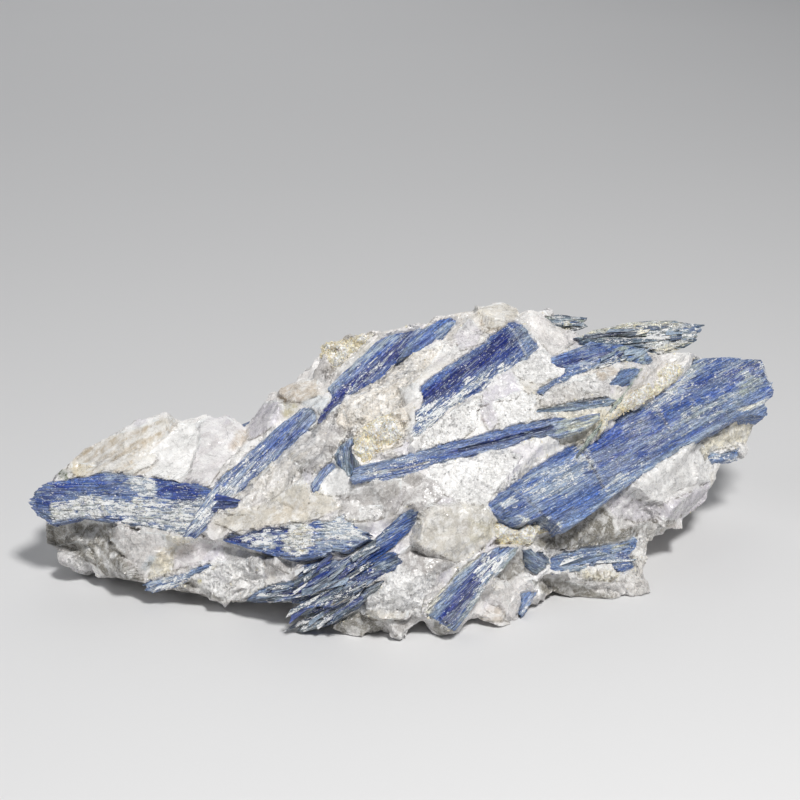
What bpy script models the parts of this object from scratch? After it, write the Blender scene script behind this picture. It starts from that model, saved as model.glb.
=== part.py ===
"""Kyanite blade cluster: a loose hand specimen of milky quartz with flat kyanite blades and mica clumps set in it.

One quartz matrix carries everything. Each kyanite crystal, or group of crystals grown through each other, and each
mica clump is a solid of its own that sits in its mould in the quartz with a small clearance.
Frame: +Z up, -Y is the display face, origin at the centre of the bounding box on the resting plane.
"""

import math
import random

import bmesh
import bpy
import numpy as np
from mathutils import Matrix, Vector
from mathutils.bvhtree import BVHTree

MM = 0.001
GAP = 0.30          # clearance between a crystal and its mould, mm
RELIEF = 5.0        # how far a mould is opened outwards over its crystal, mm
VOXEL = 1.25        # cell of the quartz body's remesh, mm
QUARTZ_FACES = 3500  # faces left on the quartz body before the moulds are cut
SHIFT = Vector((-2.44, -36.60, 0.0))   # moves the drawing's datum to the centre of the base, mm

# The display face is drawn on a sheet of 800 x 800 units, as seen from a station point in front of the specimen and
# above it. A sheet point and a depth (mm behind the front edge) give a point in space.
PITCH = math.radians(22.0)
FOCAL = 1850.0
STATION = 318.0     # distance to the datum point on the resting plane, mm
DATUM_V = 656.0     # sheet height of that datum point
FWD = Vector((0.0, math.cos(PITCH), -math.sin(PITCH)))
UPV = Vector((0.0, math.sin(PITCH), math.cos(PITCH)))
RGT = Vector((1.0, 0.0, 0.0))


def ray(u, v):
    return FWD + RGT * ((u - 400.0) / FOCAL) + UPV * ((400.0 - v) / FOCAL)


EYE = -ray(400.0, DATUM_V) * STATION


def at(u, v, depth):
    d = ray(u, v)
    return EYE + d * ((depth - EYE.y) / d.y)


# Depth of the display face behind its front edge: (u, v, mm).
FACE = [
    (27, 502, 26), (45, 483, 27), (62, 470, 30), (80, 448, 33), (120, 432, 36), (165, 417, 38), (195, 424, 38),
    (215, 415, 39), (243, 427, 38), (262, 406, 40), (280, 384, 42), (315, 381, 42), (330, 366, 43), (322, 345, 45),
    (350, 333, 47), (400, 330, 47), (450, 316, 50), (500, 303, 52), (540, 310, 52), (590, 318, 56), (650, 320, 58),
    (706, 324, 60), (690, 354, 55), (760, 358, 60), (775, 390, 57), (755, 428, 53), (740, 455, 50), (709, 470, 46),
    (709, 500, 42), (670, 524, 36), (643, 534, 31), (636, 556, 27), (649, 590, 22), (628, 605, 20), (560, 595, 20),
    (535, 597, 17), (515, 626, 13.5), (478, 620, 9), (445, 634, 9.5), (412, 622, 6), (396, 637, 8.7), (370, 630, 8),
    (345, 636, 9), (305, 631, 8), (290, 601, 8), (245, 600, 12), (210, 600, 15), (170, 590, 18), (145, 590, 17),
    (108, 578, 25), (80, 556, 28), (50, 543, 30), (42, 525, 28),
    (100, 500, 24), (150, 505, 22), (205, 500, 19), (130, 545, 22), (180, 560, 18), (230, 540, 16), (250, 580, 13),
    (300, 560, 10), (300, 590, 8), (350, 600, 6), (400, 600, 3.5), (405, 560, 6), (400, 515, 11), (350, 480, 15),
    (290, 480, 18), (250, 460, 23), (190, 450, 30), (300, 425, 28), (260, 490, 19), (360, 430, 22), (340, 400, 30),
    (380, 380, 32), (420, 430, 20), (450, 470, 15), (450, 400, 27), (480, 350, 37), (430, 350, 38), (510, 400, 29),
    (540, 450, 22), (490, 505, 14), (450, 530, 9), (440, 590, 4.5), (500, 580, 11), (520, 540, 15), (570, 520, 20),
    (600, 470, 27), (640, 430, 34), (600, 400, 35), (560, 370, 39), (620, 350, 47), (680, 400, 43), (730, 380, 52),
    (650, 480, 32), (680, 490, 37), (620, 520, 27), (560, 555, 21), (600, 570, 23), (560, 420, 28), (500, 450, 20),
    (430, 500, 11.5), (560, 340, 45), (520, 350, 40),
]


def thin_plate(points, stiffness=40.0):
    """A smooth surface through the points: returns f(u, v)."""
    p = np.array(points, float)
    xy, z = p[:, :2], p[:, 2]

    def kernel(a, b):
        r2 = ((a[:, None, :] - b[None, :, :]) ** 2).sum(-1)
        return 0.5 * r2 * np.log(r2 + 1e-9)

    n = len(p)
    k = kernel(xy, xy) + stiffness * np.eye(n)
    a = np.zeros((n + 3, n + 3))
    a[:n, :n] = k
    a[:n, n:] = np.c_[np.ones(n), xy]
    a[n:, :n] = a[:n, n:].T
    w = np.linalg.solve(a, np.r_[z, 0, 0, 0])
    return lambda u, v: float((kernel(np.array([[u, v]], float), xy) @ w[:n])[0] + w[n] + w[n + 1] * u + w[n + 2] * v)


face = thin_plate(FACE)

# Sections of the quartz body, left to right: sheet u, top v, bottom v, depth of the back (mm).
SECTIONS = [
    (43, 500, 541, 36), (51, 482, 546, 38), (62, 470, 549, 41), (80, 449, 559, 45), (105, 438, 579, 49), (135, 428, 584, 52),
    (165, 418, 589, 54), (182, 421, 592, 55), (197, 425, 597, 56), (212, 416, 601, 57), (230, 421, 602, 58),
    (246, 431, 600, 59), (260, 409, 600, 60), (285, 385, 598, 61), (310, 383, 606, 62), (330, 350, 620, 63),
    (348, 337, 635, 64), (372, 333, 629, 65), (396, 332, 637, 66), (420, 330, 621, 66), (445, 321, 634, 67),
    (470, 312, 621, 67), (500, 305, 621, 68), (516, 313, 625, 68), (530, 316, 604, 68), (548, 314, 594, 69),
    (580, 334, 597, 69), (612, 347, 603, 69), (637, 351, 601, 68), (644, 352, 546, 68), (662, 355, 530, 68), (685, 358, 519, 67),
    (708, 362, 500, 65), (716, 363, 462, 64), (738, 364, 456, 63), (752, 367, 430, 62), (764, 377, 409, 61),
]
FRONT_STEPS = (0.0, 0.14, 0.3, 0.48, 0.66, 0.84, 1.0)

# Blocks of quartz that stand out of the body: u, v, half width, half height (sheet units), half depth (mm), turn (deg), sink (mm), seed.
BLOCKS = [
    (494, 317, 25, 13, 6, 4, 3.0, 11), (541, 324, 22, 14, 6, 0, 3.0, 12), (214, 452, 26, 35, 7, 0, 6.5, 13),
    (138, 450, 62, 27, 7, 18, 5.0, 14), (277, 424, 21, 21, 6, 20, 5.0, 15), (299, 393, 21, 12, 6, 4, 4.5, 16),
    (92, 548, 48, 26, 7, -20, 5.0, 17), (160, 556, 50, 27, 6, 18, 4.6, 18), (237, 580, 36, 20, 6, 0, 4.0, 19),
    (444, 530, 42, 28, 6, 10, 4.2, 20), (424, 493, 22, 18, 5, 0, 4.2, 21), (482, 482, 50, 24, 6, 12, 4.4, 22),
    (392, 590, 38, 31, 6, 0, 4.0, 23), (357, 622, 25, 18, 6, 10, 3.4, 24), (396, 626, 13, 16, 5, 0, 1.6, 25),
    (446, 626, 14, 13, 5, 0, 1.8, 26), (502, 600, 29, 29, 6, -10, 4.0, 27), (660, 492, 50, 30, 7, 22, 4.6, 28),
    (576, 531, 38, 18, 6, 4, 4.6, 29), (600, 586, 49, 17, 7, -6, 4.4, 30), (636, 588, 14, 13, 6, 0, 3.6, 38), (727, 437, 26, 18, 6, 25, 4.2, 31), (694, 492, 17, 14, 6, 0, 4.0, 39),
    (552, 394, 46, 18, 5, 8, 3.6, 32), (470, 420, 34, 22, 5, 20, 3.4, 33), (330, 500, 52, 26, 5, 15, 3.8, 34),
    (300, 450, 40, 20, 5, 40, 3.6, 35), (540, 480, 30, 20, 5, 25, 3.6, 36), (430, 455, 30, 16, 5, 12, 3.6, 37),
]

# Blocks at the back and underneath: x, y, z of the centre, half sizes, turn about Y (deg), seed. All mm.
BACK_BLOCKS = [
    (-46, 50, 18, 13, 8, 9, 10, 51), (-40, 56, 24, 10, 8, 9, -20, 52), (-16, 60, 28, 9, 8, 11, 10, 63), (-8, 62, 22, 16, 8, 13, 15, 53),
    (14, 64, 34, 15, 7, 9, 5, 54), (32, 64, 20, 15, 8, 12, -12, 55), (54, 62, 22, 12, 7, 10, 20, 56),
    (-14, 55, 8, 18, 10, 8, 0, 57), (22, 57, 8, 20, 10, 8, 0, 58), (4, 60, 42, 12, 7, 5, 0, 59),
    (-60, 40, 20, 7, 6, 6, 0, 60), (44, 52, 9, 14, 10, 7, 10, 61), (-34, 46, 9, 12, 10, 7, -10, 62),
]

# Crystals of the display face: node, outline on the sheet, thickness and lift (mm), lean (deg).
# Outlines in one node are crystals grown through each other.
CRYSTALS = [
    ("kyanite_large_right", 4.6, 1.2, 12, [
        (497, 503), (501, 494), (512, 484), (530, 471), (550, 457), (565, 447), (577, 442), (585, 447), (600, 437),
        (612, 425), (618, 414), (632, 407), (645, 402), (662, 390), (682, 376), (690, 366), (696, 357), (720, 356),
        (740, 357), (760, 358), (766, 366), (770, 376), (775, 386), (774, 393), (767, 399), (769, 410), (765, 416),
        (752, 413), (742, 416), (728, 424), (712, 432), (700, 440), (680, 450), (660, 463), (640, 476), (622, 490),
        (604, 502), (590, 514), (578, 522), (566, 528), (555, 526), (545, 518), (530, 519), (518, 521), (508, 518),
        (501, 512)]),
    ("kyanite_centre_deep", 4.0, 1.0, 14, [
        (421, 384), (440, 369), (460, 357), (480, 343), (500, 328), (508, 321), (518, 319), (524, 324), (530, 331),
        (537, 340), (533, 350), (529, 357), (515, 364), (500, 372), (484, 387), (470, 396), (455, 403), (445, 412),
        (432, 424), (416, 437), (412, 430), (418, 420), (416, 411), (424, 400)]),
    ("kyanite_left_cross", 4.2, 1.3, 10, [
        (27, 501), (33, 494), (40, 486), (46, 482), (66, 479), (92, 474), (104, 471), (116, 472), (130, 474),
        (150, 477), (170, 480), (195, 483), (211, 487), (218, 493), (238, 499), (236, 506), (222, 510), (208, 512),
        (203, 520), (196, 530), (180, 534), (164, 531), (140, 527), (115, 522), (92, 519), (76, 517), (66, 521),
        (54, 524), (45, 522), (38, 516), (31, 508)]),
    ("kyanite_left_cross", 3.6, 1.6, 8, [
        (182, 536), (196, 512), (212, 486), (232, 467), (252, 449), (272, 431), (288, 418), (298, 410), (306, 407),
        (313, 409), (318, 416), (317, 422), (300, 438), (284, 452), (262, 472), (242, 491), (226, 505), (212, 518),
        (206, 530), (196, 538)]),
    ("kyanite_upper_left", 4.0, 1.2, 14, [
        (318, 421), (324, 408), (333, 398), (326, 393), (322, 386), (336, 375), (352, 364), (364, 352), (375, 341),
        (386, 334), (400, 331), (414, 328), (424, 326), (418, 332), (408, 341), (400, 349), (393, 357), (388, 367),
        (374, 378), (357, 388), (344, 396), (334, 409), (326, 418)]),
    ("kyanite_upper_left_second", 3.4, 0.9, 12, [
        (400, 356), (406, 346), (412, 336), (422, 328), (432, 323), (440, 319), (450, 316), (459, 317), (457, 325),
        (450, 333), (443, 340), (437, 338), (431, 343), (428, 346), (415, 352)]),
    ("kyanite_long_slender", 3.8, 1.4, 8, [
        (351, 477), (356, 467), (374, 462), (400, 456), (430, 447), (450, 441), (480, 434), (510, 426), (540, 419),
        (556, 416), (572, 418), (590, 414), (602, 412), (600, 420), (585, 430), (565, 437), (548, 436), (530, 438),
        (515, 445), (492, 452), (470, 457), (445, 462), (434, 465), (420, 472), (400, 477), (384, 480), (366, 481),
        (354, 484)]),
    ("kyanite_long_slender", 5.0, 2.0, 0, [
        (334, 452), (340, 444), (352, 434), (357, 437), (351, 448), (356, 457), (364, 466), (356, 480), (349, 477),
        (343, 470), (336, 462)]),
    ("kyanite_upper_right_fan", 3.6, 1.4, 10, [
        (580, 336), (596, 329), (612, 326), (630, 322), (650, 320), (676, 320), (692, 323), (706, 324), (702, 332),
        (698, 340), (686, 347), (676, 351), (664, 355), (650, 351), (635, 348), (615, 347), (596, 346), (584, 343)]),
    ("kyanite_upper_right_fan", 3.4, 1.2, 12, [
        (532, 396), (540, 388), (552, 380), (563, 373), (566, 368), (552, 364), (550, 358), (562, 353), (580, 346),
        (592, 340), (612, 342), (632, 345), (650, 350), (658, 360), (650, 363), (632, 361), (615, 362), (600, 366),
        (588, 372), (570, 379), (556, 386), (545, 393)]),
    ("kyanite_lower_lens", 3.2, 2.2, 14, [
        (222, 541), (230, 534), (245, 532), (262, 528), (276, 525), (290, 525), (304, 526), (318, 522), (330, 520),
        (341, 517), (352, 524), (360, 530), (367, 538), (362, 545), (352, 549), (340, 553), (322, 555), (305, 557),
        (290, 558), (275, 556), (255, 551), (238, 546)]),
    ("kyanite_bottom_bundle", 4.2, 1.0, 12, [
        (300, 566), (318, 561), (340, 558), (356, 554), (366, 547), (376, 536), (388, 526), (400, 514), (411, 505),
        (416, 512), (415, 521), (409, 531), (398, 541), (386, 550), (374, 558), (356, 570), (340, 580), (322, 590),
        (306, 592), (292, 586), (298, 576)]),
    ("kyanite_bottom_bundle", 3.6, 1.0, 10, [
        (244, 600), (254, 592), (266, 586), (278, 582), (290, 580), (304, 584), (306, 594), (296, 600), (280, 601),
        (262, 601)]),
    ("kyanite_bottom_bundle", 4.0, 1.3, 10, [
        (288, 600), (300, 588), (330, 583), (352, 571), (370, 561), (386, 552), (391, 551), (398, 560), (392, 570),
        (375, 580), (360, 590), (345, 600), (332, 608), (316, 606), (300, 604)]),
    ("kyanite_bottom_bundle", 3.6, 0.8, 6, [
        (293, 602), (308, 600), (326, 602), (345, 598), (360, 590), (374, 582), (386, 576), (385, 583), (376, 592),
        (362, 602), (352, 612), (342, 618), (330, 624), (318, 628), (304, 632), (297, 630), (303, 620), (300, 612)]),
    ("kyanite_lower_stub", 4.6, 1.4, 2, [
        (423, 611), (432, 600), (444, 586), (456, 572), (468, 562), (482, 552), (495, 547), (508, 546), (518, 548),
        (516, 554), (506, 566), (494, 578), (484, 590), (474, 606), (464, 620), (456, 630), (448, 628), (436, 620),
        (427, 616)]),
    ("kyanite_lower_right", 3.4, 1.2, 10, [
        (549, 557), (566, 551), (585, 547), (605, 544), (625, 539), (641, 534), (641, 540), (636, 549), (633, 556),
        (635, 566), (630, 572), (618, 570), (612, 563), (596, 565), (580, 570), (562, 572), (552, 567)]),
    ("kyanite_lower_facet", 4.0, 1.6, 0, [
        (526, 553), (534, 550), (545, 553), (553, 560), (549, 569), (538, 577), (529, 570)]),
    ("kyanite_top_back", 2.6, 0.6, 0, [
        (546, 316), (560, 315), (575, 316), (590, 317), (591, 320), (586, 323), (591, 327), (580, 331), (566, 329),
        (554, 325)]),
    ("kyanite_small_leaf_upper", 2.2, 1.0, 8, [
        (610, 384), (616, 375), (622, 368), (634, 366), (645, 367), (640, 375), (632, 383), (622, 385)]),
    ("kyanite_small_leaf_lower", 2.4, 0.8, 10, [
        (532, 411), (540, 408), (556, 405), (575, 401), (592, 398), (607, 396), (618, 400), (610, 405), (596, 408),
        (575, 411), (556, 412), (540, 413)]),
    ("kyanite_small_sliver", 2.4, 1.0, 6, [
        (311, 484), (318, 475), (325, 467), (331, 462), (334, 468), (326, 475), (320, 482), (318, 490), (312, 492)]),
    ("kyanite_bottom_left_sliver", 2.4, 1.2, 8, [
        (143, 584), (150, 580), (165, 576), (180, 573), (195, 567), (208, 563), (216, 562), (206, 569), (192, 577),
        (180, 584), (168, 589), (156, 591), (150, 593), (145, 590)]),
    ("kyanite_right_under", 2.6, 0.8, 8, [
        (706, 457), (712, 451), (722, 452), (732, 450), (741, 446), (741, 454), (739, 460), (724, 462), (712, 465)]),
    ("kyanite_lower_edge_chip", 2.4, 1.0, 0, [
        (520, 592), (530, 590), (541, 591), (533, 600), (527, 610), (522, 616), (518, 612), (521, 602)]),
    ("mica_clump_centre", 3.4, 1.6, 10, [
        (352, 442), (355, 431), (362, 424), (373, 417), (386, 412), (399, 415), (406, 425), (404, 437), (395, 445),
        (384, 450), (376, 456), (370, 463), (360, 465), (354, 456)]),
    ("mica_top_left", 4.5, 1.6, 10, [
        (320, 345), (332, 340), (348, 334), (364, 331), (376, 333), (368, 342), (360, 350), (350, 358), (340, 366),
        (332, 368), (325, 358)]),
    ("mica_band_right", 3.6, 1.4, 12, [
        (606, 426), (608, 412), (618, 401), (630, 391), (644, 379), (656, 367), (668, 359), (684, 355), (694, 355),
        (688, 365), (680, 374), (660, 388), (643, 400), (630, 405), (616, 412), (611, 422)]),
    ("mica_clump_lower", 4.0, 1.6, 10, [
        (494, 529), (498, 519), (508, 520), (520, 524), (532, 522), (545, 521), (553, 530), (545, 533), (538, 541),
        (528, 544), (516, 544), (506, 540), (500, 534)]),
]

# Crystals of the back: node, x and z of the centre (mm), turn (deg), length, width, thickness, lift (mm).
HIDDEN = [
    ("kyanite_back_long", -22, 17, 14, 46, 10, 4.0, 1.0),
    ("kyanite_back_cross", 20, 27, -32, 34, 9, 3.8, 1.2),
    ("kyanite_back_right", 46, 18, 12, 28, 8, 3.4, 1.0),
    ("kyanite_back_left", -50, 13, -10, 17, 6, 3.0, 0.8),
    ("kyanite_back_low", 8, 12, 6, 26, 7, 3.4, 1.0),
    ("mica_clump_back", -4, 31, 10, 18, 9, 3.2, 1.2),
]


def new_object(name, mesh, helpers=False):
    obj = bpy.data.objects.new(name, mesh)
    (HELPERS if helpers else PARTS).objects.link(obj)
    if helpers:
        obj.hide_render = True
        obj.display_type = "WIRE"
    return obj


def loft(sections):
    """A closed body through rings of equal length."""
    bm = bmesh.new()
    rings = [[bm.verts.new(p * MM) for p in ring] for ring in sections]
    n = len(rings[0])
    for a, b in zip(rings, rings[1:]):
        for i in range(n):
            j = (i + 1) % n
            bm.faces.new((a[i], a[j], b[j], b[i]))
    bm.faces.new(rings[0][::-1])
    bm.faces.new(rings[-1])
    bmesh.ops.triangulate(bm, faces=bm.faces)
    bmesh.ops.recalc_face_normals(bm, faces=bm.faces)
    return bm


def body_rings():
    rings = []
    for u, top, bottom, back in SECTIONS:
        front = [at(u, top + t * (bottom - top), face(u, top + t * (bottom - top)) + 0.5) for t in FRONT_STEPS]
        head, foot = front[0], front[-1]
        rise = head.z - foot.z
        run_head, run_foot = back - head.y, back - foot.y

        # the stone stands on a flat broken patch under its middle and curves up towards its ends
        keel = -1.2 + 5.5 * min(1.0, max(0.0, (abs(foot.x - 4.0) - 24.0) / 30.0)) ** 1.5

        def lower(run):
            return max(keel, foot.z - 0.36 * run)

        ring = list(front)
        ring.append(Vector((foot.x, foot.y + 0.30 * run_foot, lower(0.30 * run_foot))))
        ring.append(Vector((foot.x, foot.y + 0.62 * run_foot, lower(0.62 * run_foot))))
        ring.append(Vector((foot.x, foot.y + 0.88 * run_foot, lower(0.88 * run_foot))))
        ring.append(Vector((head.x, back, foot.z + 0.42 * rise)))
        ring.append(Vector((head.x, head.y + 0.86 * run_head, min(head.z - 0.5 * run_head - 1.5, foot.z + 0.80 * rise))))
        ring.append(Vector((head.x, head.y + 0.40 * run_head, head.z - 0.24 * run_head - 0.8)))
        rings.append(ring)
    return rings


def skyline(u):
    """Sheet height of the body's top edge."""
    for (u0, v0, _, _), (u1, v1, _, _) in zip(SECTIONS, SECTIONS[1:]):
        if u0 <= u <= u1:
            return v0 + (v1 - v0) * (u - u0) / (u1 - u0)
    return SECTIONS[0][1] if u < SECTIONS[0][0] else SECTIONS[-1][1]


def under_skyline(p, margin=5.0):
    """The point lowered until the display side's top edge stands above it."""
    for _ in range(3):
        d = p - EYE
        w = d.dot(FWD)
        u = 400.0 + FOCAL * d.dot(RGT) / w
        limit = at(u, skyline(u) + margin, p.y)
        if p.z > limit.z:
            p = Vector((p.x, p.y, limit.z))
    return p


def add_block(bm, centre, axes, half, turn, seed, hidden=False):
    """A convex block with broken faces: the hull of points scattered on an ellipsoid."""
    rnd = random.Random(seed)
    c, s = math.cos(math.radians(turn)), math.sin(math.radians(turn))
    ax = axes[0] * c + axes[1] * s
    ay = axes[1] * c - axes[0] * s
    made = []
    for i in range(20):
        t = (i + 0.5) / 20
        z = 1 - 2 * t
        a = i * 2.399963 + rnd.uniform(-0.5, 0.5)
        r = math.sqrt(max(0.0, 1 - z * z))
        k = rnd.uniform(0.90, 1.12)
        p = centre + ax * (half[0] * k * r * math.cos(a)) + ay * (half[1] * k * r * math.sin(a)) + axes[2] * (half[2] * k * z)
        if hidden:
            p = under_skyline(p)
        made.append(bm.verts.new(p * MM))
    bmesh.ops.convex_hull(bm, input=made)
    loose = [v for v in made if not v.link_faces]
    bmesh.ops.delete(bm, geom=loose, context="VERTS")


def quartz_blocks():
    bm = loft(body_rings())
    scale = 0.180
    for u, v, hw, hh, hd, turn, sink, seed in BLOCKS:
        centre = at(u, v, face(u, v)) + FWD * sink
        add_block(bm, centre, (RGT, UPV, FWD), (hw * scale, hh * scale, hd), turn, seed)
    for x, y, z, hx, hy, hz, turn, seed in BACK_BLOCKS:
        add_block(bm, Vector((x, y - 2.5, z)), (RGT, Vector((0, 0, 1)), Vector((0, 1, 0))), (hx, hz, hy), turn, seed, True)
    bmesh.ops.recalc_face_normals(bm, faces=bm.faces)
    return bm


def fitted_plane(points, lean):
    """The plane of a crystal's flat face: its long axis follows the points, and lean (deg) tips it back from facing the
    station point, so its lower side shows."""
    p = np.array([list(q) for q in points])
    centre = Vector(p.mean(0))
    _, _, axes = np.linalg.svd(p - p.mean(0))
    along = Vector(axes[0])
    if along.x < 0:
        along.negate()
    view = (EYE - centre).normalized()
    normal = (view - along * view.dot(along)).normalized()
    normal = Matrix.Rotation(math.radians(-lean), 3, along) @ normal
    return centre, along, normal.cross(along).normalized(), normal


def placed(centre, along, across, normal):
    m = Matrix.Identity(4)
    for i, axis in enumerate((along, across, normal)):
        m[0][i], m[1][i], m[2][i] = axis
    m.translation = centre
    return m


def wider(outline, by):
    """The outline moved outwards by a distance, with mitred corners."""
    n = len(outline)
    area = sum(outline[i][0] * outline[(i + 1) % n][1] - outline[(i + 1) % n][0] * outline[i][1] for i in range(n))
    turn = 1.0 if area > 0 else -1.0
    out = []
    for i in range(n):
        p, a, b = (Vector(outline[k % n]) for k in (i, i - 1, i + 1))
        d1, d2 = (p - a).normalized(), (b - p).normalized()
        n1, n2 = Vector((d1.y, -d1.x)) * turn, Vector((d2.y, -d2.x)) * turn
        m = (n1 + n2).normalized()
        out.append(tuple(p + m * (by / max(0.5, m.dot(n1)))))
    return out


def slab(name, frame, outline, low, high, helpers=True):
    """A flat outline as a filled 2D curve with thickness, from low to high along its normal, made a mesh."""
    curve = bpy.data.curves.new(name, "CURVE")
    curve.dimensions = "2D"
    curve.fill_mode = "BOTH"
    curve.extrude = (high - low) / 2 * MM
    spline = curve.splines.new("POLY")
    spline.points.add(len(outline) - 1)
    for point, (a, b) in zip(spline.points, outline):
        point.co = (a * MM, b * MM, 0, 1)
    spline.use_cyclic_u = True
    guide = new_object(name + "_outline", curve, True)
    centre, along, across, normal = frame
    m = placed((centre + normal * ((high + low) / 2) + SHIFT) * MM, along, across, normal)
    bpy.context.view_layer.update()
    graph = bpy.context.evaluated_depsgraph_get()
    mesh = bpy.data.meshes.new_from_object(guide.evaluated_get(graph))
    bpy.data.objects.remove(guide)
    bm = bmesh.new()
    bm.from_mesh(mesh)
    bmesh.ops.remove_doubles(bm, verts=bm.verts, dist=2e-6)
    bmesh.ops.dissolve_degenerate(bm, edges=bm.edges, dist=1e-6)
    bmesh.ops.recalc_face_normals(bm, faces=bm.faces)
    if bm.calc_volume(signed=True) < 0:
        bmesh.ops.reverse_faces(bm, faces=bm.faces)
    bm.to_mesh(mesh)
    bm.free()
    obj = new_object(name, mesh, helpers)
    obj.matrix_world = m
    return obj


def boolean(obj, other, kind):
    mod = obj.modifiers.new(other.name, "BOOLEAN")
    mod.operation = kind
    mod.object = other
    mod.solver = "EXACT"


def baked(obj):
    """The object's mesh as evaluated, with only its largest piece kept."""
    bpy.context.view_layer.update()
    graph = bpy.context.evaluated_depsgraph_get()
    mesh = bpy.data.meshes.new_from_object(obj.evaluated_get(graph))
    bm = bmesh.new()
    bm.from_mesh(mesh)
    bmesh.ops.remove_doubles(bm, verts=bm.verts, dist=2e-6)
    bm.verts.ensure_lookup_table()
    seen, islands = set(), []
    for v in bm.verts:
        if v in seen:
            continue
        stack, island = [v], []
        seen.add(v)
        while stack:
            w = stack.pop()
            island.append(w)
            for e in w.link_edges:
                o = e.other_vert(w)
                if o not in seen:
                    seen.add(o)
                    stack.append(o)
        islands.append(island)
    islands.sort(key=len)
    for island in islands[:-1]:
        bmesh.ops.delete(bm, geom=island, context="VERTS")
    bmesh.ops.triangulate(bm, faces=bm.faces)
    bm.to_mesh(mesh)
    bm.free()
    return mesh, len(islands)


def material(name, colour, roughness):
    mat = bpy.data.materials.new(name)
    mat.use_nodes = True
    shader = mat.node_tree.nodes["Principled BSDF"]
    shader.inputs["Base Color"].default_value = (*colour, 1)
    shader.inputs["Roughness"].default_value = roughness
    shader.inputs["Metallic"].default_value = 0.0
    return mat


for old in list(bpy.data.objects):
    bpy.data.objects.remove(old)
PARTS = bpy.data.collections.new("kyanite_blade_cluster")
HELPERS = bpy.data.collections.new("cutters")
for group in (PARTS, HELPERS):
    bpy.context.scene.collection.children.link(group)

QUARTZ = material("quartz", (0.78, 0.76, 0.75), 0.45)
KYANITE = material("kyanite", (0.10, 0.19, 0.46), 0.32)
MICA = material("mica", (0.80, 0.70, 0.50), 0.55)

# Quartz body: the loft and its blocks become one skin, thinned to broken facets, and cut flat where it rests.
bm = quartz_blocks()
core = bpy.data.meshes.new("quartz_core")
bm.to_mesh(core)
bm.free()
skin = BVHTree.FromPolygons([v.co / MM for v in core.vertices], [tuple(p.vertices) for p in core.polygons])
body = new_object("quartz_body", core, True)
body.location = SHIFT * MM
remesh = body.modifiers.new("skin", "REMESH")
remesh.mode = "VOXEL"
remesh.voxel_size = VOXEL * MM
dense, _ = baked(body)
thin = body.modifiers.new("facets", "DECIMATE")
thin.ratio = QUARTZ_FACES / len(dense.polygons)
mesh, _ = baked(body)
matrix = new_object("quartz_matrix", mesh)
matrix.location = SHIFT * MM
ground = bmesh.new()
bmesh.ops.create_cube(ground, size=1.0)
bmesh.ops.scale(ground, vec=(0.4, 0.3, 0.02), verts=ground.verts)
bmesh.ops.translate(ground, vec=(0, 0, -0.01), verts=ground.verts)
ground_mesh = bpy.data.meshes.new("ground_cut")
ground.to_mesh(ground_mesh)
ground.free()
ground_cut = new_object("ground_cut", ground_mesh, True)
boolean(matrix, ground_cut, "DIFFERENCE")

# Crystals: each outline gives its slab and the mould around it.
parts, moulds = {}, {}
for i, (node, thick, lift, lean, outline) in enumerate(CRYSTALS):
    points = [at(u, v, face(u, v)) for u, v in outline]
    centre, along, across, normal = fitted_plane(points, lean)
    centre = centre + normal * lift
    flat = []
    for u, v in outline:
        d = ray(u, v)
        p = EYE + d * ((centre - EYE).dot(normal) / d.dot(normal)) - centre
        flat.append((p.dot(along), p.dot(across)))
    frame = (centre, along, across, normal)
    parts.setdefault(node, []).append(slab(f"{node}_{i}", frame, flat, -thick, 0.0))
    moulds.setdefault(node, []).append((
        slab(f"{node}_{i}_mould", frame, wider(flat, GAP), -thick - GAP, RELIEF),
        slab(f"{node}_{i}_seat", frame, wider(flat, GAP), -thick - GAP, GAP)))


def blade_outline(length, width, seed):
    """A flat blade with slanted broken ends."""
    rnd = random.Random(seed)
    a, b = length / 2, width / 2
    k = [rnd.uniform(0.75, 1.0) for _ in range(6)]
    return [(-a, -b * 0.3 * k[0]), (-a * 0.9 * k[1], -b), (-a * 0.3, -b * 0.92), (a * 0.4, -b), (a * 0.92 * k[2], -b * 0.8),
            (a, b * 0.2 * k[3]), (a * 0.86 * k[4], b), (a * 0.2, b * 0.94), (-a * 0.4, b), (-a * 0.95, b * 0.7 * k[5])]


for i, (node, x, z, turn, length, width, thick, lift) in enumerate(HIDDEN):
    a = math.radians(turn)
    along = Vector((math.cos(a), 0, math.sin(a)))
    hits = []
    for s, t in ((-0.36, 0.0), (0.36, 0.0), (0.0, 0.4), (0.0, -0.4), (0.0, 0.0)):
        q = Vector((x, 0, z)) + along * (s * length) + Vector((-along.z, 0, along.x)) * (t * width)
        hits.append(skin.ray_cast(Vector((q.x, 200, q.z)), Vector((0, -1, 0)))[0])
    p = np.array([list(h) for h in hits])
    centre = Vector(p.mean(0))
    _, _, axes = np.linalg.svd(p - p.mean(0))
    normal = Vector(axes[2])
    if normal.y < 0:
        normal.negate()
    along = (along - normal * along.dot(normal)).normalized()
    across = normal.cross(along).normalized()
    frame = (centre + normal * lift, along, across, normal)
    flat = blade_outline(length, width, 300 + i)
    parts.setdefault(node, []).append(slab(f"{node}_{i}b", frame, flat, -thick, 0.0))
    moulds.setdefault(node, []).append((
        slab(f"{node}_{i}b_mould", frame, wider(flat, GAP), -thick - GAP, RELIEF),
        slab(f"{node}_{i}b_seat", frame, wider(flat, GAP), -thick - GAP, GAP)))


def box_of(obj):
    pts = [obj.matrix_world @ Vector(c) for c in obj.bound_box]
    return [min(p[k] for p in pts) for k in range(3)], [max(p[k] for p in pts) for k in range(3)]


def near(a, b):
    (al, ah), (bl, bh) = box_of(a), box_of(b)
    return all(al[k] <= bh[k] + 0.0005 and bl[k] <= ah[k] + 0.0005 for k in range(3))


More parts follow.
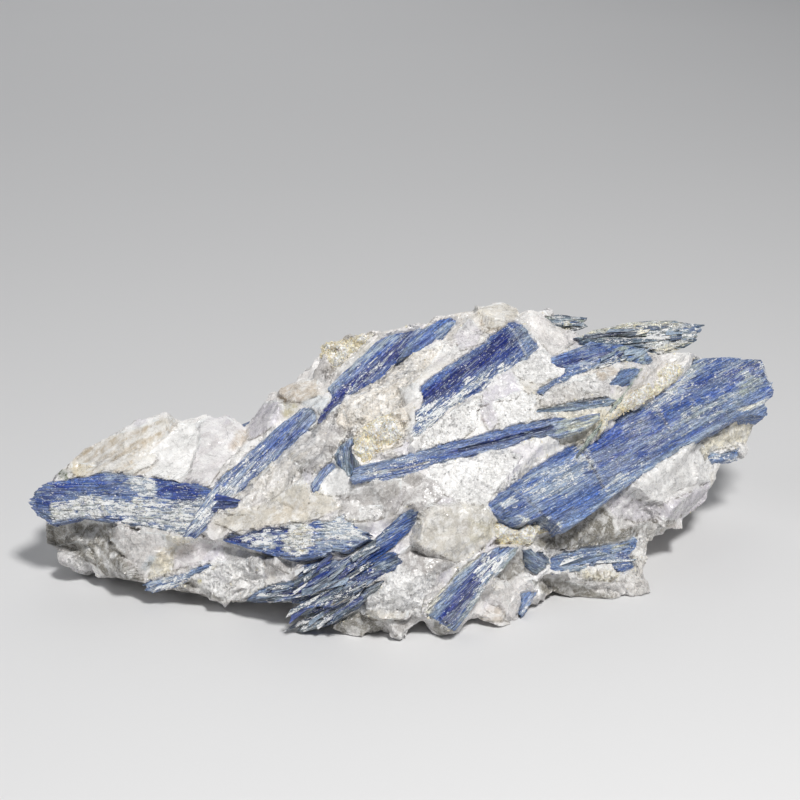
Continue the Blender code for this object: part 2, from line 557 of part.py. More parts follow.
bpy.context.view_layer.update()
done = []
for node, slabs in parts.items():
    first = slabs[0]
    for other in slabs[1:]:
        boolean(first, other, "UNION")
    for earlier in done:
        for _, seat in moulds[earlier]:
            if any(near(s, seat) for s in slabs):
                boolean(first, seat, "DIFFERENCE")
    if any(box_of(s)[0][2] < 0 for s in slabs):
        boolean(first, ground_cut, "DIFFERENCE")
    mesh, islands = baked(first)
    solid = new_object(node, mesh)
    solid.matrix_world = first.matrix_world
    mesh.materials.clear()
    mesh.materials.append(MICA if node.startswith("mica") else KYANITE)
    for mould, _ in moulds[node]:
        boolean(matrix, mould, "DIFFERENCE")
    done.append(node)
    if islands > 1:
        print("note:", node, "kept the largest of", islands)

mesh, islands = baked(matrix)
matrix.modifiers.clear()
matrix.data = mesh
mesh.materials.clear()
mesh.materials.append(QUARTZ)
print("quartz islands", islands, "faces", len(mesh.polygons))
bpy.context.view_layer.update()
low = [min((o.matrix_world @ v.co)[k] for o in PARTS.objects for v in o.data.vertices) / MM for k in range(3)]
high = [max((o.matrix_world @ v.co)[k] for o in PARTS.objects for v in o.data.vertices) / MM for k in range(3)]
print("box", [round(a, 2) for a in low], [round(a, 2) for a in high])
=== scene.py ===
"""Looks of the kyanite blade cluster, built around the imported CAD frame.

Lengths are in millimetres until a mesh is made. The display face is drawn on the same sheet as the CAD model: a sheet
point (u, v) and a depth give a point in space. Colours and relief come from named marks (polygons and strokes on the
sheet), broken up by noise that runs along each crystal.
"""

import math
import random

import bmesh
import bpy
import numpy as np
from mathutils import Matrix, Vector
from mathutils.geometry import delaunay_2d_cdt
from mathutils.kdtree import KDTree


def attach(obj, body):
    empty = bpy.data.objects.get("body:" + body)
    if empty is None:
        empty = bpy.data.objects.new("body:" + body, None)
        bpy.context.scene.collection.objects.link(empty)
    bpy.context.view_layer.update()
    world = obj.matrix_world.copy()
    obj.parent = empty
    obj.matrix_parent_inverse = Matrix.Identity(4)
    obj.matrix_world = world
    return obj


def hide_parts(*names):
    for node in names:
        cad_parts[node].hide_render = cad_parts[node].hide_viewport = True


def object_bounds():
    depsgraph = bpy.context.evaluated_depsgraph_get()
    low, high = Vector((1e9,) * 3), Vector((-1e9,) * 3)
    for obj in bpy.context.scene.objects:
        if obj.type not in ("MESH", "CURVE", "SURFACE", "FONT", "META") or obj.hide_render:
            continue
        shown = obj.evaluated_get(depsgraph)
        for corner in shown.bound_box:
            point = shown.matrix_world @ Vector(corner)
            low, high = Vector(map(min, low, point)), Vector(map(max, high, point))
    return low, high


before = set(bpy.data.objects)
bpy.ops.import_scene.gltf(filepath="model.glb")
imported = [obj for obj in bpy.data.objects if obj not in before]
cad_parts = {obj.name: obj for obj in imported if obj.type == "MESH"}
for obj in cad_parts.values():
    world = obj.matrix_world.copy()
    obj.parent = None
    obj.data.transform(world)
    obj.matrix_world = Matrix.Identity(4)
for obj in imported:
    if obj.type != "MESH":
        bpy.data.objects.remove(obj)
cad_low, cad_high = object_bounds()

MM = 0.001
SHIFT = np.array([-2.44, -36.60, 0.0])
PITCH = math.radians(22.0)
FOCAL = 1850.0
STATION = 318.0
DATUM_V = 656.0
FWD = np.array([0.0, math.cos(PITCH), -math.sin(PITCH)])
UPV = np.array([0.0, math.sin(PITCH), math.cos(PITCH)])
RGT = np.array([1.0, 0.0, 0.0])
EYE = -(FWD + UPV * ((400.0 - DATUM_V) / FOCAL)) * STATION

# ------------------------------------------------------------------ sheet geometry, as in the CAD model
FACE = np.array([
    (27, 502, 26), (45, 483, 27), (62, 470, 30), (80, 448, 33), (120, 432, 36), (165, 417, 38), (195, 424, 38),
    (215, 415, 39), (243, 427, 38), (262, 406, 40), (280, 384, 42), (315, 381, 42), (330, 366, 43), (322, 345, 45),
    (350, 333, 47), (400, 330, 47), (450, 316, 50), (500, 303, 52), (540, 310, 52), (590, 318, 56), (650, 320, 58),
    (706, 324, 60), (690, 354, 55), (760, 358, 60), (775, 390, 57), (755, 428, 53), (740, 455, 50), (709, 470, 46),
    (709, 500, 42), (670, 524, 36), (643, 534, 31), (636, 556, 27), (649, 590, 22), (628, 605, 20), (560, 595, 20),
    (535, 597, 17), (515, 626, 13.5), (478, 620, 9), (445, 634, 9.5), (412, 622, 6), (396, 637, 8.7), (370, 630, 8),
    (345, 636, 9), (305, 631, 8), (290, 601, 8), (245, 600, 12), (210, 600, 15), (170, 590, 18), (145, 590, 17),
    (108, 578, 25), (80, 556, 28), (50, 543, 30), (42, 525, 28),
    (100, 500, 24), (150, 505, 22), (205, 500, 19), (130, 545, 22), (180, 560, 18), (230, 540, 16), (250, 580, 13),
    (300, 560, 10), (300, 590, 8), (350, 600, 6), (400, 600, 3.5), (405, 560, 6), (400, 515, 11), (350, 480, 15),
    (290, 480, 18), (250, 460, 23), (190, 450, 30), (300, 425, 28), (260, 490, 19), (360, 430, 22), (340, 400, 30),
    (380, 380, 32), (420, 430, 20), (450, 470, 15), (450, 400, 27), (480, 350, 37), (430, 350, 38), (510, 400, 29),
    (540, 450, 22), (490, 505, 14), (450, 530, 9), (440, 590, 4.5), (500, 580, 11), (520, 540, 15), (570, 520, 20),
    (600, 470, 27), (640, 430, 34), (600, 400, 35), (560, 370, 39), (620, 350, 47), (680, 400, 43), (730, 380, 52),
    (650, 480, 32), (680, 490, 37), (620, 520, 27), (560, 555, 21), (600, 570, 23), (560, 420, 28), (500, 450, 20),
    (430, 500, 11.5), (560, 340, 45), (520, 350, 40),
], float)

SECTIONS = [
    (43, 500, 541, 36), (51, 482, 546, 38), (62, 470, 549, 41), (80, 449, 559, 45), (105, 438, 579, 49),
    (135, 428, 584, 52), (165, 418, 589, 54), (182, 421, 592, 55), (197, 425, 597, 56), (212, 416, 601, 57),
    (230, 421, 602, 58), (246, 431, 600, 59), (260, 409, 600, 60), (285, 385, 598, 61), (310, 383, 606, 62),
    (330, 350, 620, 63), (348, 337, 635, 64), (372, 333, 629, 65), (396, 332, 637, 66), (420, 330, 621, 66),
    (445, 321, 634, 67), (470, 312, 621, 67), (500, 305, 621, 68), (516, 313, 625, 68), (530, 316, 604, 68),
    (548, 314, 594, 69), (580, 334, 597, 69), (612, 347, 603, 69), (637, 351, 601, 68), (644, 352, 546, 68),
    (662, 355, 530, 68), (685, 358, 519, 67), (708, 362, 500, 65), (716, 363, 462, 64), (738, 364, 456, 63),
    (752, 367, 430, 62), (764, 377, 409, 61),
]
FRONT_STEPS = (0.0, 0.14, 0.3, 0.48, 0.66, 0.84, 1.0)

BLOCKS = [
    (494, 317, 25, 13, 6, 4, 3.0, 11), (541, 324, 22, 14, 6, 0, 3.0, 12), (214, 452, 26, 35, 7, 0, 6.5, 13),
    (138, 450, 62, 27, 7, 18, 5.0, 14), (277, 424, 21, 21, 6, 20, 5.0, 15), (299, 393, 21, 12, 6, 4, 4.5, 16),
    (92, 548, 48, 26, 7, -20, 5.0, 17), (160, 556, 50, 27, 6, 18, 4.6, 18), (237, 580, 36, 20, 6, 0, 4.0, 19),
    (444, 530, 42, 28, 6, 10, 4.2, 20), (424, 493, 22, 18, 5, 0, 4.2, 21), (482, 482, 50, 24, 6, 12, 4.4, 22),
    (392, 590, 38, 31, 6, 0, 4.0, 23), (357, 622, 25, 18, 6, 10, 3.4, 24), (396, 626, 13, 16, 5, 0, 1.6, 25),
    (446, 626, 14, 13, 5, 0, 1.8, 26), (502, 600, 29, 29, 6, -10, 4.0, 27), (660, 492, 50, 30, 7, 22, 4.6, 28),
    (576, 531, 38, 18, 6, 4, 4.6, 29), (600, 586, 49, 17, 7, -6, 4.4, 30), (636, 588, 14, 13, 6, 0, 3.6, 38),
    (727, 437, 26, 18, 6, 25, 4.2, 31), (694, 492, 17, 14, 6, 0, 4.0, 39), (552, 394, 46, 18, 5, 8, 3.6, 32),
    (470, 420, 34, 22, 5, 20, 3.4, 33), (330, 500, 52, 26, 5, 15, 3.8, 34), (300, 450, 40, 20, 5, 40, 3.6, 35),
    (540, 480, 30, 20, 5, 25, 3.6, 36), (430, 455, 30, 16, 5, 12, 3.6, 37),
]
BACK_BLOCKS = [
    (-46, 50, 18, 13, 8, 9, 10, 51), (-40, 56, 24, 10, 8, 9, -20, 52), (-16, 60, 28, 9, 8, 11, 10, 63),
    (-8, 62, 22, 16, 8, 13, 15, 53), (14, 64, 34, 15, 7, 9, 5, 54), (32, 64, 20, 15, 8, 12, -12, 55),
    (54, 62, 22, 12, 7, 10, 20, 56), (-14, 55, 8, 18, 10, 8, 0, 57), (22, 57, 8, 20, 10, 8, 0, 58),
    (4, 60, 42, 12, 7, 5, 0, 59), (-60, 40, 20, 7, 6, 6, 0, 60), (44, 52, 9, 14, 10, 7, 10, 61),
    (-34, 46, 9, 12, 10, 7, -10, 62),
]

# key: node, thickness, lift (mm), lean (deg), outline
OUTLINES = {
    "J": ("kyanite_large_right", 4.6, 1.2, 12, [
        (497, 503), (501, 494), (512, 484), (530, 471), (550, 457), (565, 447), (577, 442), (585, 447), (600, 437),
        (612, 425), (618, 414), (632, 407), (645, 402), (662, 390), (682, 376), (690, 366), (696, 357), (720, 356),
        (740, 357), (760, 358), (766, 366), (770, 376), (775, 386), (774, 393), (767, 399), (769, 410), (765, 416),
        (752, 413), (742, 416), (728, 424), (712, 432), (700, 440), (680, 450), (660, 463), (640, 476), (622, 490),
        (604, 502), (590, 514), (578, 522), (566, 528), (555, 526), (545, 518), (530, 519), (518, 521), (508, 518),
        (501, 512)]),
    "E": ("kyanite_centre_deep", 4.0, 1.0, 14, [
        (421, 384), (440, 369), (460, 357), (480, 343), (500, 328), (508, 321), (518, 319), (524, 324), (530, 331),
        (537, 340), (533, 350), (529, 357), (515, 364), (500, 372), (484, 387), (470, 396), (455, 403), (445, 412),
        (432, 424), (416, 437), (412, 430), (418, 420), (416, 411), (424, 400)]),
    "A": ("kyanite_left_cross", 4.2, 1.3, 10, [
        (27, 501), (33, 494), (40, 486), (46, 482), (66, 479), (92, 474), (104, 471), (116, 472), (130, 474),
        (150, 477), (170, 480), (195, 483), (211, 487), (218, 493), (238, 499), (236, 506), (222, 510), (208, 512),
        (203, 520), (196, 530), (180, 534), (164, 531), (140, 527), (115, 522), (92, 519), (76, 517), (66, 521),
        (54, 524), (45, 522), (38, 516), (31, 508)]),
    "B": ("kyanite_left_cross", 3.6, 1.6, 8, [
        (182, 536), (196, 512), (212, 486), (232, 467), (252, 449), (272, 431), (288, 418), (298, 410), (306, 407),
        (313, 409), (318, 416), (317, 422), (300, 438), (284, 452), (262, 472), (242, 491), (226, 505), (212, 518),
        (206, 530), (196, 538)]),
    "C": ("kyanite_upper_left", 4.0, 1.2, 14, [
        (318, 421), (324, 408), (333, 398), (326, 393), (322, 386), (336, 375), (352, 364), (364, 352), (375, 341),
        (386, 334), (400, 331), (414, 328), (424, 326), (418, 332), (408, 341), (400, 349), (393, 357), (388, 367),
        (374, 378), (357, 388), (344, 396), (334, 409), (326, 418)]),
    "D": ("kyanite_upper_left_second", 3.4, 0.9, 12, [
        (400, 356), (406, 346), (412, 336), (422, 328), (432, 323), (440, 319), (450, 316), (459, 317), (457, 325),
        (450, 333), (443, 340), (437, 338), (431, 343), (428, 346), (415, 352)]),
    "F": ("kyanite_long_slender", 3.8, 1.4, 8, [
        (351, 477), (356, 467), (374, 462), (400, 456), (430, 447), (450, 441), (480, 434), (510, 426), (540, 419),
        (556, 416), (572, 418), (590, 414), (602, 412), (600, 420), (585, 430), (565, 437), (548, 436), (530, 438),
        (515, 445), (492, 452), (470, 457), (445, 462), (434, 465), (420, 472), (400, 477), (384, 480), (366, 481),
        (354, 484)]),
    "Fcap": ("kyanite_long_slender", 5.0, 2.0, 0, [
        (334, 452), (340, 444), (352, 434), (357, 437), (351, 448), (356, 457), (364, 466), (356, 480), (349, 477),
        (343, 470), (336, 462)]),
    "H2": ("kyanite_upper_right_fan", 3.6, 1.4, 10, [
        (580, 336), (596, 329), (612, 326), (630, 322), (650, 320), (676, 320), (692, 323), (706, 324), (702, 332),
        (698, 340), (686, 347), (676, 351), (664, 355), (650, 351), (635, 348), (615, 347), (596, 346), (584, 343)]),
    "H1": ("kyanite_upper_right_fan", 3.4, 1.2, 12, [
        (532, 396), (540, 388), (552, 380), (563, 373), (566, 368), (552, 364), (550, 358), (562, 353), (580, 346),
        (592, 340), (612, 342), (632, 345), (650, 350), (658, 360), (650, 363), (632, 361), (615, 362), (600, 366),
        (588, 372), (570, 379), (556, 386), (545, 393)]),
    "K": ("kyanite_lower_lens", 3.2, 2.2, 14, [
        (222, 541), (230, 534), (245, 532), (262, 528), (276, 525), (290, 525), (304, 526), (318, 522), (330, 520),
        (341, 517), (352, 524), (360, 530), (367, 538), (362, 545), (352, 549), (340, 553), (322, 555), (305, 557),
        (290, 558), (275, 556), (255, 551), (238, 546)]),
    "L": ("kyanite_bottom_bundle", 4.2, 1.0, 12, [
        (300, 566), (318, 561), (340, 558), (356, 554), (366, 547), (376, 536), (388, 526), (400, 514), (411, 505),
        (416, 512), (415, 521), (409, 531), (398, 541), (386, 550), (374, 558), (356, 570), (340, 580), (322, 590),
        (306, 592), (292, 586), (298, 576)]),
    "M1": ("kyanite_bottom_bundle", 3.6, 1.0, 10, [
        (244, 600), (254, 592), (266, 586), (278, 582), (290, 580), (304, 584), (306, 594), (296, 600), (280, 601),
        (262, 601)]),
    "M2": ("kyanite_bottom_bundle", 4.0, 1.3, 10, [
        (288, 600), (300, 588), (330, 583), (352, 571), (370, 561), (386, 552), (391, 551), (398, 560), (392, 570),
        (375, 580), (360, 590), (345, 600), (332, 608), (316, 606), (300, 604)]),
    "M3": ("kyanite_bottom_bundle", 3.6, 0.8, 6, [
        (293, 602), (308, 600), (326, 602), (345, 598), (360, 590), (374, 582), (386, 576), (385, 583), (376, 592),
        (362, 602), (352, 612), (342, 618), (330, 624), (318, 628), (304, 632), (297, 630), (303, 620), (300, 612)]),
    "N": ("kyanite_lower_stub", 4.6, 1.4, 2, [
        (423, 611), (432, 600), (444, 586), (456, 572), (468, 562), (482, 552), (495, 547), (508, 546), (518, 548),
        (516, 554), (506, 566), (494, 578), (484, 590), (474, 606), (464, 620), (456, 630), (448, 628), (436, 620),
        (427, 616)]),
    "O1": ("kyanite_lower_right", 3.4, 1.2, 10, [
        (549, 557), (566, 551), (585, 547), (605, 544), (625, 539), (641, 534), (641, 540), (636, 549), (633, 556),
        (635, 566), (630, 572), (618, 570), (612, 563), (596, 565), (580, 570), (562, 572), (552, 567)]),
    "O2": ("kyanite_lower_facet", 4.0, 1.6, 0, [
        (526, 553), (534, 550), (545, 553), (553, 560), (549, 569), (538, 577), (529, 570)]),
    "Q": ("kyanite_top_back", 2.6, 0.6, 0, [
        (546, 316), (560, 315), (575, 316), (590, 317), (591, 320), (586, 323), (591, 327), (580, 331), (566, 329),
        (554, 325)]),
    "I1": ("kyanite_small_leaf_upper", 2.2, 1.0, 8, [
        (610, 384), (616, 375), (622, 368), (634, 366), (645, 367), (640, 375), (632, 383), (622, 385)]),
    "I2": ("kyanite_small_leaf_lower", 2.4, 0.8, 10, [
        (532, 411), (540, 408), (556, 405), (575, 401), (592, 398), (607, 396), (618, 400), (610, 405), (596, 408),
        (575, 411), (556, 412), (540, 413)]),
    "G": ("kyanite_small_sliver", 2.4, 1.5, 6, [
        (309, 487), (312, 480), (319, 471), (326, 465), (332, 461), (336, 467), (327, 476), (321, 484), (319, 491), (312, 493)]),
    "P": ("kyanite_bottom_left_sliver", 2.4, 1.2, 8, [
        (143, 584), (150, 580), (165, 576), (180, 573), (195, 567), (208, 563), (216, 562), (206, 569), (192, 577),
        (180, 584), (168, 589), (156, 591), (150, 593), (145, 590)]),
    "S1": ("kyanite_large_right", 1.0, 0.1, 6, [
        (641, 366), (645, 368), (634, 384), (617, 407), (599, 430), (584, 448), (579, 451), (590, 434), (612, 407), (629, 383)]),
    "J2": ("kyanite_right_under", 2.6, 0.8, 8, [
        (706, 457), (712, 451), (722, 452), (732, 450), (741, 446), (741, 454), (739, 460), (724, 462), (712, 465)]),
    "O3": ("kyanite_lower_edge_chip", 2.4, 1.0, 0, [
        (520, 592), (530, 590), (541, 591), (533, 600), (527, 610), (522, 616), (518, 612), (521, 602)]),
    "mC": ("mica_clump_centre", 3.4, 1.6, 10, [
        (352, 442), (355, 431), (362, 424), (373, 417), (386, 412), (399, 415), (406, 425), (404, 437), (395, 445),
        (384, 450), (376, 456), (370, 463), (360, 465), (354, 456)]),
    "mT": ("mica_top_left", 4.5, 1.6, 10, [
        (320, 345), (332, 340), (348, 334), (364, 331), (376, 333), (368, 342), (360, 350), (350, 358), (340, 366),
        (332, 368), (325, 358)]),
    "mR": ("mica_band_right", 3.6, 1.4, 12, [
        (606, 426), (608, 412), (618, 401), (630, 391), (644, 379), (656, 367), (668, 359), (684, 355), (694, 355),
        (688, 365), (680, 374), (660, 388), (643, 400), (630, 405), (616, 412), (611, 422)]),
    "mL": ("mica_clump_lower", 4.0, 1.6, 10, [
        (494, 529), (498, 519), (508, 520), (520, 524), (532, 522), (545, 521), (553, 530), (545, 533), (538, 541),
        (528, 544), (516, 544), (506, 540), (500, 534)]),
}
HIDDEN = {
    "b0": ("kyanite_back_long", -22, 17, 14, 46, 10, 4.0, 1.0),
    "b1": ("kyanite_back_cross", 20, 27, -32, 34, 9, 3.8, 1.2),
    "b2": ("kyanite_back_right", 46, 18, 12, 28, 8, 3.4, 1.0),
    "b3": ("kyanite_back_left", -50, 13, -10, 17, 6, 3.0, 0.8),
    "b4": ("kyanite_back_low", 8, 12, 6, 26, 7, 3.4, 1.0),
    "mB": ("mica_clump_back", -4, 31, 10, 18, 9, 3.2, 1.2),
}


def ray(u, v):
    return FWD + RGT * ((u - 400.0) / FOCAL) + UPV * ((400.0 - v) / FOCAL)


def at(u, v, depth):
    d = ray(u, v)
    return EYE + d * ((depth - EYE[1]) / d[1])


def to_sheet(p):
    d = p - EYE
    w = d @ FWD
    return np.stack([400.0 + FOCAL * (d @ RGT) / w, 400.0 - FOCAL * (d @ UPV) / w], -1)


def _kernel(a, b):
    r2 = ((a[:, None, :] - b[None, :, :]) ** 2).sum(-1)
    return 0.5 * r2 * np.log(r2 + 1e-9)


_n = len(FACE)
_a = np.zeros((_n + 3, _n + 3))
_a[:_n, :_n] = _kernel(FACE[:, :2], FACE[:, :2]) + 40.0 * np.eye(_n)
_a[:_n, _n:] = np.c_[np.ones(_n), FACE[:, :2]]
_a[_n:, :_n] = _a[:_n, _n:].T
_w = np.linalg.solve(_a, np.r_[FACE[:, 2], 0, 0, 0])


def face_many(uv):
    out = np.empty(len(uv))
    for i in range(0, len(uv), 20000):
        q = uv[i:i + 20000]
        out[i:i + 20000] = _kernel(q, FACE[:, :2]) @ _w[:_n] + _w[_n] + q @ _w[_n + 1:]
    return out


def face(u, v):
    return float(face_many(np.array([[u, v]], float))[0])


# ------------------------------------------------------------------ noise
def hashed(ix, iy, iz, seed):
    h = (ix.astype(np.int64) * 73856093) ^ (iy.astype(np.int64) * 19349663) ^ (iz.astype(np.int64) * 83492791)
    h = (h ^ (int(seed) * 2654435761 & 0xFFFFFFFF)).astype(np.uint64) & np.uint64(0xFFFFFFFF)
    h ^= h >> np.uint64(16)
    h = (h * np.uint64(0x7FEB352D)) & np.uint64(0xFFFFFFFF)
    h ^= h >> np.uint64(15)
    h = (h * np.uint64(0x846CA68B)) & np.uint64(0xFFFFFFFF)
    h ^= h >> np.uint64(16)
    return h.astype(float) / 4294967295.0


def noise(p, seed):
    """Value noise in 0..1 at points (N, 3)."""
    i = np.floor(p).astype(np.int64)
    f = p - i
    f = f * f * (3 - 2 * f)
    out = 0.0
    for dx in (0, 1):
        wx = f[:, 0] if dx else 1 - f[:, 0]
        for dy in (0, 1):
            wy = f[:, 1] if dy else 1 - f[:, 1]
            for dz in (0, 1):
                wz = f[:, 2] if dz else 1 - f[:, 2]
                out = out + wx * wy * wz * hashed(i[:, 0] + dx, i[:, 1] + dy, i[:, 2] + dz, seed)
    return out


def fbm(p, seed, octaves=3, gain=0.5):
    total, amp, norm = 0.0, 1.0, 0.0
    for k in range(octaves):
        total = total + amp * noise(p * (2.03 ** k) + 17.3 * k, seed + 31 * k)
        norm += amp
        amp *= gain
    return total / norm


def chips(p, size, tilt, curve, seed, flat=0.5):
    """Broken-stone relief: tilted, slightly hollow facets that meet in ridges. Returns mm."""
    q = p / size
    base = np.floor(q).astype(np.int64)
    best = np.full(len(p), 1e9)
    for dx in (-1, 0, 1):
        for dy in (-1, 0, 1):
            for dz in (-1, 0, 1):
                c = base + np.array([dx, dy, dz])
                r = [hashed(c[:, 0], c[:, 1], c[:, 2], seed + 7 * k) for k in range(7)]
                d = q - c - np.stack(r[:3], -1)
                r2 = (d * d).sum(-1)
                h = sum((r[3 + k] - 0.5) * 2 * tilt * d[:, k] for k in range(3)) + curve * r2 + 3.0 * np.maximum(0, r2 - 0.7) ** 2
                best = np.minimum(best, h + flat * (r[6] - 0.5))
    return best * size


def smooth(a, b, x):
    t = np.clip((x - a) / (b - a), 0, 1)
    return t * t * (3 - 2 * t)


# ------------------------------------------------------------------ marks on the sheet
def seg_dist(p, pts, closed=False):
    pts = np.asarray(pts, float)
    ends = np.roll(pts, -1, 0) if closed else pts[1:]
    starts = pts if closed else pts[:-1]
    best = np.full(len(p), 1e9)
    for a, b in zip(starts, ends):
        ab = b - a
        t = np.clip(((p - a) @ ab) / max(1e-9, ab @ ab), 0, 1)
        best = np.minimum(best, np.hypot(*(p - a - t[:, None] * ab).T))
    return best


def inside(p, pts):
    pts = np.asarray(pts, float)
    x, y = p[:, 0], p[:, 1]
    odd = np.zeros(len(p), bool)
    for (x0, y0), (x1, y1) in zip(pts, np.roll(pts, -1, 0)):
        cross = (y0 > y) != (y1 > y)
        with np.errstate(divide="ignore", invalid="ignore"):
            odd ^= cross & (x < (x1 - x0) * (y - y0) / (y1 - y0 + 1e-12) + x0)
    return odd


def signed(p, pts):
    d = seg_dist(p, pts, True)
    return np.where(inside(p, pts), -d, d)


def area(pts, uv, rag, feather=3.0, ragged=5.0):
    """Mask of a polygon on the sheet, its edge broken by rag (0..1)."""
    return np.clip(0.5 - (signed(uv, pts) + (rag - 0.5) * 2 * ragged) / feather, 0, 1)


def stroke(pts, uv, rag, half, feather=2.0, ragged=2.0):
    """Mask of a line on the sheet."""
    return np.clip(0.5 - (seg_dist(uv, pts) - half + (rag - 0.5) * 2 * ragged) / feather, 0, 1)


def srgb(r, g, b):
    c = np.array([r, g, b], float) / 255.0
    return np.where(c <= 0.04045, c / 12.92, ((c + 0.055) / 1.055) ** 2.4)


PALETTE = {
    # "shade" is the colour of painted shade on the rock: shaded facets and zones, and the foot of each facet
    "navy": srgb(8, 28, 114), "deep": srgb(22, 50, 138), "shell": srgb(236, 228, 217), "blue": srgb(60, 90, 158), "mid": srgb(86, 116, 172),
    "pale": srgb(150, 169, 192), "ice": srgb(196, 206, 214), "white": srgb(226, 228, 228),
    "cobalt": srgb(56, 98, 176), "violet": srgb(84, 92, 150), "slate": srgb(74, 92, 112), "dark": srgb(38, 48, 66), "black": srgb(24, 28, 34),
    "green": srgb(134, 148, 140), "sage": srgb(168, 176, 160), "cream": srgb(236, 228, 204),
    "gold": srgb(226, 206, 156), "olive": srgb(176, 166, 100), "tan": srgb(182, 162, 132), "brown": srgb(88, 70, 44),
    "quartz": srgb(226, 222, 220), "milk": srgb(240, 239, 238), "grey": srgb(166, 162, 160), "shade": srgb(128, 124, 114),
    "beige": srgb(213, 207, 195), "lavender": srgb(202, 198, 208), "chlorite": srgb(70, 84, 40),
}


def tint(col, mask, name, strength=1.0):
    m = np.clip(mask * strength, 0, 1)[:, None]
    return col * (1 - m) + PALETTE[name] * m


# ------------------------------------------------------------------ meshes
def finish_mesh(name, co, faces, material, replaced=(), smooth_shade=True, attrs=None, sharp=None):
    """A piece from points in mm (unshifted) and faces; attrs are per-vertex values."""
    mesh = bpy.data.meshes.new(name)
    co = np.array(co, float)
    co[:, 2] = np.maximum(co[:, 2], 0.0)
    mesh.from_pydata(((co + SHIFT) * MM).tolist(), [], [list(map(int, f)) for f in faces])
    mesh.update()
    for key, values in (attrs or {}).items():
        values = np.asarray(values, float)
        if values.ndim == 1:
            layer = mesh.attributes.new(key, "FLOAT", "POINT")
            layer.data.foreach_set("value", values.astype(np.float32))
        elif key == "tint":
            layer = mesh.attributes.new(key, "FLOAT_COLOR", "POINT")
            layer.data.foreach_set("color", np.c_[values, np.ones(len(values))].astype(np.float32).ravel())
        else:
            layer = mesh.attributes.new(key, "FLOAT_VECTOR", "POINT")
            layer.data.foreach_set("vector", values.astype(np.float32).ravel())
    if smooth_shade:
        mesh.shade_smooth()
        if sharp is not None:
            mesh.set_sharp_from_angle(angle=math.radians(sharp))
    obj = bpy.data.objects.new(name, mesh)
    bpy.context.scene.collection.objects.link(obj)
    mesh.materials.append(material)
    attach(obj, "root")
    if replaced:
        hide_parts(*replaced)
    return obj


class Crystal:
    """The plane and outline of one crystal, as the CAD model has it."""

    def __init__(self, key, node, thick, centre, along, across, normal, flat):
        self.key, self.node, self.thick = key, node, thick
        self.centre, self.along, self.across, self.normal = centre, along, across, normal
        self.flat = np.array(flat)
        if self.turned():
            self.flat = self.flat[::-1]

    def turned(self):
        a, b = self.flat, np.roll(self.flat, -1, 0)
        return (a[:, 0] * b[:, 1] - b[:, 0] * a[:, 1]).sum() < 0

    def local(self, p):
        d = p - self.centre
        return np.stack([d @ self.along, d @ self.across, d @ self.normal], -1)

    def world(self, q):
        return self.centre + q[:, :1] * self.along + q[:, 1:2] * self.across + q[:, 2:3] * self.normal


def rotate(v, axis, angle):
    return np.array(Matrix.Rotation(angle, 3, Vector(axis)) @ Vector(v))


def front_crystal(key):
    node, thick, lift, lean, outline = OUTLINES[key]
    pts = np.array([at(u, v, face(u, v)) for u, v in outline])
    centre = pts.mean(0)
    _, _, axes = np.linalg.svd(pts - centre)
    along = axes[0] if axes[0][0] > 0 else -axes[0]
    view = (EYE - centre) / np.linalg.norm(EYE - centre)
    normal = view - along * (view @ along)
    normal = rotate(normal / np.linalg.norm(normal), along, math.radians(-lean))
    across = np.cross(normal, along)
    across /= np.linalg.norm(across)
    centre = centre + normal * lift
    flat = []
    for u, v in outline:
        d = ray(u, v)
        p = EYE + d * (((centre - EYE) @ normal) / (d @ normal)) - centre
        flat.append((p @ along, p @ across))
    return Crystal(key, node, thick, centre, along, across, normal, flat)


def on_plane(c, points):
    """Sheet points seen on a crystal's plane."""
    out = []
    for u, v in points:
        d = ray(u, v)
        p = EYE + d * (((c.centre - EYE) @ c.normal) / (d @ c.normal)) - c.centre
        out.append((p @ c.along, p @ c.across))
    return out


def loft_body():
    rings = []
    for u, top, bottom, back in SECTIONS:
        front = [at(u, top + t * (bottom - top), face(u, top + t * (bottom - top)) + 0.5) for t in FRONT_STEPS]
        head, foot = front[0], front[-1]
        rise = head[2] - foot[2]
        run_head, run_foot = back - head[1], back - foot[1]
        keel = -1.2 + 5.5 * min(1.0, max(0.0, (abs(foot[0] - 4.0) - 24.0) / 30.0)) ** 1.5

        def lower(run):
            return max(keel, foot[2] - 0.36 * run)

        ring = list(front)
        ring.append(np.array((foot[0], foot[1] + 0.30 * run_foot, lower(0.30 * run_foot))))
        ring.append(np.array((foot[0], foot[1] + 0.62 * run_foot, lower(0.62 * run_foot))))
        ring.append(np.array((foot[0], foot[1] + 0.88 * run_foot, lower(0.88 * run_foot))))
        ring.append(np.array((head[0], back, foot[2] + 0.42 * rise)))
        ring.append(np.array((head[0], head[1] + 0.86 * run_head, min(head[2] - 0.5 * run_head - 1.5, foot[2] + 0.80 * rise))))
        ring.append(np.array((head[0], head[1] + 0.40 * run_head, head[2] - 0.24 * run_head - 0.8)))
        rings.append(ring)
    bm = bmesh.new()
    vr = [[bm.verts.new(Vector(p)) for p in ring] for ring in rings]
    n = len(vr[0])
    for a, b in zip(vr, vr[1:]):
        for i in range(n):
            j = (i + 1) % n
            bm.faces.new((a[i], a[j], b[j], b[i]))
    bm.faces.new(vr[0][::-1])
    bm.faces.new(vr[-1])
    bmesh.ops.triangulate(bm, faces=bm.faces)
    bmesh.ops.recalc_face_normals(bm, faces=bm.faces)
    return bm


def skyline(u):
    for (u0, v0, _, _), (u1, v1, _, _) in zip(SECTIONS, SECTIONS[1:]):
        if u0 <= u <= u1:
            return v0 + (v1 - v0) * (u - u0) / (u1 - u0)
    return SECTIONS[0][1] if u < SECTIONS[0][0] else SECTIONS[-1][1]


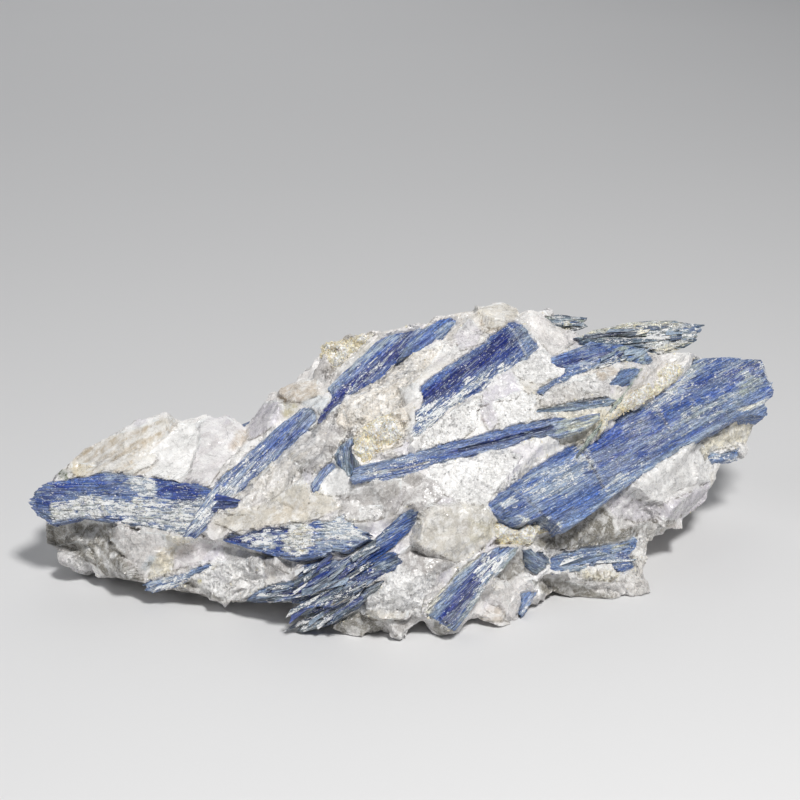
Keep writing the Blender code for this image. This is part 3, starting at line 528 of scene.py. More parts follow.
def under_skyline(p, margin=5.0):
    for _ in range(3):
        d = p - EYE
        w = d @ FWD
        u = 400.0 + FOCAL * (d @ RGT) / w
        limit = at(u, skyline(u) + margin, p[1])
        if p[2] > limit[2]:
            p = np.array((p[0], p[1], limit[2]))
    return p


def add_block(bm, centre, axes, half, turn, seed, hidden=False):
    rnd = random.Random(seed)
    c, s = math.cos(math.radians(turn)), math.sin(math.radians(turn))
    ax = axes[0] * c + axes[1] * s
    ay = axes[1] * c - axes[0] * s
    made = []
    for i in range(20):
        t = (i + 0.5) / 20
        z = 1 - 2 * t
        a = i * 2.399963 + rnd.uniform(-0.5, 0.5)
        r = math.sqrt(max(0.0, 1 - z * z))
        k = rnd.uniform(0.90, 1.12)
        p = centre + ax * (half[0] * k * r * math.cos(a)) + ay * (half[1] * k * r * math.sin(a)) + axes[2] * (half[2] * k * z)
        if hidden:
            p = under_skyline(p)
        made.append(bm.verts.new(Vector(p)))
    bmesh.ops.convex_hull(bm, input=made)
    bmesh.ops.delete(bm, geom=[v for v in made if not v.link_faces], context="VERTS")


def evaluated(obj):
    bpy.context.view_layer.update()
    graph = bpy.context.evaluated_depsgraph_get()
    return bpy.data.meshes.new_from_object(obj.evaluated_get(graph))


def mesh_arrays(mesh):
    co = np.empty(len(mesh.vertices) * 3, np.float32)
    mesh.vertices.foreach_get("co", co)
    no = np.empty(len(mesh.vertices) * 3, np.float32)
    mesh.vertices.foreach_get("normal", no)
    return co.reshape(-1, 3).astype(float), no.reshape(-1, 3).astype(float)


def quartz_base(coarse, facets, voxel):
    """The unbroken quartz body in mm, before its moulds: the CAD model's loft and blocks, cut to plane facets."""
    bm = loft_body()
    for u, v, hw, hh, hd, turn, sink, seed in BLOCKS:
        add_block(bm, at(u, v, face(u, v)) + FWD * sink, (RGT, UPV, FWD), (hw * 0.18, hh * 0.18, hd), turn, seed)
    for x, y, z, hx, hy, hz, turn, seed in BACK_BLOCKS:
        add_block(bm, np.array((x, y - 2.5, z)), (RGT, np.array((0.0, 0, 1)), np.array((0.0, 1, 0))), (hx, hz, hy), turn, seed, True)
    bmesh.ops.recalc_face_normals(bm, faces=bm.faces)
    mesh = bpy.data.meshes.new("core")
    bm.to_mesh(mesh)
    bm.free()
    obj = bpy.data.objects.new("core", mesh)
    bpy.context.scene.collection.objects.link(obj)
    skin = obj.modifiers.new("skin", "REMESH")
    skin.mode = "VOXEL"
    skin.voxel_size = coarse
    plain = evaluated(obj)
    plain.calc_loop_triangles()
    cut = obj.modifiers.new("cut", "DECIMATE")
    cut.ratio = facets / len(plain.loop_triangles)
    again = obj.modifiers.new("again", "REMESH")
    again.mode = "VOXEL"
    again.voxel_size = voxel
    out = evaluated(obj)
    bpy.data.objects.remove(obj)
    return out


# ------------------------------------------------------------------ marks of each crystal
# ("area" | "stroke", kind, points, strength, size): an area's size is its feather, a stroke's its half width (sheet units)
# broken ends seen closer than the CAD model has them
SHAPES = {
    "J": [
        (487, 505), (498, 494), (512, 483), (530, 470), (550, 456), (565, 447), (577, 441), (585, 446), (600, 436),
        (612, 425), (618, 414), (632, 407), (645, 402), (662, 390), (682, 376), (690, 366), (696, 357), (720, 356),
        (740, 356), (763, 358), (766, 364), (768, 374), (775, 386), (774, 395), (766, 400), (769, 407), (768, 415),
        (752, 413), (742, 416), (728, 424), (712, 432), (700, 440), (680, 450), (660, 463), (640, 476), (622, 490),
        (604, 502), (590, 514), (578, 522), (562, 528), (556, 521), (545, 513), (530, 519), (519, 522), (508, 519),
        (498, 514)],
    "E": [
        (421, 384), (440, 369), (460, 357), (480, 343), (500, 328), (508, 320), (516, 319), (524, 324), (532, 334),
        (541, 347), (534, 353), (529, 358), (515, 365), (500, 373), (484, 388), (470, 397), (455, 405), (445, 414),
        (432, 426), (414, 438), (411, 432), (418, 420), (415, 411), (424, 400)],
    "C": [
        (318, 421), (324, 408), (333, 398), (331, 393), (328, 387), (338, 376), (352, 364), (364, 352), (375, 341),
        (386, 334), (400, 331), (414, 328), (426, 325), (423, 334), (414, 344), (405, 352), (398, 360), (391, 369),
        (376, 380), (358, 390), (345, 398), (334, 410), (326, 419)],
    "K": [
        (221, 540), (228, 533), (240, 534), (252, 528), (268, 525), (282, 526), (292, 521), (304, 524), (316, 519), (328, 521),
        (342, 513), (344, 520), (352, 522), (366, 534), (368, 538), (356, 544), (342, 551), (330, 549), (322, 555), (305, 558),
        (290, 559), (275, 556), (255, 550), (238, 545)],
}


CLEAN = {"L": 0.52, "M1": 0.28, "M2": 0.42, "M3": 0.75, "B": 0.78, "J": 0.76, "F": 0.80, "O1": 0.70, "D": 0.80, "N": 0.82, "C": 0.9, "H1": 0.8}
DIM = {"E": 0.90, "L": 0.88, "M1": 0.79, "M2": 0.84, "M3": 0.92, "N": 0.88, "O1": 0.93, "D": 1.12, "J": 1.10, "B": 0.96}
MARKS = {
    "A": ("blue", [
        ("area", "calm", [(40, 486), (98, 474), (124, 480), (120, 492), (80, 496), (44, 500)], 0.7, 5),
        ("area", "deep", [(40, 486), (60, 484), (80, 484), (76, 494), (58, 499), (42, 497)], 0.75, 8),
        ("area", "navy", [(42, 487), (58, 485), (60, 491), (46, 494)], 0.6, 6),
        ("area", "deep", [(98, 478), (122, 481), (118, 490), (96, 488)], 0.5, 6),
        ("area", "pale", [(98, 471), (110, 470), (130, 474), (126, 480), (104, 478)], 0.55, 3),
        ("area", "pale", [(102, 500), (165, 500), (166, 528), (100, 520)], 0.65, 12),
        ("area", "deep", [(157, 482), (180, 483), (202, 487), (200, 499), (180, 500), (160, 495)], 0.85, 3),
        ("area", "navy", [(158, 484), (176, 485), (180, 493), (162, 494)], 0.5, 4),
        ("area", "frost", [(100, 499), (165, 500), (206, 506), (196, 531), (160, 530), (104, 520)], 0.9, 6),
        ("area", "grey", [(128, 503), (170, 503), (196, 508), (190, 528), (150, 526), (126, 520)], 0.8, 6),
        ("area", "crust", [(166, 508), (184, 506), (192, 518), (180, 526), (168, 520)], 0.6, 5),
        ("area", "white", [(128, 476), (146, 478), (156, 484), (155, 494), (142, 497), (131, 490)], 0.95, 2),
        ("area", "crust", [(124, 502), (142, 500), (152, 506), (148, 514), (128, 514)], 0.55, 4),
        ("area", "crust", [(50, 506), (60, 501), (74, 499), (88, 495), (100, 497), (106, 507), (108, 515), (96, 518), (76, 516), (62, 521), (52, 522)], 1.0, 2),
        ("area", "ice", [(106, 505), (126, 503), (128, 517), (108, 517)], 0.6, 6),
        ("area", "grey", [(160, 503), (205, 500), (205, 522), (190, 534), (160, 528)], 0.75, 8),
        ("area", "blue", [(166, 500), (176, 500), (176, 510), (166, 512)], 0.5, 4),
        ("area", "deep", [(207, 499), (212, 494), (225, 495), (240, 499), (236, 507), (222, 511), (208, 512)], 0.95, 2),
        ("stroke", "slate", [(96, 520), (130, 526), (163, 532)], 0.85, 2.6),
        ("stroke", "line", [(124, 491), (150, 496), (188, 505)], 1.0, 0.6),
        ("stroke", "line", [(120, 493), (119, 516)], 0.7, 0.7),
        ("stroke", "line", [(129, 478), (120, 488), (108, 497)], 0.6, 0.6),
    ]),
    "S1": ("sage", [
        ("stroke", "sage", [(640, 368), (612, 407), (580, 450)], 0.8, 0.8),
        ("stroke", "mid", [(640, 376), (616, 410), (598, 432)], 0.5, 0.8),
    ]),
    "B": ("blue", [
        ("area", "calm", [(224, 474), (252, 449), (298, 410), (318, 416), (284, 452), (244, 490)], 0.8, 6),
        ("stroke", "blue", [(238, 478), (262, 455), (288, 430), (305, 417)], 0.9, 5.5),
        ("stroke", "deep", [(250, 474), (276, 448), (296, 430)], 0.55, 3.0),
        ("stroke", "pale", [(212, 487), (232, 467), (252, 449), (272, 431), (296, 410), (310, 409), (317, 418)], 0.6, 2.4),
        ("stroke", "ice", [(243, 491), (262, 472), (284, 452), (300, 438), (317, 422)], 0.6, 1.0),
        ("area", "frost", [(200, 500), (224, 474), (262, 446), (276, 456), (226, 505)], 0.6, 8),
        ("area", "white", [(206, 498), (214, 486), (236, 478), (246, 484), (232, 498), (214, 510)], 0.55, 6),
        ("area", "grey", [(182, 536), (194, 514), (206, 500), (224, 506), (208, 522), (198, 538)], 0.85, 5),
        ("area", "frost", [(184, 536), (198, 510), (212, 488), (240, 480), (238, 496), (208, 522), (198, 538)], 0.95, 5),
    ]),
    "C": ("blue", [
        ("area", "pale", [(326, 388), (336, 375), (364, 352), (386, 334), (410, 329), (396, 339), (380, 349), (362, 362), (346, 375), (332, 391)], 0.85, 3),
        ("area", "sage", [(350, 362), (368, 347), (386, 335), (400, 333), (388, 343), (368, 356), (352, 372)], 0.45, 6),
        ("stroke", "deep", [(320, 420), (332, 404), (348, 389), (366, 375), (384, 360), (398, 348), (412, 337)], 1.0, 7.0),
        ("stroke", "navy", [(320, 420), (332, 403), (349, 388), (366, 375), (384, 360), (398, 348), (412, 337)], 1.0, 4.4),
        ("stroke", "pale", [(398, 348), (408, 338), (422, 328)], 0.4, 2.0),
        ("area", "frost", [(330, 402), (350, 380), (380, 360), (388, 366), (350, 396)], 0.4, 6),
        ("stroke", "white", [(380, 366), (392, 352), (402, 344)], 0.5, 1.2),
    ]),
    "D": ("blue", [
        ("area", "mid", [(430, 324), (446, 318), (459, 317), (455, 326), (444, 334), (432, 334)], 0.8, 4),
        ("stroke", "ice", [(438, 330), (448, 322), (456, 320)], 0.8, 1.4),
        ("stroke", "pale", [(404, 352), (414, 340), (428, 328)], 0.6, 1.4),
        ("stroke", "deep", [(406, 352), (418, 344), (430, 338)], 0.6, 2.4),
        ("area", "slate", [(402, 350), (412, 344), (426, 343), (424, 348), (406, 355)], 0.5, 4),
        ("area", "sage", [(340, 360), (500, 300), (520, 330), (360, 440)], 0.22, 8),
    ]),
    "E": ("blue", [
        ("area", "frost", [(412, 430), (430, 412), (452, 400), (470, 396), (446, 416), (420, 437)], 1.0, 5),
        ("area", "calm", [(421, 386), (440, 369), (480, 343), (508, 321), (520, 345), (486, 372), (440, 404), (418, 416)], 1.0, 4),
        ("area", "mid", [(424, 386), (440, 369), (480, 343), (508, 321), (510, 325), (486, 342), (452, 367), (430, 386)], 0.6, 3),
        ("stroke", "deep", [(430, 398), (454, 380), (480, 362), (512, 342)], 1.0, 9.0),
        ("stroke", "navy", [(432, 394), (456, 377), (480, 358), (506, 337)], 1.0, 6.5),
        ("area", "ice", [(420, 420), (440, 408), (470, 388), (500, 366), (524, 354), (528, 358), (500, 374), (470, 397), (440, 418), (420, 436)], 0.55, 6),
        ("area", "frost", [(420, 412), (450, 394), (480, 376), (506, 362), (502, 374), (470, 396), (436, 420), (420, 434)], 0.9, 5),
        ("area", "mid", [(516, 322), (528, 330), (537, 340), (531, 352), (524, 350), (518, 334)], 0.8, 3),
        ("area", "navy", [(514, 323), (522, 327), (526, 336), (520, 336)], 0.7, 2),
        ("stroke", "line", [(507, 323), (513, 329), (519, 340), (526, 354)], 1.0, 1.1),
        ("stroke", "line", [(512, 320), (519, 328), (524, 338)], 0.6, 0.6),
        ("stroke", "line", [(444, 384), (450, 394)], 0.45, 0.5),
        ("stroke", "line", [(436, 388), (441, 398)], 0.45, 0.5),
        ("stroke", "line", [(428, 402), (446, 390)], 0.45, 0.5),
        ("stroke", "line", [(432, 408), (450, 396)], 0.35, 0.5),
        ("stroke", "white", [(470, 398), (484, 390), (498, 380)], 0.9, 1.3),
        ("stroke", "ice", [(440, 426), (452, 418), (462, 408)], 0.8, 1.2),
        ("stroke", "white", [(500, 372), (510, 366)], 0.8, 1.0),
        ("area", "frost", [(424, 438), (430, 426), (450, 410), (476, 392), (500, 374), (516, 362), (520, 356), (504, 362), (474, 386), (446, 408), (424, 428), (420, 434)], 0.5, 3),
    ]),
    "F": ("blue", [
        ("stroke", "mid", [(366, 466), (400, 458), (450, 444), (510, 428), (550, 419)], 0.55, 3.0),
        ("stroke", "navy", [(452, 452), (480, 445), (520, 435), (553, 427)], 0.9, 2.4),
        ("stroke", "slate", [(460, 449), (500, 440), (552, 425)], 0.6, 1.0),
        ("stroke", "groove", [(460, 450), (500, 441), (552, 426)], 1.0, 1.6),
        ("stroke", "cream", [(362, 474), (385, 471), (406, 468), (428, 462)], 0.75, 1.2),
        ("stroke", "groove", [(362, 474), (385, 471), (406, 468), (428, 462)], 0.5, 1.4),
        ("stroke", "line", [(474, 457), (500, 451), (530, 441)], 0.8, 0.7),
        ("area", "sage", [(553, 416), (575, 417), (602, 412), (602, 421), (584, 431), (560, 438)], 0.85, 5),
        ("area", "cream", [(566, 420), (590, 416), (600, 419), (584, 430), (570, 434)], 0.6, 6),
        ("area", "frost", [(360, 468), (430, 448), (450, 444), (440, 462), (400, 476), (362, 480)], 0.45, 5),
        ("area", "slate", [(428, 450), (446, 446), (444, 460), (430, 464)], 0.4, 5),
        ("stroke", "ice", [(376, 480), (400, 477), (424, 470)], 0.5, 1.0),
    ]),
    "Fcap": ("slate", [
        ("stroke", "pale", [(335, 462), (335, 452), (342, 444), (352, 436)], 0.6, 1.8),
        ("stroke", "blue", [(340, 464), (342, 452), (350, 442)], 0.5, 2.6),
        ("stroke", "black", [(352, 446), (352, 458), (358, 468), (356, 478)], 0.8, 2.6),
        ("stroke", "brown", [(354, 448), (357, 458), (360, 466)], 0.7, 1.4),
        ("stroke", "line", [(345, 470), (352, 478)], 0.4, 0.8),
    ]),
    "G": ("blue", [
        ("stroke", "ice", [(312, 488), (320, 474), (330, 464)], 0.7, 0.9),
        ("stroke", "pale", [(316, 490), (322, 480), (332, 470)], 0.6, 1.0),
    ]),
    "H2": ("slate", [
        ("area", "crust", [(590, 334), (612, 329), (640, 324), (676, 321), (690, 325), (676, 330), (640, 333), (606, 338)], 0.9, 4),
        ("area", "crust", [(648, 342), (668, 344), (684, 345), (664, 354), (652, 350)], 0.8, 4),
        ("area", "dark", [(618, 334), (640, 330), (668, 333), (664, 341), (640, 338), (620, 342)], 0.9, 5),
        ("area", "navy", [(684, 323), (706, 325), (700, 333), (686, 330)], 0.6, 5),
        ("area", "frost", [(600, 330), (700, 326), (690, 345), (620, 344)], 0.9, 8),
        ("area", "sage", [(580, 332), (612, 326), (650, 320), (706, 324), (700, 336), (676, 340), (630, 336), (590, 338)], 0.75, 8),
        ("stroke", "cream", [(586, 333), (612, 329), (650, 323), (690, 325)], 0.9, 3.4),
        ("stroke", "olive", [(600, 331), (640, 325), (676, 324)], 0.4, 1.4),
        ("stroke", "pale", [(586, 338), (620, 334), (660, 332), (696, 331)], 0.55, 2.0),
        ("stroke", "slate", [(596, 342), (630, 339), (668, 337), (700, 330)], 0.7, 2.2),
        ("area", "cream", [(650, 338), (676, 340), (698, 338), (686, 348), (664, 356), (648, 350)], 1.0, 4),
        ("stroke", "olive", [(656, 345), (676, 346), (690, 342)], 0.5, 1.4),
        ("area", "mid", [(680, 322), (706, 324), (700, 335), (690, 334)], 0.6, 5),
        ("stroke", "crack", [(642, 333), (646, 344), (655, 351), (661, 361)], 1.0, 0.7),
        ("stroke", "crack", [(645, 328), (643, 336)], 0.8, 0.5),
        ("area", "frost", [(590, 336), (640, 330), (690, 328), (680, 350), (610, 346)], 0.35, 8),
    ]),
    "H1": ("mid", [
        ("area", "crust", [(600, 364), (616, 360), (634, 361), (628, 367), (608, 371), (596, 372)], 0.8, 4),
        ("area", "frost", [(556, 372), (600, 356), (640, 352), (636, 358), (580, 372), (552, 386)], 0.45, 8),
        ("area", "deep", [(590, 344), (616, 343), (634, 348), (616, 351), (596, 350)], 0.7, 4),
        ("area", "blue", [(550, 358), (575, 348), (600, 342), (630, 346), (640, 352), (604, 352), (575, 362), (556, 364)], 0.75, 5),
        ("stroke", "pale", [(552, 359), (580, 349), (610, 343), (640, 350)], 0.4, 1.2),
        ("area", "sage", [(616, 346), (640, 349), (658, 360), (640, 362), (620, 358)], 0.8, 5),
        ("stroke", "blue", [(536, 393), (552, 382), (568, 372), (600, 358)], 0.8, 3.2),
        ("stroke", "pale", [(534, 394), (556, 378), (575, 366), (606, 352)], 0.55, 0.9),
        ("area", "deep", [(553, 359), (580, 351), (604, 348), (600, 354), (580, 360), (560, 366)], 0.6, 5),
        ("area", "white", [(580, 364), (598, 357), (610, 356), (604, 362), (586, 370)], 0.45, 5),
        ("area", "frost", [(570, 370), (600, 356), (630, 354), (622, 361), (586, 372)], 0.5, 6),
        ("stroke", "navy", [(556, 367), (576, 360), (598, 354), (618, 352)], 0.8, 1.8),
        ("stroke", "crack", [(650, 351), (656, 357), (660, 362)], 0.9, 0.6),
    ]),
    "I1": ("mid", [
        ("area", "slate", [(612, 383), (618, 376), (630, 371), (640, 370), (632, 380), (620, 384)], 0.7, 3),
        ("stroke", "sage", [(620, 369), (634, 367), (644, 367), (641, 373), (634, 381)], 0.8, 1.3),
    ]),
    "I2": ("slate", [
        # the brown stroke along I2's upper edge is a painted shadow cast by the blade above it
        ("stroke", "brown", [(545, 408), (575, 402), (606, 397)], 0.7, 1.5),
        ("stroke", "pale", [(536, 412), (560, 411), (596, 407), (612, 402)], 0.6, 1.4),
        ("area", "mid", [(575, 406), (600, 401), (614, 401), (604, 406), (584, 410)], 0.6, 4),
    ]),
    "J": ("blue", [
        ("area", "deep", [(598, 440), (616, 425), (640, 412), (644, 422), (622, 440), (606, 456)], 0.4, 6),
        ("area", "navy", [(616, 420), (632, 412), (640, 414), (626, 424)], 0.25, 4),
        ("area", "crust", [(574, 443), (584, 444), (592, 456), (598, 470), (590, 470), (578, 456)], 0.9, 3),
        ("area", "grey", [(640, 440), (668, 424), (700, 408), (712, 414), (680, 434), (650, 452)], 0.55, 8),
        ("area", "frost", [(620, 404), (650, 398), (676, 384), (690, 370), (676, 372), (640, 396)], 1.0, 5),
        ("area", "grey", [(560, 470), (600, 452), (640, 440), (636, 452), (600, 470), (566, 484)], 0.5, 8),
        ("area", "white", [(628, 424), (646, 418), (654, 428), (640, 436), (626, 434)], 0.45, 6),
        ("area", "mid", [(497, 503), (530, 473), (577, 442), (600, 470), (590, 512), (560, 526), (520, 520), (500, 512)], 0.35, 10),
        ("area", "deep", [(588, 446), (612, 430), (640, 412), (664, 400), (662, 416), (640, 436), (616, 452), (600, 466)], 0.38, 10),
        ("area", "violet", [(608, 450), (640, 428), (668, 420), (672, 440), (640, 460), (612, 476)], 0.50, 10),
        ("stroke", "sage", [(672, 430), (700, 412), (740, 390), (764, 378)], 0.45, 2.6),
        ("stroke", "violet", [(650, 412), (690, 388), (730, 372), (760, 366)], 0.45, 3.0),
        ("stroke", "pale", [(600, 470), (640, 446), (680, 424), (716, 404)], 0.45, 2.2),
        ("stroke", "slate", [(640, 462), (680, 438), (720, 414), (752, 396)], 0.40, 2.0),
        ("stroke", "ice", [(650, 452), (690, 428), (726, 408)], 0.50, 1.3),
        ("area", "deep", [(636, 468), (660, 452), (690, 436), (700, 436), (664, 458), (640, 474)], 0.55, 5),
        ("area", "deep", [(500, 512), (520, 512), (545, 510), (540, 517), (510, 519)], 0.55, 5),
        ("area", "deep", [(672, 386), (690, 372), (716, 366), (728, 370), (706, 386), (684, 398)], 0.35, 8),
        ("area", "violet", [(728, 372), (744, 362), (762, 360), (764, 372), (744, 382), (730, 384)], 0.6, 6),
        ("area", "blue", [(508, 488), (540, 466), (560, 456), (562, 462), (530, 484), (512, 496)], 0.5, 6),
        ("stroke", "ice", [(580, 470), (545, 492), (530, 500)], 0.55, 5.0),
        ("area", "frost", [(520, 486), (560, 462), (590, 466), (590, 478), (556, 500), (534, 502)], 0.60, 8),
        ("area", "pale", [(524, 486), (560, 464), (588, 466), (586, 478), (556, 496), (534, 500)], 0.55, 8),
        ("area", "frost", [(604, 486), (630, 470), (650, 456), (646, 470), (620, 488), (606, 496)], 0.55, 5),
        ("area", "pale", [(604, 486), (630, 470), (650, 456), (646, 470), (620, 488), (606, 496)], 0.6, 5),
        ("stroke", "white", [(607, 486), (628, 473)], 0.7, 1.6),
        ("area", "frost", [(682, 412), (704, 400), (728, 390), (742, 392), (720, 410), (690, 428), (680, 428)], 0.50, 6),
        ("stroke", "pale", [(682, 422), (706, 408), (736, 393)], 0.8, 1.2),
        ("stroke", "deep", [(686, 418), (708, 404), (730, 394)], 0.6, 0.9),
        ("stroke", "pale", [(690, 430), (716, 414), (742, 400)], 0.7, 1.0),
        ("stroke", "deep", [(690, 436), (716, 420), (744, 406)], 0.6, 1.2),
        ("area", "sage", [(684, 414), (706, 402), (726, 394), (734, 398), (712, 412), (690, 424)], 0.5, 7),
        ("area", "white", [(648, 398), (666, 386), (690, 366), (698, 366), (692, 380), (668, 394), (652, 404)], 0.7, 5),
        ("area", "sage", [(676, 378), (692, 362), (706, 360), (704, 370), (688, 380), (676, 386)], 0.7, 6),
        ("area", "frost", [(640, 406), (664, 390), (690, 374), (700, 384), (676, 400), (650, 414)], 0.7, 6),
        ("area", "frost", [(706, 366), (740, 360), (764, 364), (760, 382), (726, 384)], 0.5, 8),
        ("stroke", "mid", [(572, 524), (590, 511), (604, 499), (622, 487), (640, 473), (660, 460), (700, 437), (742, 413), (766, 412)], 0.7, 4.5),
        ("stroke", "pale", [(566, 527), (590, 512), (604, 500), (622, 488), (640, 474), (680, 448), (712, 430)], 0.55, 1.8),
        ("area", "mid", [(724, 396), (745, 388), (768, 384), (770, 400), (766, 412), (744, 414), (726, 420)], 0.7, 6),
        ("area", "sage", [(742, 376), (758, 374), (766, 382), (752, 390), (738, 392)], 0.8, 4),
        ("stroke", "cream", [(768, 399), (756, 406), (740, 409)], 0.8, 2.2),
        ("stroke", "white", [(756, 359), (764, 366), (769, 377), (773, 387)], 0.9, 1.6),
        ("stroke", "pale", [(700, 358), (730, 357), (760, 359)], 0.4, 1.6),
        ("area", "ice", [(499, 503), (513, 496), (518, 500), (504, 508)], 1.0, 1.2),
        ("area", "white", [(499, 503), (513, 496), (518, 500), (504, 508)], 1.0, 1.0),
        ("area", "slate", [(496, 503), (500, 495), (503, 502), (512, 512), (516, 520), (504, 518)], 0.85, 3),
        ("area", "crust", [(512, 518), (540, 514), (556, 522), (560, 527), (548, 524), (530, 521)], 0.5, 4),
        ("stroke", "line", [(577, 443), (586, 452), (590, 460), (597, 472), (604, 486)], 1.0, 1.5),
        ("stroke", "line", [(580, 446), (592, 458), (600, 470)], 0.7, 0.7),
        ("stroke", "groove", [(577, 443), (586, 452), (590, 460), (597, 472), (604, 486)], 0.8, 1.4),
        ("stroke", "line", [(512, 487), (522, 494), (538, 507), (556, 522)], 0.9, 0.8),
        ("stroke", "groove", [(512, 487), (522, 494), (538, 507), (556, 522)], 0.6, 1.0),
        ("stroke", "line", [(679, 384), (688, 393), (697, 404)], 0.5, 0.8),
        ("stroke", "grey", [(644, 402), (658, 410), (666, 420), (672, 432)], 0.7, 1.6),
        ("stroke", "groove", [(658, 408), (667, 420), (673, 432)], 0.5, 1.4),
        ("stroke", "line", [(722, 388), (736, 398), (742, 410)], 0.5, 0.9),
        ("stroke", "slate", [(734, 400), (744, 402)], 0.6, 2.0),
    ]),
    "J2": ("mid", [
        ("stroke", "slate", [(708, 458), (722, 456), (740, 450)], 0.7, 1.2),
        ("stroke", "ice", [(712, 453), (726, 453), (740, 448)], 0.6, 0.9),
        ("area", "frost", [(706, 452), (741, 446), (740, 460), (712, 464)], 0.5, 4),
    ]),
    "K": ("blue", [
        ("area", "navy", [(224, 540), (232, 532), (262, 527), (288, 525), (284, 534), (256, 541), (240, 544)], 0.9, 3),
        ("stroke", "dark", [(224, 537), (246, 531), (266, 528), (288, 527)], 0.85, 2.4),
        ("area", "deep", [(236, 542), (262, 538), (284, 540), (284, 548), (262, 549), (244, 547)], 0.7, 4),
        ("area", "frost", [(240, 536), (276, 530), (286, 540), (268, 548), (246, 544)], 0.9, 5),
        ("stroke", "white", [(242, 538), (258, 534), (276, 536)], 0.7, 1.0),
        ("stroke", "white", [(250, 545), (268, 543), (284, 546)], 0.6, 0.9),
        ("area", "ice", [(318, 522), (340, 516), (352, 523), (366, 535), (356, 546), (338, 552), (318, 553)], 1.0, 4),
        ("area", "white", [(320, 522), (342, 516), (356, 526), (362, 536), (344, 538), (326, 534)], 0.8, 4),
        ("area", "frost", [(322, 520), (342, 515), (364, 536), (352, 544), (326, 548)], 0.8, 4),
        ("stroke", "deep", [(322, 541), (336, 538), (350, 542), (358, 541)], 0.9, 2.0),
        ("stroke", "cobalt", [(320, 548), (336, 545), (348, 547)], 0.7, 1.8),
        ("area", "crust", [(284, 530), (292, 521), (306, 524), (320, 530), (318, 546), (304, 556), (290, 556), (282, 544)], 1.0, 4),
        ("area", "cream", [(286, 532), (300, 526), (316, 532), (314, 546), (298, 553), (286, 546)], 0.85, 4),
        ("stroke", "gold", [(300, 536), (304, 546), (300, 554)], 0.7, 2.4),
        ("stroke", "cobalt", [(228, 543), (250, 549), (280, 555), (312, 556)], 0.8, 1.6),
        ("stroke", "dark", [(222, 541), (240, 548), (262, 553), (290, 558), (330, 555), (360, 547), (368, 539)], 0.5, 0.8),
    ]),
    "L": ("blue", [
        ("area", "calm", [(360, 556), (380, 543), (398, 528), (408, 518), (412, 524), (400, 540), (378, 556), (362, 566)], 1.0, 3),
        ("stroke", "cobalt", [(362, 562), (380, 551), (396, 538), (409, 523)], 1.0, 5.0),
        ("stroke", "deep", [(366, 558), (384, 546), (400, 532)], 0.5, 3.0),
        ("stroke", "slate", [(374, 538), (386, 528), (400, 514)], 0.7, 2.6),
        ("stroke", "pale", [(380, 538), (394, 525), (408, 508)], 0.65, 1.3),
        ("area", "slate", [(402, 512), (411, 504), (416, 512), (414, 520), (407, 519)], 0.95, 1.5),
        ("stroke", "black", [(411, 505), (416, 513), (415, 521)], 0.9, 0.9),
        ("area", "dark", [(296, 564), (320, 561), (352, 556), (372, 545), (378, 548), (352, 564), (330, 572), (304, 576)], 0.8, 5),
        ("area", "frost", [(300, 562), (340, 558), (370, 546), (384, 528), (398, 518), (392, 534), (360, 562), (330, 580), (304, 584)], 0.7, 6),
        ("stroke", "deep", [(300, 586), (320, 576), (342, 570)], 0.8, 4.0),
        ("stroke", "ice", [(300, 588), (318, 580), (338, 572)], 0.6, 1.0),
    ]),
    "M1": ("slate", [
        ("stroke", "blue", [(250, 598), (268, 590), (290, 586)], 0.7, 4.0),
        ("area", "frost", [(250, 598), (276, 584), (300, 584), (296, 600)], 0.6, 4),
        ("stroke", "dark", [(250, 600), (276, 598), (300, 598)], 0.5, 1.6),
    ]),
    "M2": ("blue", [
        ("stroke", "deep", [(306, 594), (336, 586), (356, 574)], 0.7, 5.0),
        ("stroke", "pale", [(320, 600), (350, 586), (380, 566)], 0.7, 2.0),
        ("stroke", "white", [(336, 596), (360, 580), (384, 562)], 0.6, 1.4),
        ("area", "slate", [(372, 566), (386, 553), (392, 551), (398, 560), (390, 570), (378, 576)], 0.85, 4),
        ("area", "black", [(386, 556), (393, 553), (397, 560), (391, 566)], 0.6, 3),
        ("area", "frost", [(300, 598), (340, 584), (380, 560), (388, 568), (350, 592), (320, 604)], 0.8, 6),
        ("area", "cream", [(326, 604), (340, 598), (352, 598), (344, 604), (332, 608)], 0.8, 4),
        ("stroke", "dark", [(292, 600), (312, 598), (334, 592)], 0.6, 2.0),
    ]),
    "M3": ("dark", [
        ("stroke", "slate", [(330, 618), (350, 606), (372, 588)], 0.7, 2.4),
        ("stroke", "grey", [(352, 604), (366, 594), (380, 583)], 0.7, 1.4),
        ("area", "cream", [(324, 606), (338, 602), (352, 602), (346, 610), (332, 614)], 0.85, 4),
        ("area", "pale", [(296, 630), (304, 624), (318, 622), (322, 627), (306, 632)], 0.5, 4),
        ("area", "frost", [(300, 604), (330, 606), (350, 604), (340, 618), (310, 630), (300, 630)], 0.9, 5),
    ]),
    "N": ("mid", [
        ("area", "calm", [(427, 612), (444, 588), (470, 562), (488, 556), (474, 590), (456, 624)], 0.9, 4),
        ("stroke", "cream", [(424, 613), (440, 590), (456, 571), (478, 555)], 0.95, 4.5),
        ("stroke", "olive", [(426, 610), (442, 588), (458, 570)], 0.35, 2.0),
        ("stroke", "pale", [(433, 616), (450, 592), (466, 574), (484, 558)], 0.6, 3.4),
        ("stroke", "deep", [(446, 622), (462, 598), (478, 576), (492, 560)], 1.0, 8.5),
        ("stroke", "navy", [(448, 620), (462, 600), (476, 580), (486, 566)], 1.0, 6.2),
        ("stroke", "dark", [(452, 616), (464, 598), (472, 586)], 0.5, 1.6),
        ("area", "navy", [(474, 576), (480, 564), (494, 558), (498, 564), (488, 574), (480, 580)], 0.8, 2),
        ("area", "frost", [(474, 572), (484, 556), (506, 550), (508, 560), (494, 576), (480, 584)], 1.0, 4),
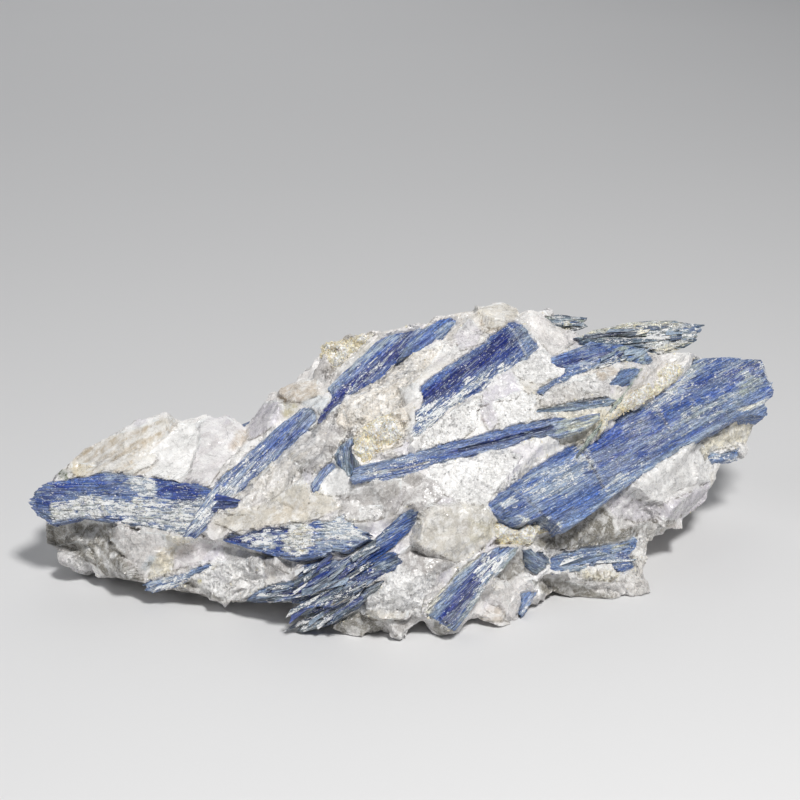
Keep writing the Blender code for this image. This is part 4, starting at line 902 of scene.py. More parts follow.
        ("stroke", "sage", [(462, 618), (476, 600), (490, 582), (506, 563), (516, 552)], 0.85, 3.6),
        ("stroke", "white", [(466, 610), (482, 590), (500, 568)], 0.7, 1.4),
        ("stroke", "line", [(458, 616), (470, 598)], 0.6, 0.8),
        ("area", "sage", [(427, 614), (440, 622), (452, 628), (460, 622), (456, 630), (444, 628)], 0.8, 3),
        ("area", "ice", [(484, 552), (500, 547), (518, 548), (514, 556), (498, 556)], 0.6, 5),
    ]),
    "O1": ("mid", [
        ("stroke", "blue", [(552, 560), (575, 556), (596, 558)], 0.8, 4.5),
        ("stroke", "pale", [(556, 553), (586, 549), (620, 542), (640, 537)], 0.7, 2.0),
        ("area", "ice", [(556, 564), (580, 562), (600, 556), (620, 552), (612, 562), (590, 566), (566, 571)], 0.75, 5),
        ("area", "olive", [(606, 549), (616, 546), (630, 543), (628, 548), (612, 551)], 0.9, 2),
        ("area", "navy", [(616, 556), (622, 553), (632, 555), (630, 560), (620, 561)], 0.9, 2),
        ("area", "blue", [(612, 562), (632, 560), (635, 568), (626, 572), (616, 569)], 0.8, 3),
        ("area", "frost", [(552, 558), (640, 538), (634, 568), (580, 568)], 0.5, 6),
    ]),
    "O2": ("slate", [
        ("area", "blue", [(530, 556), (544, 556), (550, 562), (540, 572), (532, 568)], 0.55, 4),
        ("stroke", "dark", [(528, 570), (538, 576), (549, 569), (553, 560)], 0.8, 1.2),
        ("stroke", "dark", [(527, 553), (529, 562), (529, 570)], 0.6, 1.2),
    ]),
    "O3": ("mid", [
        ("stroke", "slate", [(521, 594), (521, 604), (520, 612)], 0.8, 2.0),
        ("stroke", "ice", [(534, 591), (528, 602), (523, 613)], 0.7, 1.4),
    ]),
    "P": ("mid", [
        ("area", "frost", [(143, 584), (165, 576), (190, 570), (190, 578), (165, 590), (150, 592)], 0.9, 5),
        ("stroke", "slate", [(172, 586), (192, 574), (214, 563)], 0.6, 1.2),
        ("stroke", "ice", [(148, 584), (170, 580), (196, 569)], 0.6, 1.2),
    ]),
    "Q": ("slate", [
        ("stroke", "sage", [(550, 318), (575, 320), (590, 321)], 0.9, 1.4),
        ("stroke", "cream", [(560, 328), (576, 328), (590, 327)], 0.7, 1.2),
        ("stroke", "ice", [(556, 323), (574, 325), (586, 324)], 0.8, 1.0),
        ("area", "frost", [(550, 316), (590, 318), (586, 330), (558, 326)], 0.7, 4),
    ]),
    "b0": ("blue", []), "b1": ("deep", []), "b2": ("mid", []), "b3": ("blue", []), "b4": ("slate", []),
}


SPLINTERY = {"L", "M1", "M2", "M3", "P", "Q", "H2", "K", "O1", "A", "mC", "mT", "mR", "mL", "mB"}


def refine_outline(c, rough=1.0):
    """The outline with broken ends and nearly straight sides, in the crystal's plane."""
    out = []
    flat = c.flat
    seed = sum(map(ord, c.key)) * 13
    z0 = np.array([0])
    for a, b in zip(flat, np.roll(flat, -1, 0)):
        length = np.hypot(*(b - a))
        along = abs((b - a)[0]) / max(length, 1e-6)
        step = 0.34 if along > 0.85 else 0.16
        n = max(1, int(round(length / step)))
        nrm = np.array([(b - a)[1], -(b - a)[0]]) / max(length, 1e-6)
        for k in range(n):
            p = a + (b - a) * (k / n)
            if along > 0.85:
                s1 = hashed(np.floor(np.array([p[0] / 3.7 + (b - a)[1]])), z0, z0, seed + 5)[0]
                s2 = hashed(np.floor(np.array([p[0] / 1.3])), z0, z0, seed + 6)[0]
                w = (s1 - 0.5) * 0.20 + (s2 - 0.5) * 0.10
                p = p + nrm * w * rough
            else:
                c1 = hashed(z0, np.floor(np.array([p[1] / 0.33])), z0, seed + 2)[0]
                c2 = hashed(z0, np.floor(np.array([p[1] / 1.0])), z0, seed + 3)[0]
                p = p + np.array([(c1 - 0.5) * 0.75 + (c2 - 0.5) * 0.65, 0]) * rough * (1.0 if c.key in SPLINTERY else 0.42)
            out.append(p)
    keep = [out[0]]
    for p in out[1:]:
        if np.hypot(*(p - keep[-1])) > 0.06:
            keep.append(p)
    return np.array(keep)


DARKS = ("navy", "deep", "black", "dark", "slate", "cobalt")
LIGHTS = ("pale", "ice")
CRUST_AND_SHADOW_TINTS = ("cream", "sage", "olive", "beige", "gold", "tan", "brown", "green")
WIDE_MARKS = {"mB"}


def blade_piece(c, name, material, slot, base, marks, replaced=(), terrace=0.30, lumps=0.0, drop=0.0):
    """A crystal with stepped cleavage on its face, striped sides and broken ends. Its marks set the base colour and
    how dense the pale streaks, dark streaks and white flecks are."""
    seed = sum(map(ord, c.key)) * 7 + 5
    ring = refine_outline(c, 1.0 if lumps == 0 else 1.8)
    lo, hi = ring.min(0), ring.max(0)
    da, db = (0.34, 0.145) if lumps == 0 else (0.22, 0.22)
    ga, gb = np.meshgrid(np.arange(lo[0], hi[0], da), np.arange(lo[1], hi[1], db), indexing="ij")
    gb = gb + 0.5 * db * (np.arange(ga.shape[0]) % 2)[:, None]
    grid = np.stack([ga.ravel(), gb.ravel()], -1)
    sd = signed(grid, ring)
    grid = grid[sd < -0.10]
    pts = np.r_[ring, grid]
    n = len(ring)
    verts, _, tris, orig, _, _ = delaunay_2d_cdt([Vector(p) for p in pts], [], [list(range(n))], 1, 1e-5)
    xy = np.array([tuple(v) for v in verts])
    back = {}
    for new, olds in enumerate(orig):
        for o in olds:
            if o < n:
                back[o] = new
    loop = []
    for i in range(n):
        if i in back and (not loop or back[i] != loop[-1]):
            loop.append(back[i])
    if loop[0] == loop[-1]:
        loop.pop()
    a, b = xy[:, 0], xy[:, 1]
    zero = a * 0
    dist = np.maximum(0.0, -signed(xy, xy[loop]))
    front = c.key in OUTLINES
    uv = to_sheet(c.world(np.c_[a, b, zero])) if front else np.c_[a * 5.6 + 5000, b * 5.6 + 5000]
    run = noise(np.c_[a / 3.0, b / 0.30, zero + seed], seed + 11)
    run2 = noise(np.c_[a / 1.0, b / 0.15, zero + seed + 3], seed + 12)
    rag = 0.6 * run + 0.4 * run2
    blot = fbm(np.c_[a / 1.1, b / 1.1, zero + seed], seed + 13, 3)
    wide = hi[1] - lo[1]
    z = zero.copy()
    if lumps == 0:
        for width, length, amp, k in ((1.7, 21.0, 1.0, 0), (0.75, 9.0, 0.55, 1), (0.34, 5.0, 0.30, 2), (0.16, 3.0, 0.16, 3)):
            row = np.floor((b + 0.03 * a * (hashed(np.array([k]), np.array([1]), np.array([2]), seed)[0] - 0.5)) / width)
            off = hashed(row, zero, zero, seed + 21 + k) * length
            col = np.floor((a + off + (hashed(np.floor(b / 0.15), zero, zero, seed + 4) - 0.5) * 0.8) / length)
            z -= terrace * amp * hashed(row, col, zero, seed + 31 + k) ** 1.3
        # steps let down along the long edges
        for side in (0, 1):
            edge = (hi[1] - b) if side else (b - lo[1])
            depth = dist + 0.0 * edge
            run3 = hashed(np.floor(a / 6.5 + side * 0.5), zero + side, zero, seed + 61)
            w = 0.15 + 0.9 * run3 ** 2 * min(1.0, wide / 8)
            z -= np.where(((b > (hi[1] + lo[1]) / 2) == bool(side)) & (depth < w), 0.16 + 0.30 * hashed(np.floor(a / 4.1), zero + side, zero, seed + 62), 0)
        z -= 0.14 * np.exp(-dist / 0.10)
    else:
        crag = chips(np.c_[a, b, zero + seed] + 0.5 * fbm(np.c_[a / 1.2, b / 1.2, zero], seed + 43, 2)[:, None], 3.0, 0.60, 0.12, seed + 41, 0.4)
        crag = crag - np.percentile(crag, 75)
        soft = (fbm(np.c_[a / 1.4, b / 1.4, zero + 7], seed + 42, 4) - 0.5) * 1.5
        bits = chips(np.c_[a, b, zero + seed + 3] + 0.3 * fbm(np.c_[a / 0.7, b / 0.7, zero], seed + 44, 2)[:, None], 0.9, 0.8, 0.15, seed + 45, 0.5)
        soft = soft + 0.55 * (bits - np.median(bits))
        z += lumps * (0.8 * crag + soft) - drop
        z -= min(1.4, c.thick * 0.4) * np.exp(-(dist / 0.6) ** 1.5)
    col = np.tile(PALETTE[base], (len(a), 1)).astype(float)
    crusty = np.zeros(len(a))
    pale = np.full(len(a), 0.36)
    deep = np.full(len(a), 0.30)
    frost = np.full(len(a), 0.15)
    rough = np.full(len(a), 0.36)
    if lumps == 0:
        soft = fbm(np.c_[a / 8.0, b / 1.6, zero + seed], seed + 14, 2)
        pale += 0.5 * (soft - 0.5)
        deep += 0.7 * (0.5 - fbm(np.c_[a / 9.0, b / 1.3, zero + seed + 8], seed + 15, 2))
        frost += 0.9 * (fbm(np.c_[a / 3.0, b / 1.2, zero + seed + 5], seed + 16, 2) - 0.5)
    else:
        pale[:] = 0
        deep[:] = 0
        frost[:] = 0
        rough[:] = 0.5
    if lumps:
        # painted light on the clumps: the high parts are tinted milk-white as a painted highlight, the lowest parts
        # gold, partly the mica's own gold and partly painted shade in the hollows
        ridge = smooth(np.percentile(z, 35), np.percentile(z, 85), z)
        col = tint(col, ridge, "milk", 0.75)
        col = tint(col, 1 - smooth(np.percentile(z, 6), np.percentile(z, 26), z), "gold", 0.5)
    if not front and lumps == 0:
        # crystals on the hidden sides carry their own crusts, pale ends and dark cores
        half = max(1e-3, (hi[0] - lo[0]) / 2)
        end = np.abs(a - (hi[0] + lo[0]) / 2) / half
        patch = fbm(np.c_[a / 3.4, b / 1.7, zero + seed + 31], seed + 71, 3)
        m = smooth(0.50, 0.62, patch + 0.16 * (end - 0.6))
        pale, frost = np.maximum(pale, 0.75 * m), np.maximum(frost, 0.80 * m)
        col = tint(col, m, "pale", 0.45)
        m = smooth(0.56, 0.62, fbm(np.c_[a / 2.2, b / 1.6, zero + seed + 57], seed + 72, 3)) * smooth(0.2, 0.7, end)
        grain = smooth(0.34, 0.50, blot) * m
        crusty = np.maximum(crusty, grain)
        col = tint(col, grain, "milk", 0.85)
        frost = np.maximum(frost, 0.7 * m)
        z = z + m * 0.10 + grain * 0.18 * noise(np.c_[a / 0.30, b / 0.30, zero], seed + 18)
        m = smooth(0.50, 0.60, fbm(np.c_[a / 6.0, b / 1.2, zero + seed + 77], seed + 73, 2)) * smooth(0.9, 0.5, end)
        col = tint(col, m, "navy", 0.55)
        m = smooth(0.54, 0.62, fbm(np.c_[a / 7.0, b / 0.9, zero + seed + 91], seed + 74, 2))
        col = tint(col, m, "sage", 0.35)
    drift = np.c_[fbm(np.c_[a / 1.5, b / 0.9, zero + seed + 61], seed + 81, 3), fbm(np.c_[a / 1.5, b / 0.9, zero + seed + 62], seed + 82, 3)] - 0.5
    bent = uv + drift * 17.0
    for shape, kind, points, strength, size in marks:
        if shape == "area":
            m = area(points, bent if size >= 3 else uv, rag, feather=max(2.2, size * 0.8), ragged=size * 1.3) * strength
        else:
            m = stroke(points, uv, rag, size, feather=max(1.0, size * 0.7), ragged=size * 0.7 if kind != "line" else 0.5) * strength
        # a groove is cut into the face and its floor darkened as painted shade
        if kind == "groove":
            z -= 0.42 * m
            deep = deep + 0.6 * m
            col = tint(col, m * 0.5, "dark")
        elif kind == "crack":
            z -= 0.5 * m
            col = tint(col, m, "black", 0.95)
            deep = deep + 0.5 * m
        elif kind == "line":
            col = tint(col, m * (0.35 + 0.65 * smooth(0.3, 0.6, run2)), "white", 0.85)
            z -= 0.08 * m
        elif kind == "calm":
            frost = frost * (1 - 0.9 * m)
            pale = pale * (1 - 0.75 * m)
            deep = deep * (1 - 0.3 * m)
        elif kind == "frost":
            frost = np.maximum(frost, 0.25 + 0.62 * m)
            pale = np.maximum(pale, 0.3 + 0.45 * m)
        elif kind == "crust":
            grain = smooth(0.34, 0.50, blot) * smooth(0.1, 0.5, m)
            crusty = np.maximum(crusty, grain)
            pits = smooth(0.60, 0.70, noise(np.c_[a / 0.42, b / 0.42, zero + 5], seed + 17))
            z += m * (0.05 + 0.5 * np.clip(blot - 0.35, 0, 1)) + grain * 0.22 * (noise(np.c_[a / 0.30, b / 0.30, zero], seed + 18) - 0.2)
            col = tint(col, grain, "milk", 0.85)
            col = tint(col, grain * smooth(0.5, 0.75, noise(np.c_[a / 1.4, b / 1.4, zero], seed + 19)), "cream", 0.6)
            col = tint(col, grain * pits, "sage", 0.6)
            deep = deep * (1 - grain)
            pale = pale * (1 - 0.5 * grain)
            frost = np.maximum(frost, 0.75 * m)
            rough = rough + 0.4 * grain
        elif kind == "white":
            m2 = np.clip(m * 1.7 - smooth(0.40, 0.75, rag) * 0.9, 0, 1)
            col = tint(col, m2, "white", 0.75)
            frost = np.maximum(frost, 0.3 + 0.55 * m)
            pale = np.maximum(pale, 0.3 + 0.5 * m)
            z += 0.06 * m2
            rough = rough + 0.2 * m2
        elif kind in LIGHTS:
            col = tint(col, m, kind, 0.5)
            pale = np.maximum(pale, 0.25 + 0.60 * m)
            deep = deep - 0.15 * m
        elif kind == "grey":
            col = tint(col, m, kind, 0.45)
            pale = np.maximum(pale, 0.25 + 0.35 * m)
            frost = np.maximum(frost, 0.2 + 0.45 * m)
        elif kind in DARKS:
            col = tint(col, m, kind, 0.85)
            deep = np.maximum(deep, 0.2 + 0.35 * m)
            pale = pale - 0.26 * m
            frost = frost - 0.16 * m
        # crust tints; the brown stroke on I2 that goes through here is a painted shadow
        elif kind in CRUST_AND_SHADOW_TINTS:
            m2 = np.clip(m * 1.6 - rag * 0.9, 0, 1)
            col = tint(col, m2, kind, 0.85)
            deep = deep * (1 - 0.7 * m2)
            rough = rough + 0.2 * m2
            z += 0.12 * m2 * (blot - 0.3)
        else:
            col = tint(col, m, kind, 0.9)
    col = col * DIM.get(c.key, 1.0)
    frost = frost * CLEAN.get(c.key, 1.0)
    z = np.minimum(z, 0.6)
    pale, deep, frost = np.clip(pale, 0, 1), np.clip(deep, 0, 1), np.clip(frost, 0, 1)
    top = np.c_[a, b, z]

    m = len(loop)
    rim = xy[loop]
    nrm = np.roll(rim, -1, 0) - np.roll(rim, 1, 0)
    nrm = np.c_[nrm[:, 1], -nrm[:, 0]] / np.maximum(1e-6, np.hypot(nrm[:, 0], nrm[:, 1]))[:, None]
    rows = [0.10, 0.30, 0.55, 0.9, 1.35, 1.95, 2.8, c.thick]
    co = [c.world(top)]
    grain = [np.c_[a, b, zero]]
    layers = {"tint": [col], "pale": [pale], "deep": [deep], "frost": [frost], "rough": [rough]}
    faces = [tuple(t) for t in tris]
    prev = list(loop)
    count = len(xy)
    for k, depth in enumerate(rows):
        inn = 0.04 + 0.24 * hashed(np.floor(rim[:, 0] / 2.6), np.floor(rim[:, 1] / 2.6), np.full(m, k), seed + 51) * (1 if k < 7 else 2.5)
        ring_z = np.minimum(z[loop] - 0.05 * (k + 1), -depth + 0.06 * (hashed(np.floor(rim[:, 0] / 1.4), np.floor(rim[:, 1] / 1.4), np.full(m, k), seed + 52) - 0.5))
        co.append(c.world(np.c_[rim - nrm * inn[:, None], ring_z]))
        grain.append(np.c_[rim[:, 0], rim[:, 1] - depth * 1.0, np.full(m, depth)])
        shade = 0.60 + 0.5 * hashed(np.floor(rim[:, 0] / 3.5), np.zeros(m), np.full(m, k), seed + 53)
        cs = col[loop] * 0.60 + (PALETTE["mid"] if lumps == 0 else PALETTE["cream"]) * 0.40
        layers["tint"].append(cs * shade[:, None] if lumps == 0 else cs)
        layers["pale"].append(np.full(m, 0.45 if lumps == 0 else 0.0))
        layers["deep"].append(np.full(m, 0.45 if lumps == 0 else 0.0))
        layers["frost"].append(np.full(m, 0.35 if lumps == 0 else 0.0))
        layers["rough"].append(np.full(m, 0.45))
        now = list(range(count, count + m))
        for i in range(m):
            j = (i + 1) % m
            faces.append((prev[i], now[i], now[j], prev[j]))
        prev = now
        count += m
    faces.append(tuple(reversed(prev)))
    attrs = {k: np.concatenate(v) for k, v in layers.items()}
    attrs["grain"] = np.concatenate(grain)
    piece = dict(name=name, co=np.concatenate(co), faces=faces, attrs=attrs, slot=slot, material=material, replaced=replaced)
    piece["top"] = dict(a=a, b=b, z=z, dist=dist, crust=crusty, col=col, pale=pale, frost=frost, blot=blot)
    return piece


def crumbs_on(c, piece, seed, share=0.5):
    """Crumbs of cream mica and quartz caught on the crusted parts of a face."""
    top = piece["top"]
    rs = np.random.RandomState(seed)
    pick = np.nonzero((rs.random_sample(len(top["a"])) < share * top["crust"]) & (top["dist"] > 0.1))[0]
    if not len(pick):
        return None
    pos = c.world(np.c_[top["a"][pick], top["b"][pick], top["z"][pick]])
    tone = np.array([PALETTE[n] for n in rs.choice(["white", "milk", "cream", "sage", "pale"], len(pick), p=[0.35, 0.25, 0.22, 0.1, 0.08])])
    size = 0.08 + 0.24 * rs.random_sample(len(pick)) ** 2.5
    return grains(piece["name"], pos, np.tile(c.normal, (len(pick), 1)), size, np.clip(tone * rs.uniform(0.85, 1.05, (len(pick), 1)), 0, 1), seed + 1,
                  piece["slot"], piece["material"])


def shards(c, name, slot, material, polygon, count, seed, colours, length=(2.5, 9.0), width=(0.25, 1.1), lift=(-0.6, 0.6), spread=0.16):
    """Torn strips of crystal thrown over a patch of the sheet, roughly along the crystal c."""
    rnd = random.Random(seed)
    co, faces, grain = [], [], []
    layers = {"tint": [], "pale": [], "deep": [], "frost": [], "rough": []}
    lo, hi = np.min(polygon, 0), np.max(polygon, 0)
    made = 0
    while made < count:
        u, v = rnd.uniform(lo[0], hi[0]), rnd.uniform(lo[1], hi[1])
        if not inside(np.array([[u, v]]), polygon)[0]:
            continue
        made += 1
        q = on_plane(c, [(u, v)])[0]
        long = rnd.uniform(*length) * (0.5 + rnd.random() ** 2)
        wide = rnd.uniform(*width)
        thick = rnd.uniform(0.10, 0.30)
        turn = rnd.gauss(0, spread)
        tilt = rnd.gauss(0, 0.03)
        roll = rnd.gauss(0, 0.28)
        z0 = rnd.uniform(*lift)
        ct, st = math.cos(turn), math.sin(turn)
        ends = [(-0.5, -0.5), (-0.5 + rnd.uniform(0, 0.3), 0.5), (0.5, 0.5 - rnd.uniform(0, 0.6)), (0.5 - rnd.uniform(0, 0.35), -0.5)]
        n = len(co)
        for s in (0.5, -0.8):
            for x, y in ends:
                x, y = x * long, y * wide
                co.append((q[0] + x * ct - y * st, q[1] + x * st + y * ct, z0 + s * thick + x * tilt + y * roll))
        faces += [(n, n + 1, n + 2, n + 3), (n + 7, n + 6, n + 5, n + 4)]
        faces += [(n + 4 + k, n + 4 + (k + 1) % 4, n + (k + 1) % 4, n + k) for k in range(4)]
        grain += [(p[0] + made * 3.7, p[1] + made * 1.9, 0.3) for p in co[n:]]
        tone = PALETTE[rnd.choices([x[0] for x in colours], [x[1] for x in colours])[0]] * rnd.uniform(0.75, 1.1)
        frost = rnd.random() ** 1.5
        for key, value in (("tint", tone), ("pale", 0.2 + 0.5 * rnd.random()), ("deep", 0.4), ("frost", frost), ("rough", 0.35)):
            layers[key] += [value] * 8
    attrs = {k: np.array(v) for k, v in layers.items()}
    attrs["grain"] = np.array(grain)
    return dict(name=name, co=c.world(np.array(co)), faces=faces, attrs=attrs, slot=slot, material=material, replaced=())


def splinters(c, piece, density, seed):
    """Thin slivers split off along the cleavage and still lying on the face."""
    top = piece["top"]
    rnd = random.Random(seed)
    inner = np.nonzero(top["dist"] > 0.25)[0]
    if not len(inner):
        return None
    size = len(inner) * 0.34 * 0.145
    count = int(size * density)
    co, faces, grain = [], [], []
    layers = {"tint": [], "pale": [], "deep": [], "frost": [], "rough": []}
    for _ in range(count):
        i = inner[rnd.randrange(len(inner))]
        a, b, z = top["a"][i], top["b"][i], top["z"][i]
        fr, pl = top["frost"][i], top["pale"][i]
        if rnd.random() > 0.12 + 1.0 * fr:
            continue
        room = top["dist"][i]
        length = min(rnd.uniform(0.5, 1.2) + 2.6 * rnd.random() ** 3, 0.6 + room * 2.5)
        width = rnd.uniform(0.07, 0.17) + 0.16 * rnd.random() ** 4
        thick = rnd.uniform(0.03, 0.09)
        turn = rnd.gauss(0, 0.06)
        tilt = rnd.gauss(0, 0.035)
        roll = rnd.gauss(0, 0.25)
        ct, st = math.cos(turn), math.sin(turn)
        pts = []
        ends = [(-0.5, -0.5), (-0.5 + rnd.uniform(0, 0.25), 0.5), (0.5, 0.5), (0.5 - rnd.uniform(0, 0.3), -0.5)]
        for s in (0.5, -0.7):
            for x, y in ends:
                x, y = x * length, y * width
                pts.append((a + x * ct - y * st, b + x * st + y * ct, z + 0.05 + s * thick + x * tilt + y * roll))
        k = rnd.random()
        if k < 1.1 * (fr - 0.22):
            col = PALETTE["white"] * rnd.uniform(0.75, 1.0)
            wh = 0.3
        elif k < 0.35 + 0.6 * pl:
            col = top["col"][i] * 0.5 + PALETTE["pale"] * 0.5
            wh = 0.2
        else:
            col = top["col"][i] * rnd.uniform(0.65, 1.1)
            wh = 0.1
        n = len(co)
        co += pts
        grain += [(p[0] + 7.3, p[1] + 3.1, 0.4) for p in pts]
        faces += [(n, n + 1, n + 2, n + 3), (n + 7, n + 6, n + 5, n + 4)]
        faces += [(n + 4 + q, n + 4 + (q + 1) % 4, n + (q + 1) % 4, n + q) for q in range(4)]
        for key, value in (("tint", col), ("pale", 0.2), ("deep", 0.1), ("frost", wh), ("rough", 0.4)):
            layers[key] += [value] * 8
    if not co:
        return None
    attrs = {k: np.array(v) for k, v in layers.items()}
    attrs["grain"] = np.array(grain)
    return dict(name=piece["name"], co=c.world(np.array(co)), faces=faces, attrs=attrs, slot=piece["slot"], material=piece["material"], replaced=())


OCTA = np.array([(1, 0, 0), (-1, 0, 0), (0, 1, 0), (0, -1, 0), (0, 0, 1), (0, 0, -1)], float)
OCTA_FACES = [(0, 2, 4), (2, 1, 4), (1, 3, 4), (3, 0, 4), (2, 0, 5), (1, 2, 5), (3, 1, 5), (0, 3, 5)]


def grains(name, pos, nrm, size, tints, seed, slot, material, sink=0.35, slab=0.7, frost=0.0):
    """Angular crumbs sitting in a surface: positions and normals (N, 3), sizes and colours per crumb."""
    rs = np.random.RandomState(seed)
    n = len(pos)
    q = rs.normal(size=(n, 4))
    q /= np.linalg.norm(q, axis=1)[:, None]
    w, x, y, z = q.T
    rot = np.stack([1 - 2 * (y * y + z * z), 2 * (x * y - z * w), 2 * (x * z + y * w),
                    2 * (x * y + z * w), 1 - 2 * (x * x + z * z), 2 * (y * z - x * w),
                    2 * (x * z - y * w), 2 * (y * z + x * w), 1 - 2 * (x * x + y * y)], -1).reshape(n, 3, 3)
    shape = OCTA[None] * rs.uniform(0.55, 1.1, (n, 6, 1)) + rs.uniform(-0.22, 0.22, (n, 6, 3))
    shape = shape * np.stack([np.ones(n), rs.uniform(slab, 1, n), rs.uniform(slab, 1, n)], -1)[:, None, :]
    pts = np.einsum("nij,nkj->nki", rot, shape) * size[:, None, None] + (pos - nrm * (size * sink)[:, None])[:, None, :]
    faces = [tuple(i * 6 + k for k in f) for i in range(n) for f in OCTA_FACES]
    rep = lambda v: np.repeat(v, 6, axis=0)
    attrs = {"tint": rep(tints), "rough": rep(rs.uniform(0.15, 0.5, n)), "grain": pts.reshape(-1, 3), "pale": np.zeros(6 * n),
             "deep": np.zeros(6 * n), "frost": np.full(6 * n, float(frost)), "sugar": rep(rs.uniform(0.3, 1.0, n)), "seam": np.full(6 * n, 9.0), "side": np.zeros(6 * n)}
    return dict(name=name, co=pts.reshape(-1, 3), faces=faces, attrs=attrs, slot=slot, material=material, replaced=())


def build(pieces, name=None, sharp=34):
    """One object from one or more piece dicts."""
    pieces = [p for p in pieces if p]
    co, faces, n = [], [], 0
    keys = set(pieces[0]["attrs"])
    attrs = {k: [] for k in keys}
    for p in pieces:
        co.append(p["co"])
        faces += [tuple(i + n for i in f) for f in p["faces"]]
        n += len(p["co"])
        for k in keys:
            attrs[k].append(p["attrs"][k])
    first = pieces[0]
    obj = finish_mesh(name or first["name"], np.concatenate(co), faces, first["material"],
                      sorted({r for p in pieces for r in p["replaced"]}), True,
                      {k: np.concatenate(v) for k, v in attrs.items()}, None)
    bm = bmesh.new()
    bm.from_mesh(obj.data)
    bmesh.ops.triangulate(bm, faces=[f for f in bm.faces if len(f.verts) > 4])
    bmesh.ops.recalc_face_normals(bm, faces=bm.faces)
    bm.to_mesh(obj.data)
    bm.free()
    if sharp is not None:
        obj.data.set_sharp_from_angle(angle=math.radians(sharp))
    return obj
# ------------------------------------------------------------------ materials
class Graph:
    """A small helper for building a material's node tree."""

    def __init__(self, name):
        self.mat = bpy.data.materials.new(name)
        self.mat.use_nodes = True
        self.tree = self.mat.node_tree
        self.tree.nodes.clear()

    def feed(self, socket, value):
        if isinstance(value, bpy.types.NodeSocket):
            self.tree.links.new(value, socket)
        else:
            socket.default_value = value

    def node(self, kind, inputs=None, **settings):
        n = self.tree.nodes.new(kind)
        for k, v in settings.items():
            setattr(n, k, v)
        for k, v in (inputs or {}).items():
            self.feed(n.inputs[k], v)
        return n

    def math(self, op, a, b=0.5, c=0.5, clamp=False):
        return self.node("ShaderNodeMath", {0: a, 1: b, 2: c}, operation=op, use_clamp=clamp).outputs[0]

    def vec(self, op, a, b=(0, 0, 0)):
        n = self.node("ShaderNodeVectorMath", {0: a}, operation=op)
        if op == "SCALE":
            self.feed(n.inputs["Scale"], b)
        elif op != "NORMALIZE":
            self.feed(n.inputs[1], b)
        return n.outputs[0]

    def span(self, value, low, high, to_low=0.0, to_high=1.0, soft=True):
        n = self.node("ShaderNodeMapRange", {0: value, 1: low, 2: high, 3: to_low, 4: to_high}, clamp=True)
        n.interpolation_type = "SMOOTHSTEP" if soft else "LINEAR"
        return n.outputs[0]

    def mix(self, fac, a, b, mode="MIX"):
        n = self.node("ShaderNodeMix", data_type="RGBA", blend_type=mode)
        self.feed(n.inputs[0], fac)
        self.feed(n.inputs[6], a)
        self.feed(n.inputs[7], b)
        return n.outputs[2]

    def noise(self, vector, scale, detail=2.0, rough=0.5, warp=0.0, which="Fac"):
        n = self.node("ShaderNodeTexNoise", {"Vector": vector, "Scale": scale, "Detail": detail, "Roughness": rough, "Distortion": warp})
        return n.outputs[which]

    def cells(self, vector, scale, which="Color", feature="F1", random=1.0):
        n = self.node("ShaderNodeTexVoronoi", {"Vector": vector, "Scale": scale, "Randomness": random}, feature=feature)
        return n.outputs[which]

    def attribute(self, name, which="Fac"):
        return self.node("ShaderNodeAttribute", attribute_name=name, attribute_type="GEOMETRY").outputs[which]

    def place(self):
        """Position in millimetres."""
        return self.vec("SCALE", self.node("ShaderNodeTexCoord").outputs["Object"], 1000.0)

    def grey(self, value):
        return self.node("ShaderNodeCombineColor", {0: value, 1: value, 2: value}).outputs[0]

    def bump(self, height, strength, distance, normal=None):
        n = self.node("ShaderNodeBump", {"Height": height, "Strength": strength, "Distance": distance})
        if normal is not None:
            self.feed(n.inputs["Normal"], normal)
        return n.outputs[0]

    def glint(self, vector, sizes):
        """The surface normal knocked about by small flat cells: (scale, amount) pairs."""
        normal = self.node("ShaderNodeNewGeometry").outputs["Normal"]
        for scale, amount in sizes:
            push = self.vec("SUBTRACT", self.cells(vector, scale), (0.5, 0.5, 0.5))
            normal = self.vec("ADD", normal, self.vec("SCALE", push, amount))
        return self.vec("NORMALIZE", normal)

    def done(self, **sockets):
        shader = self.node("ShaderNodeBsdfPrincipled")
        for k, v in sockets.items():
            self.feed(shader.inputs[k.replace("_", " ")], v)
        out = self.node("ShaderNodeOutputMaterial")
        self.tree.links.new(shader.outputs[0], out.inputs[0])
        return self.mat


def rgba(name, k=1.0):
    return tuple(PALETTE[name] * k) + (1.0,)


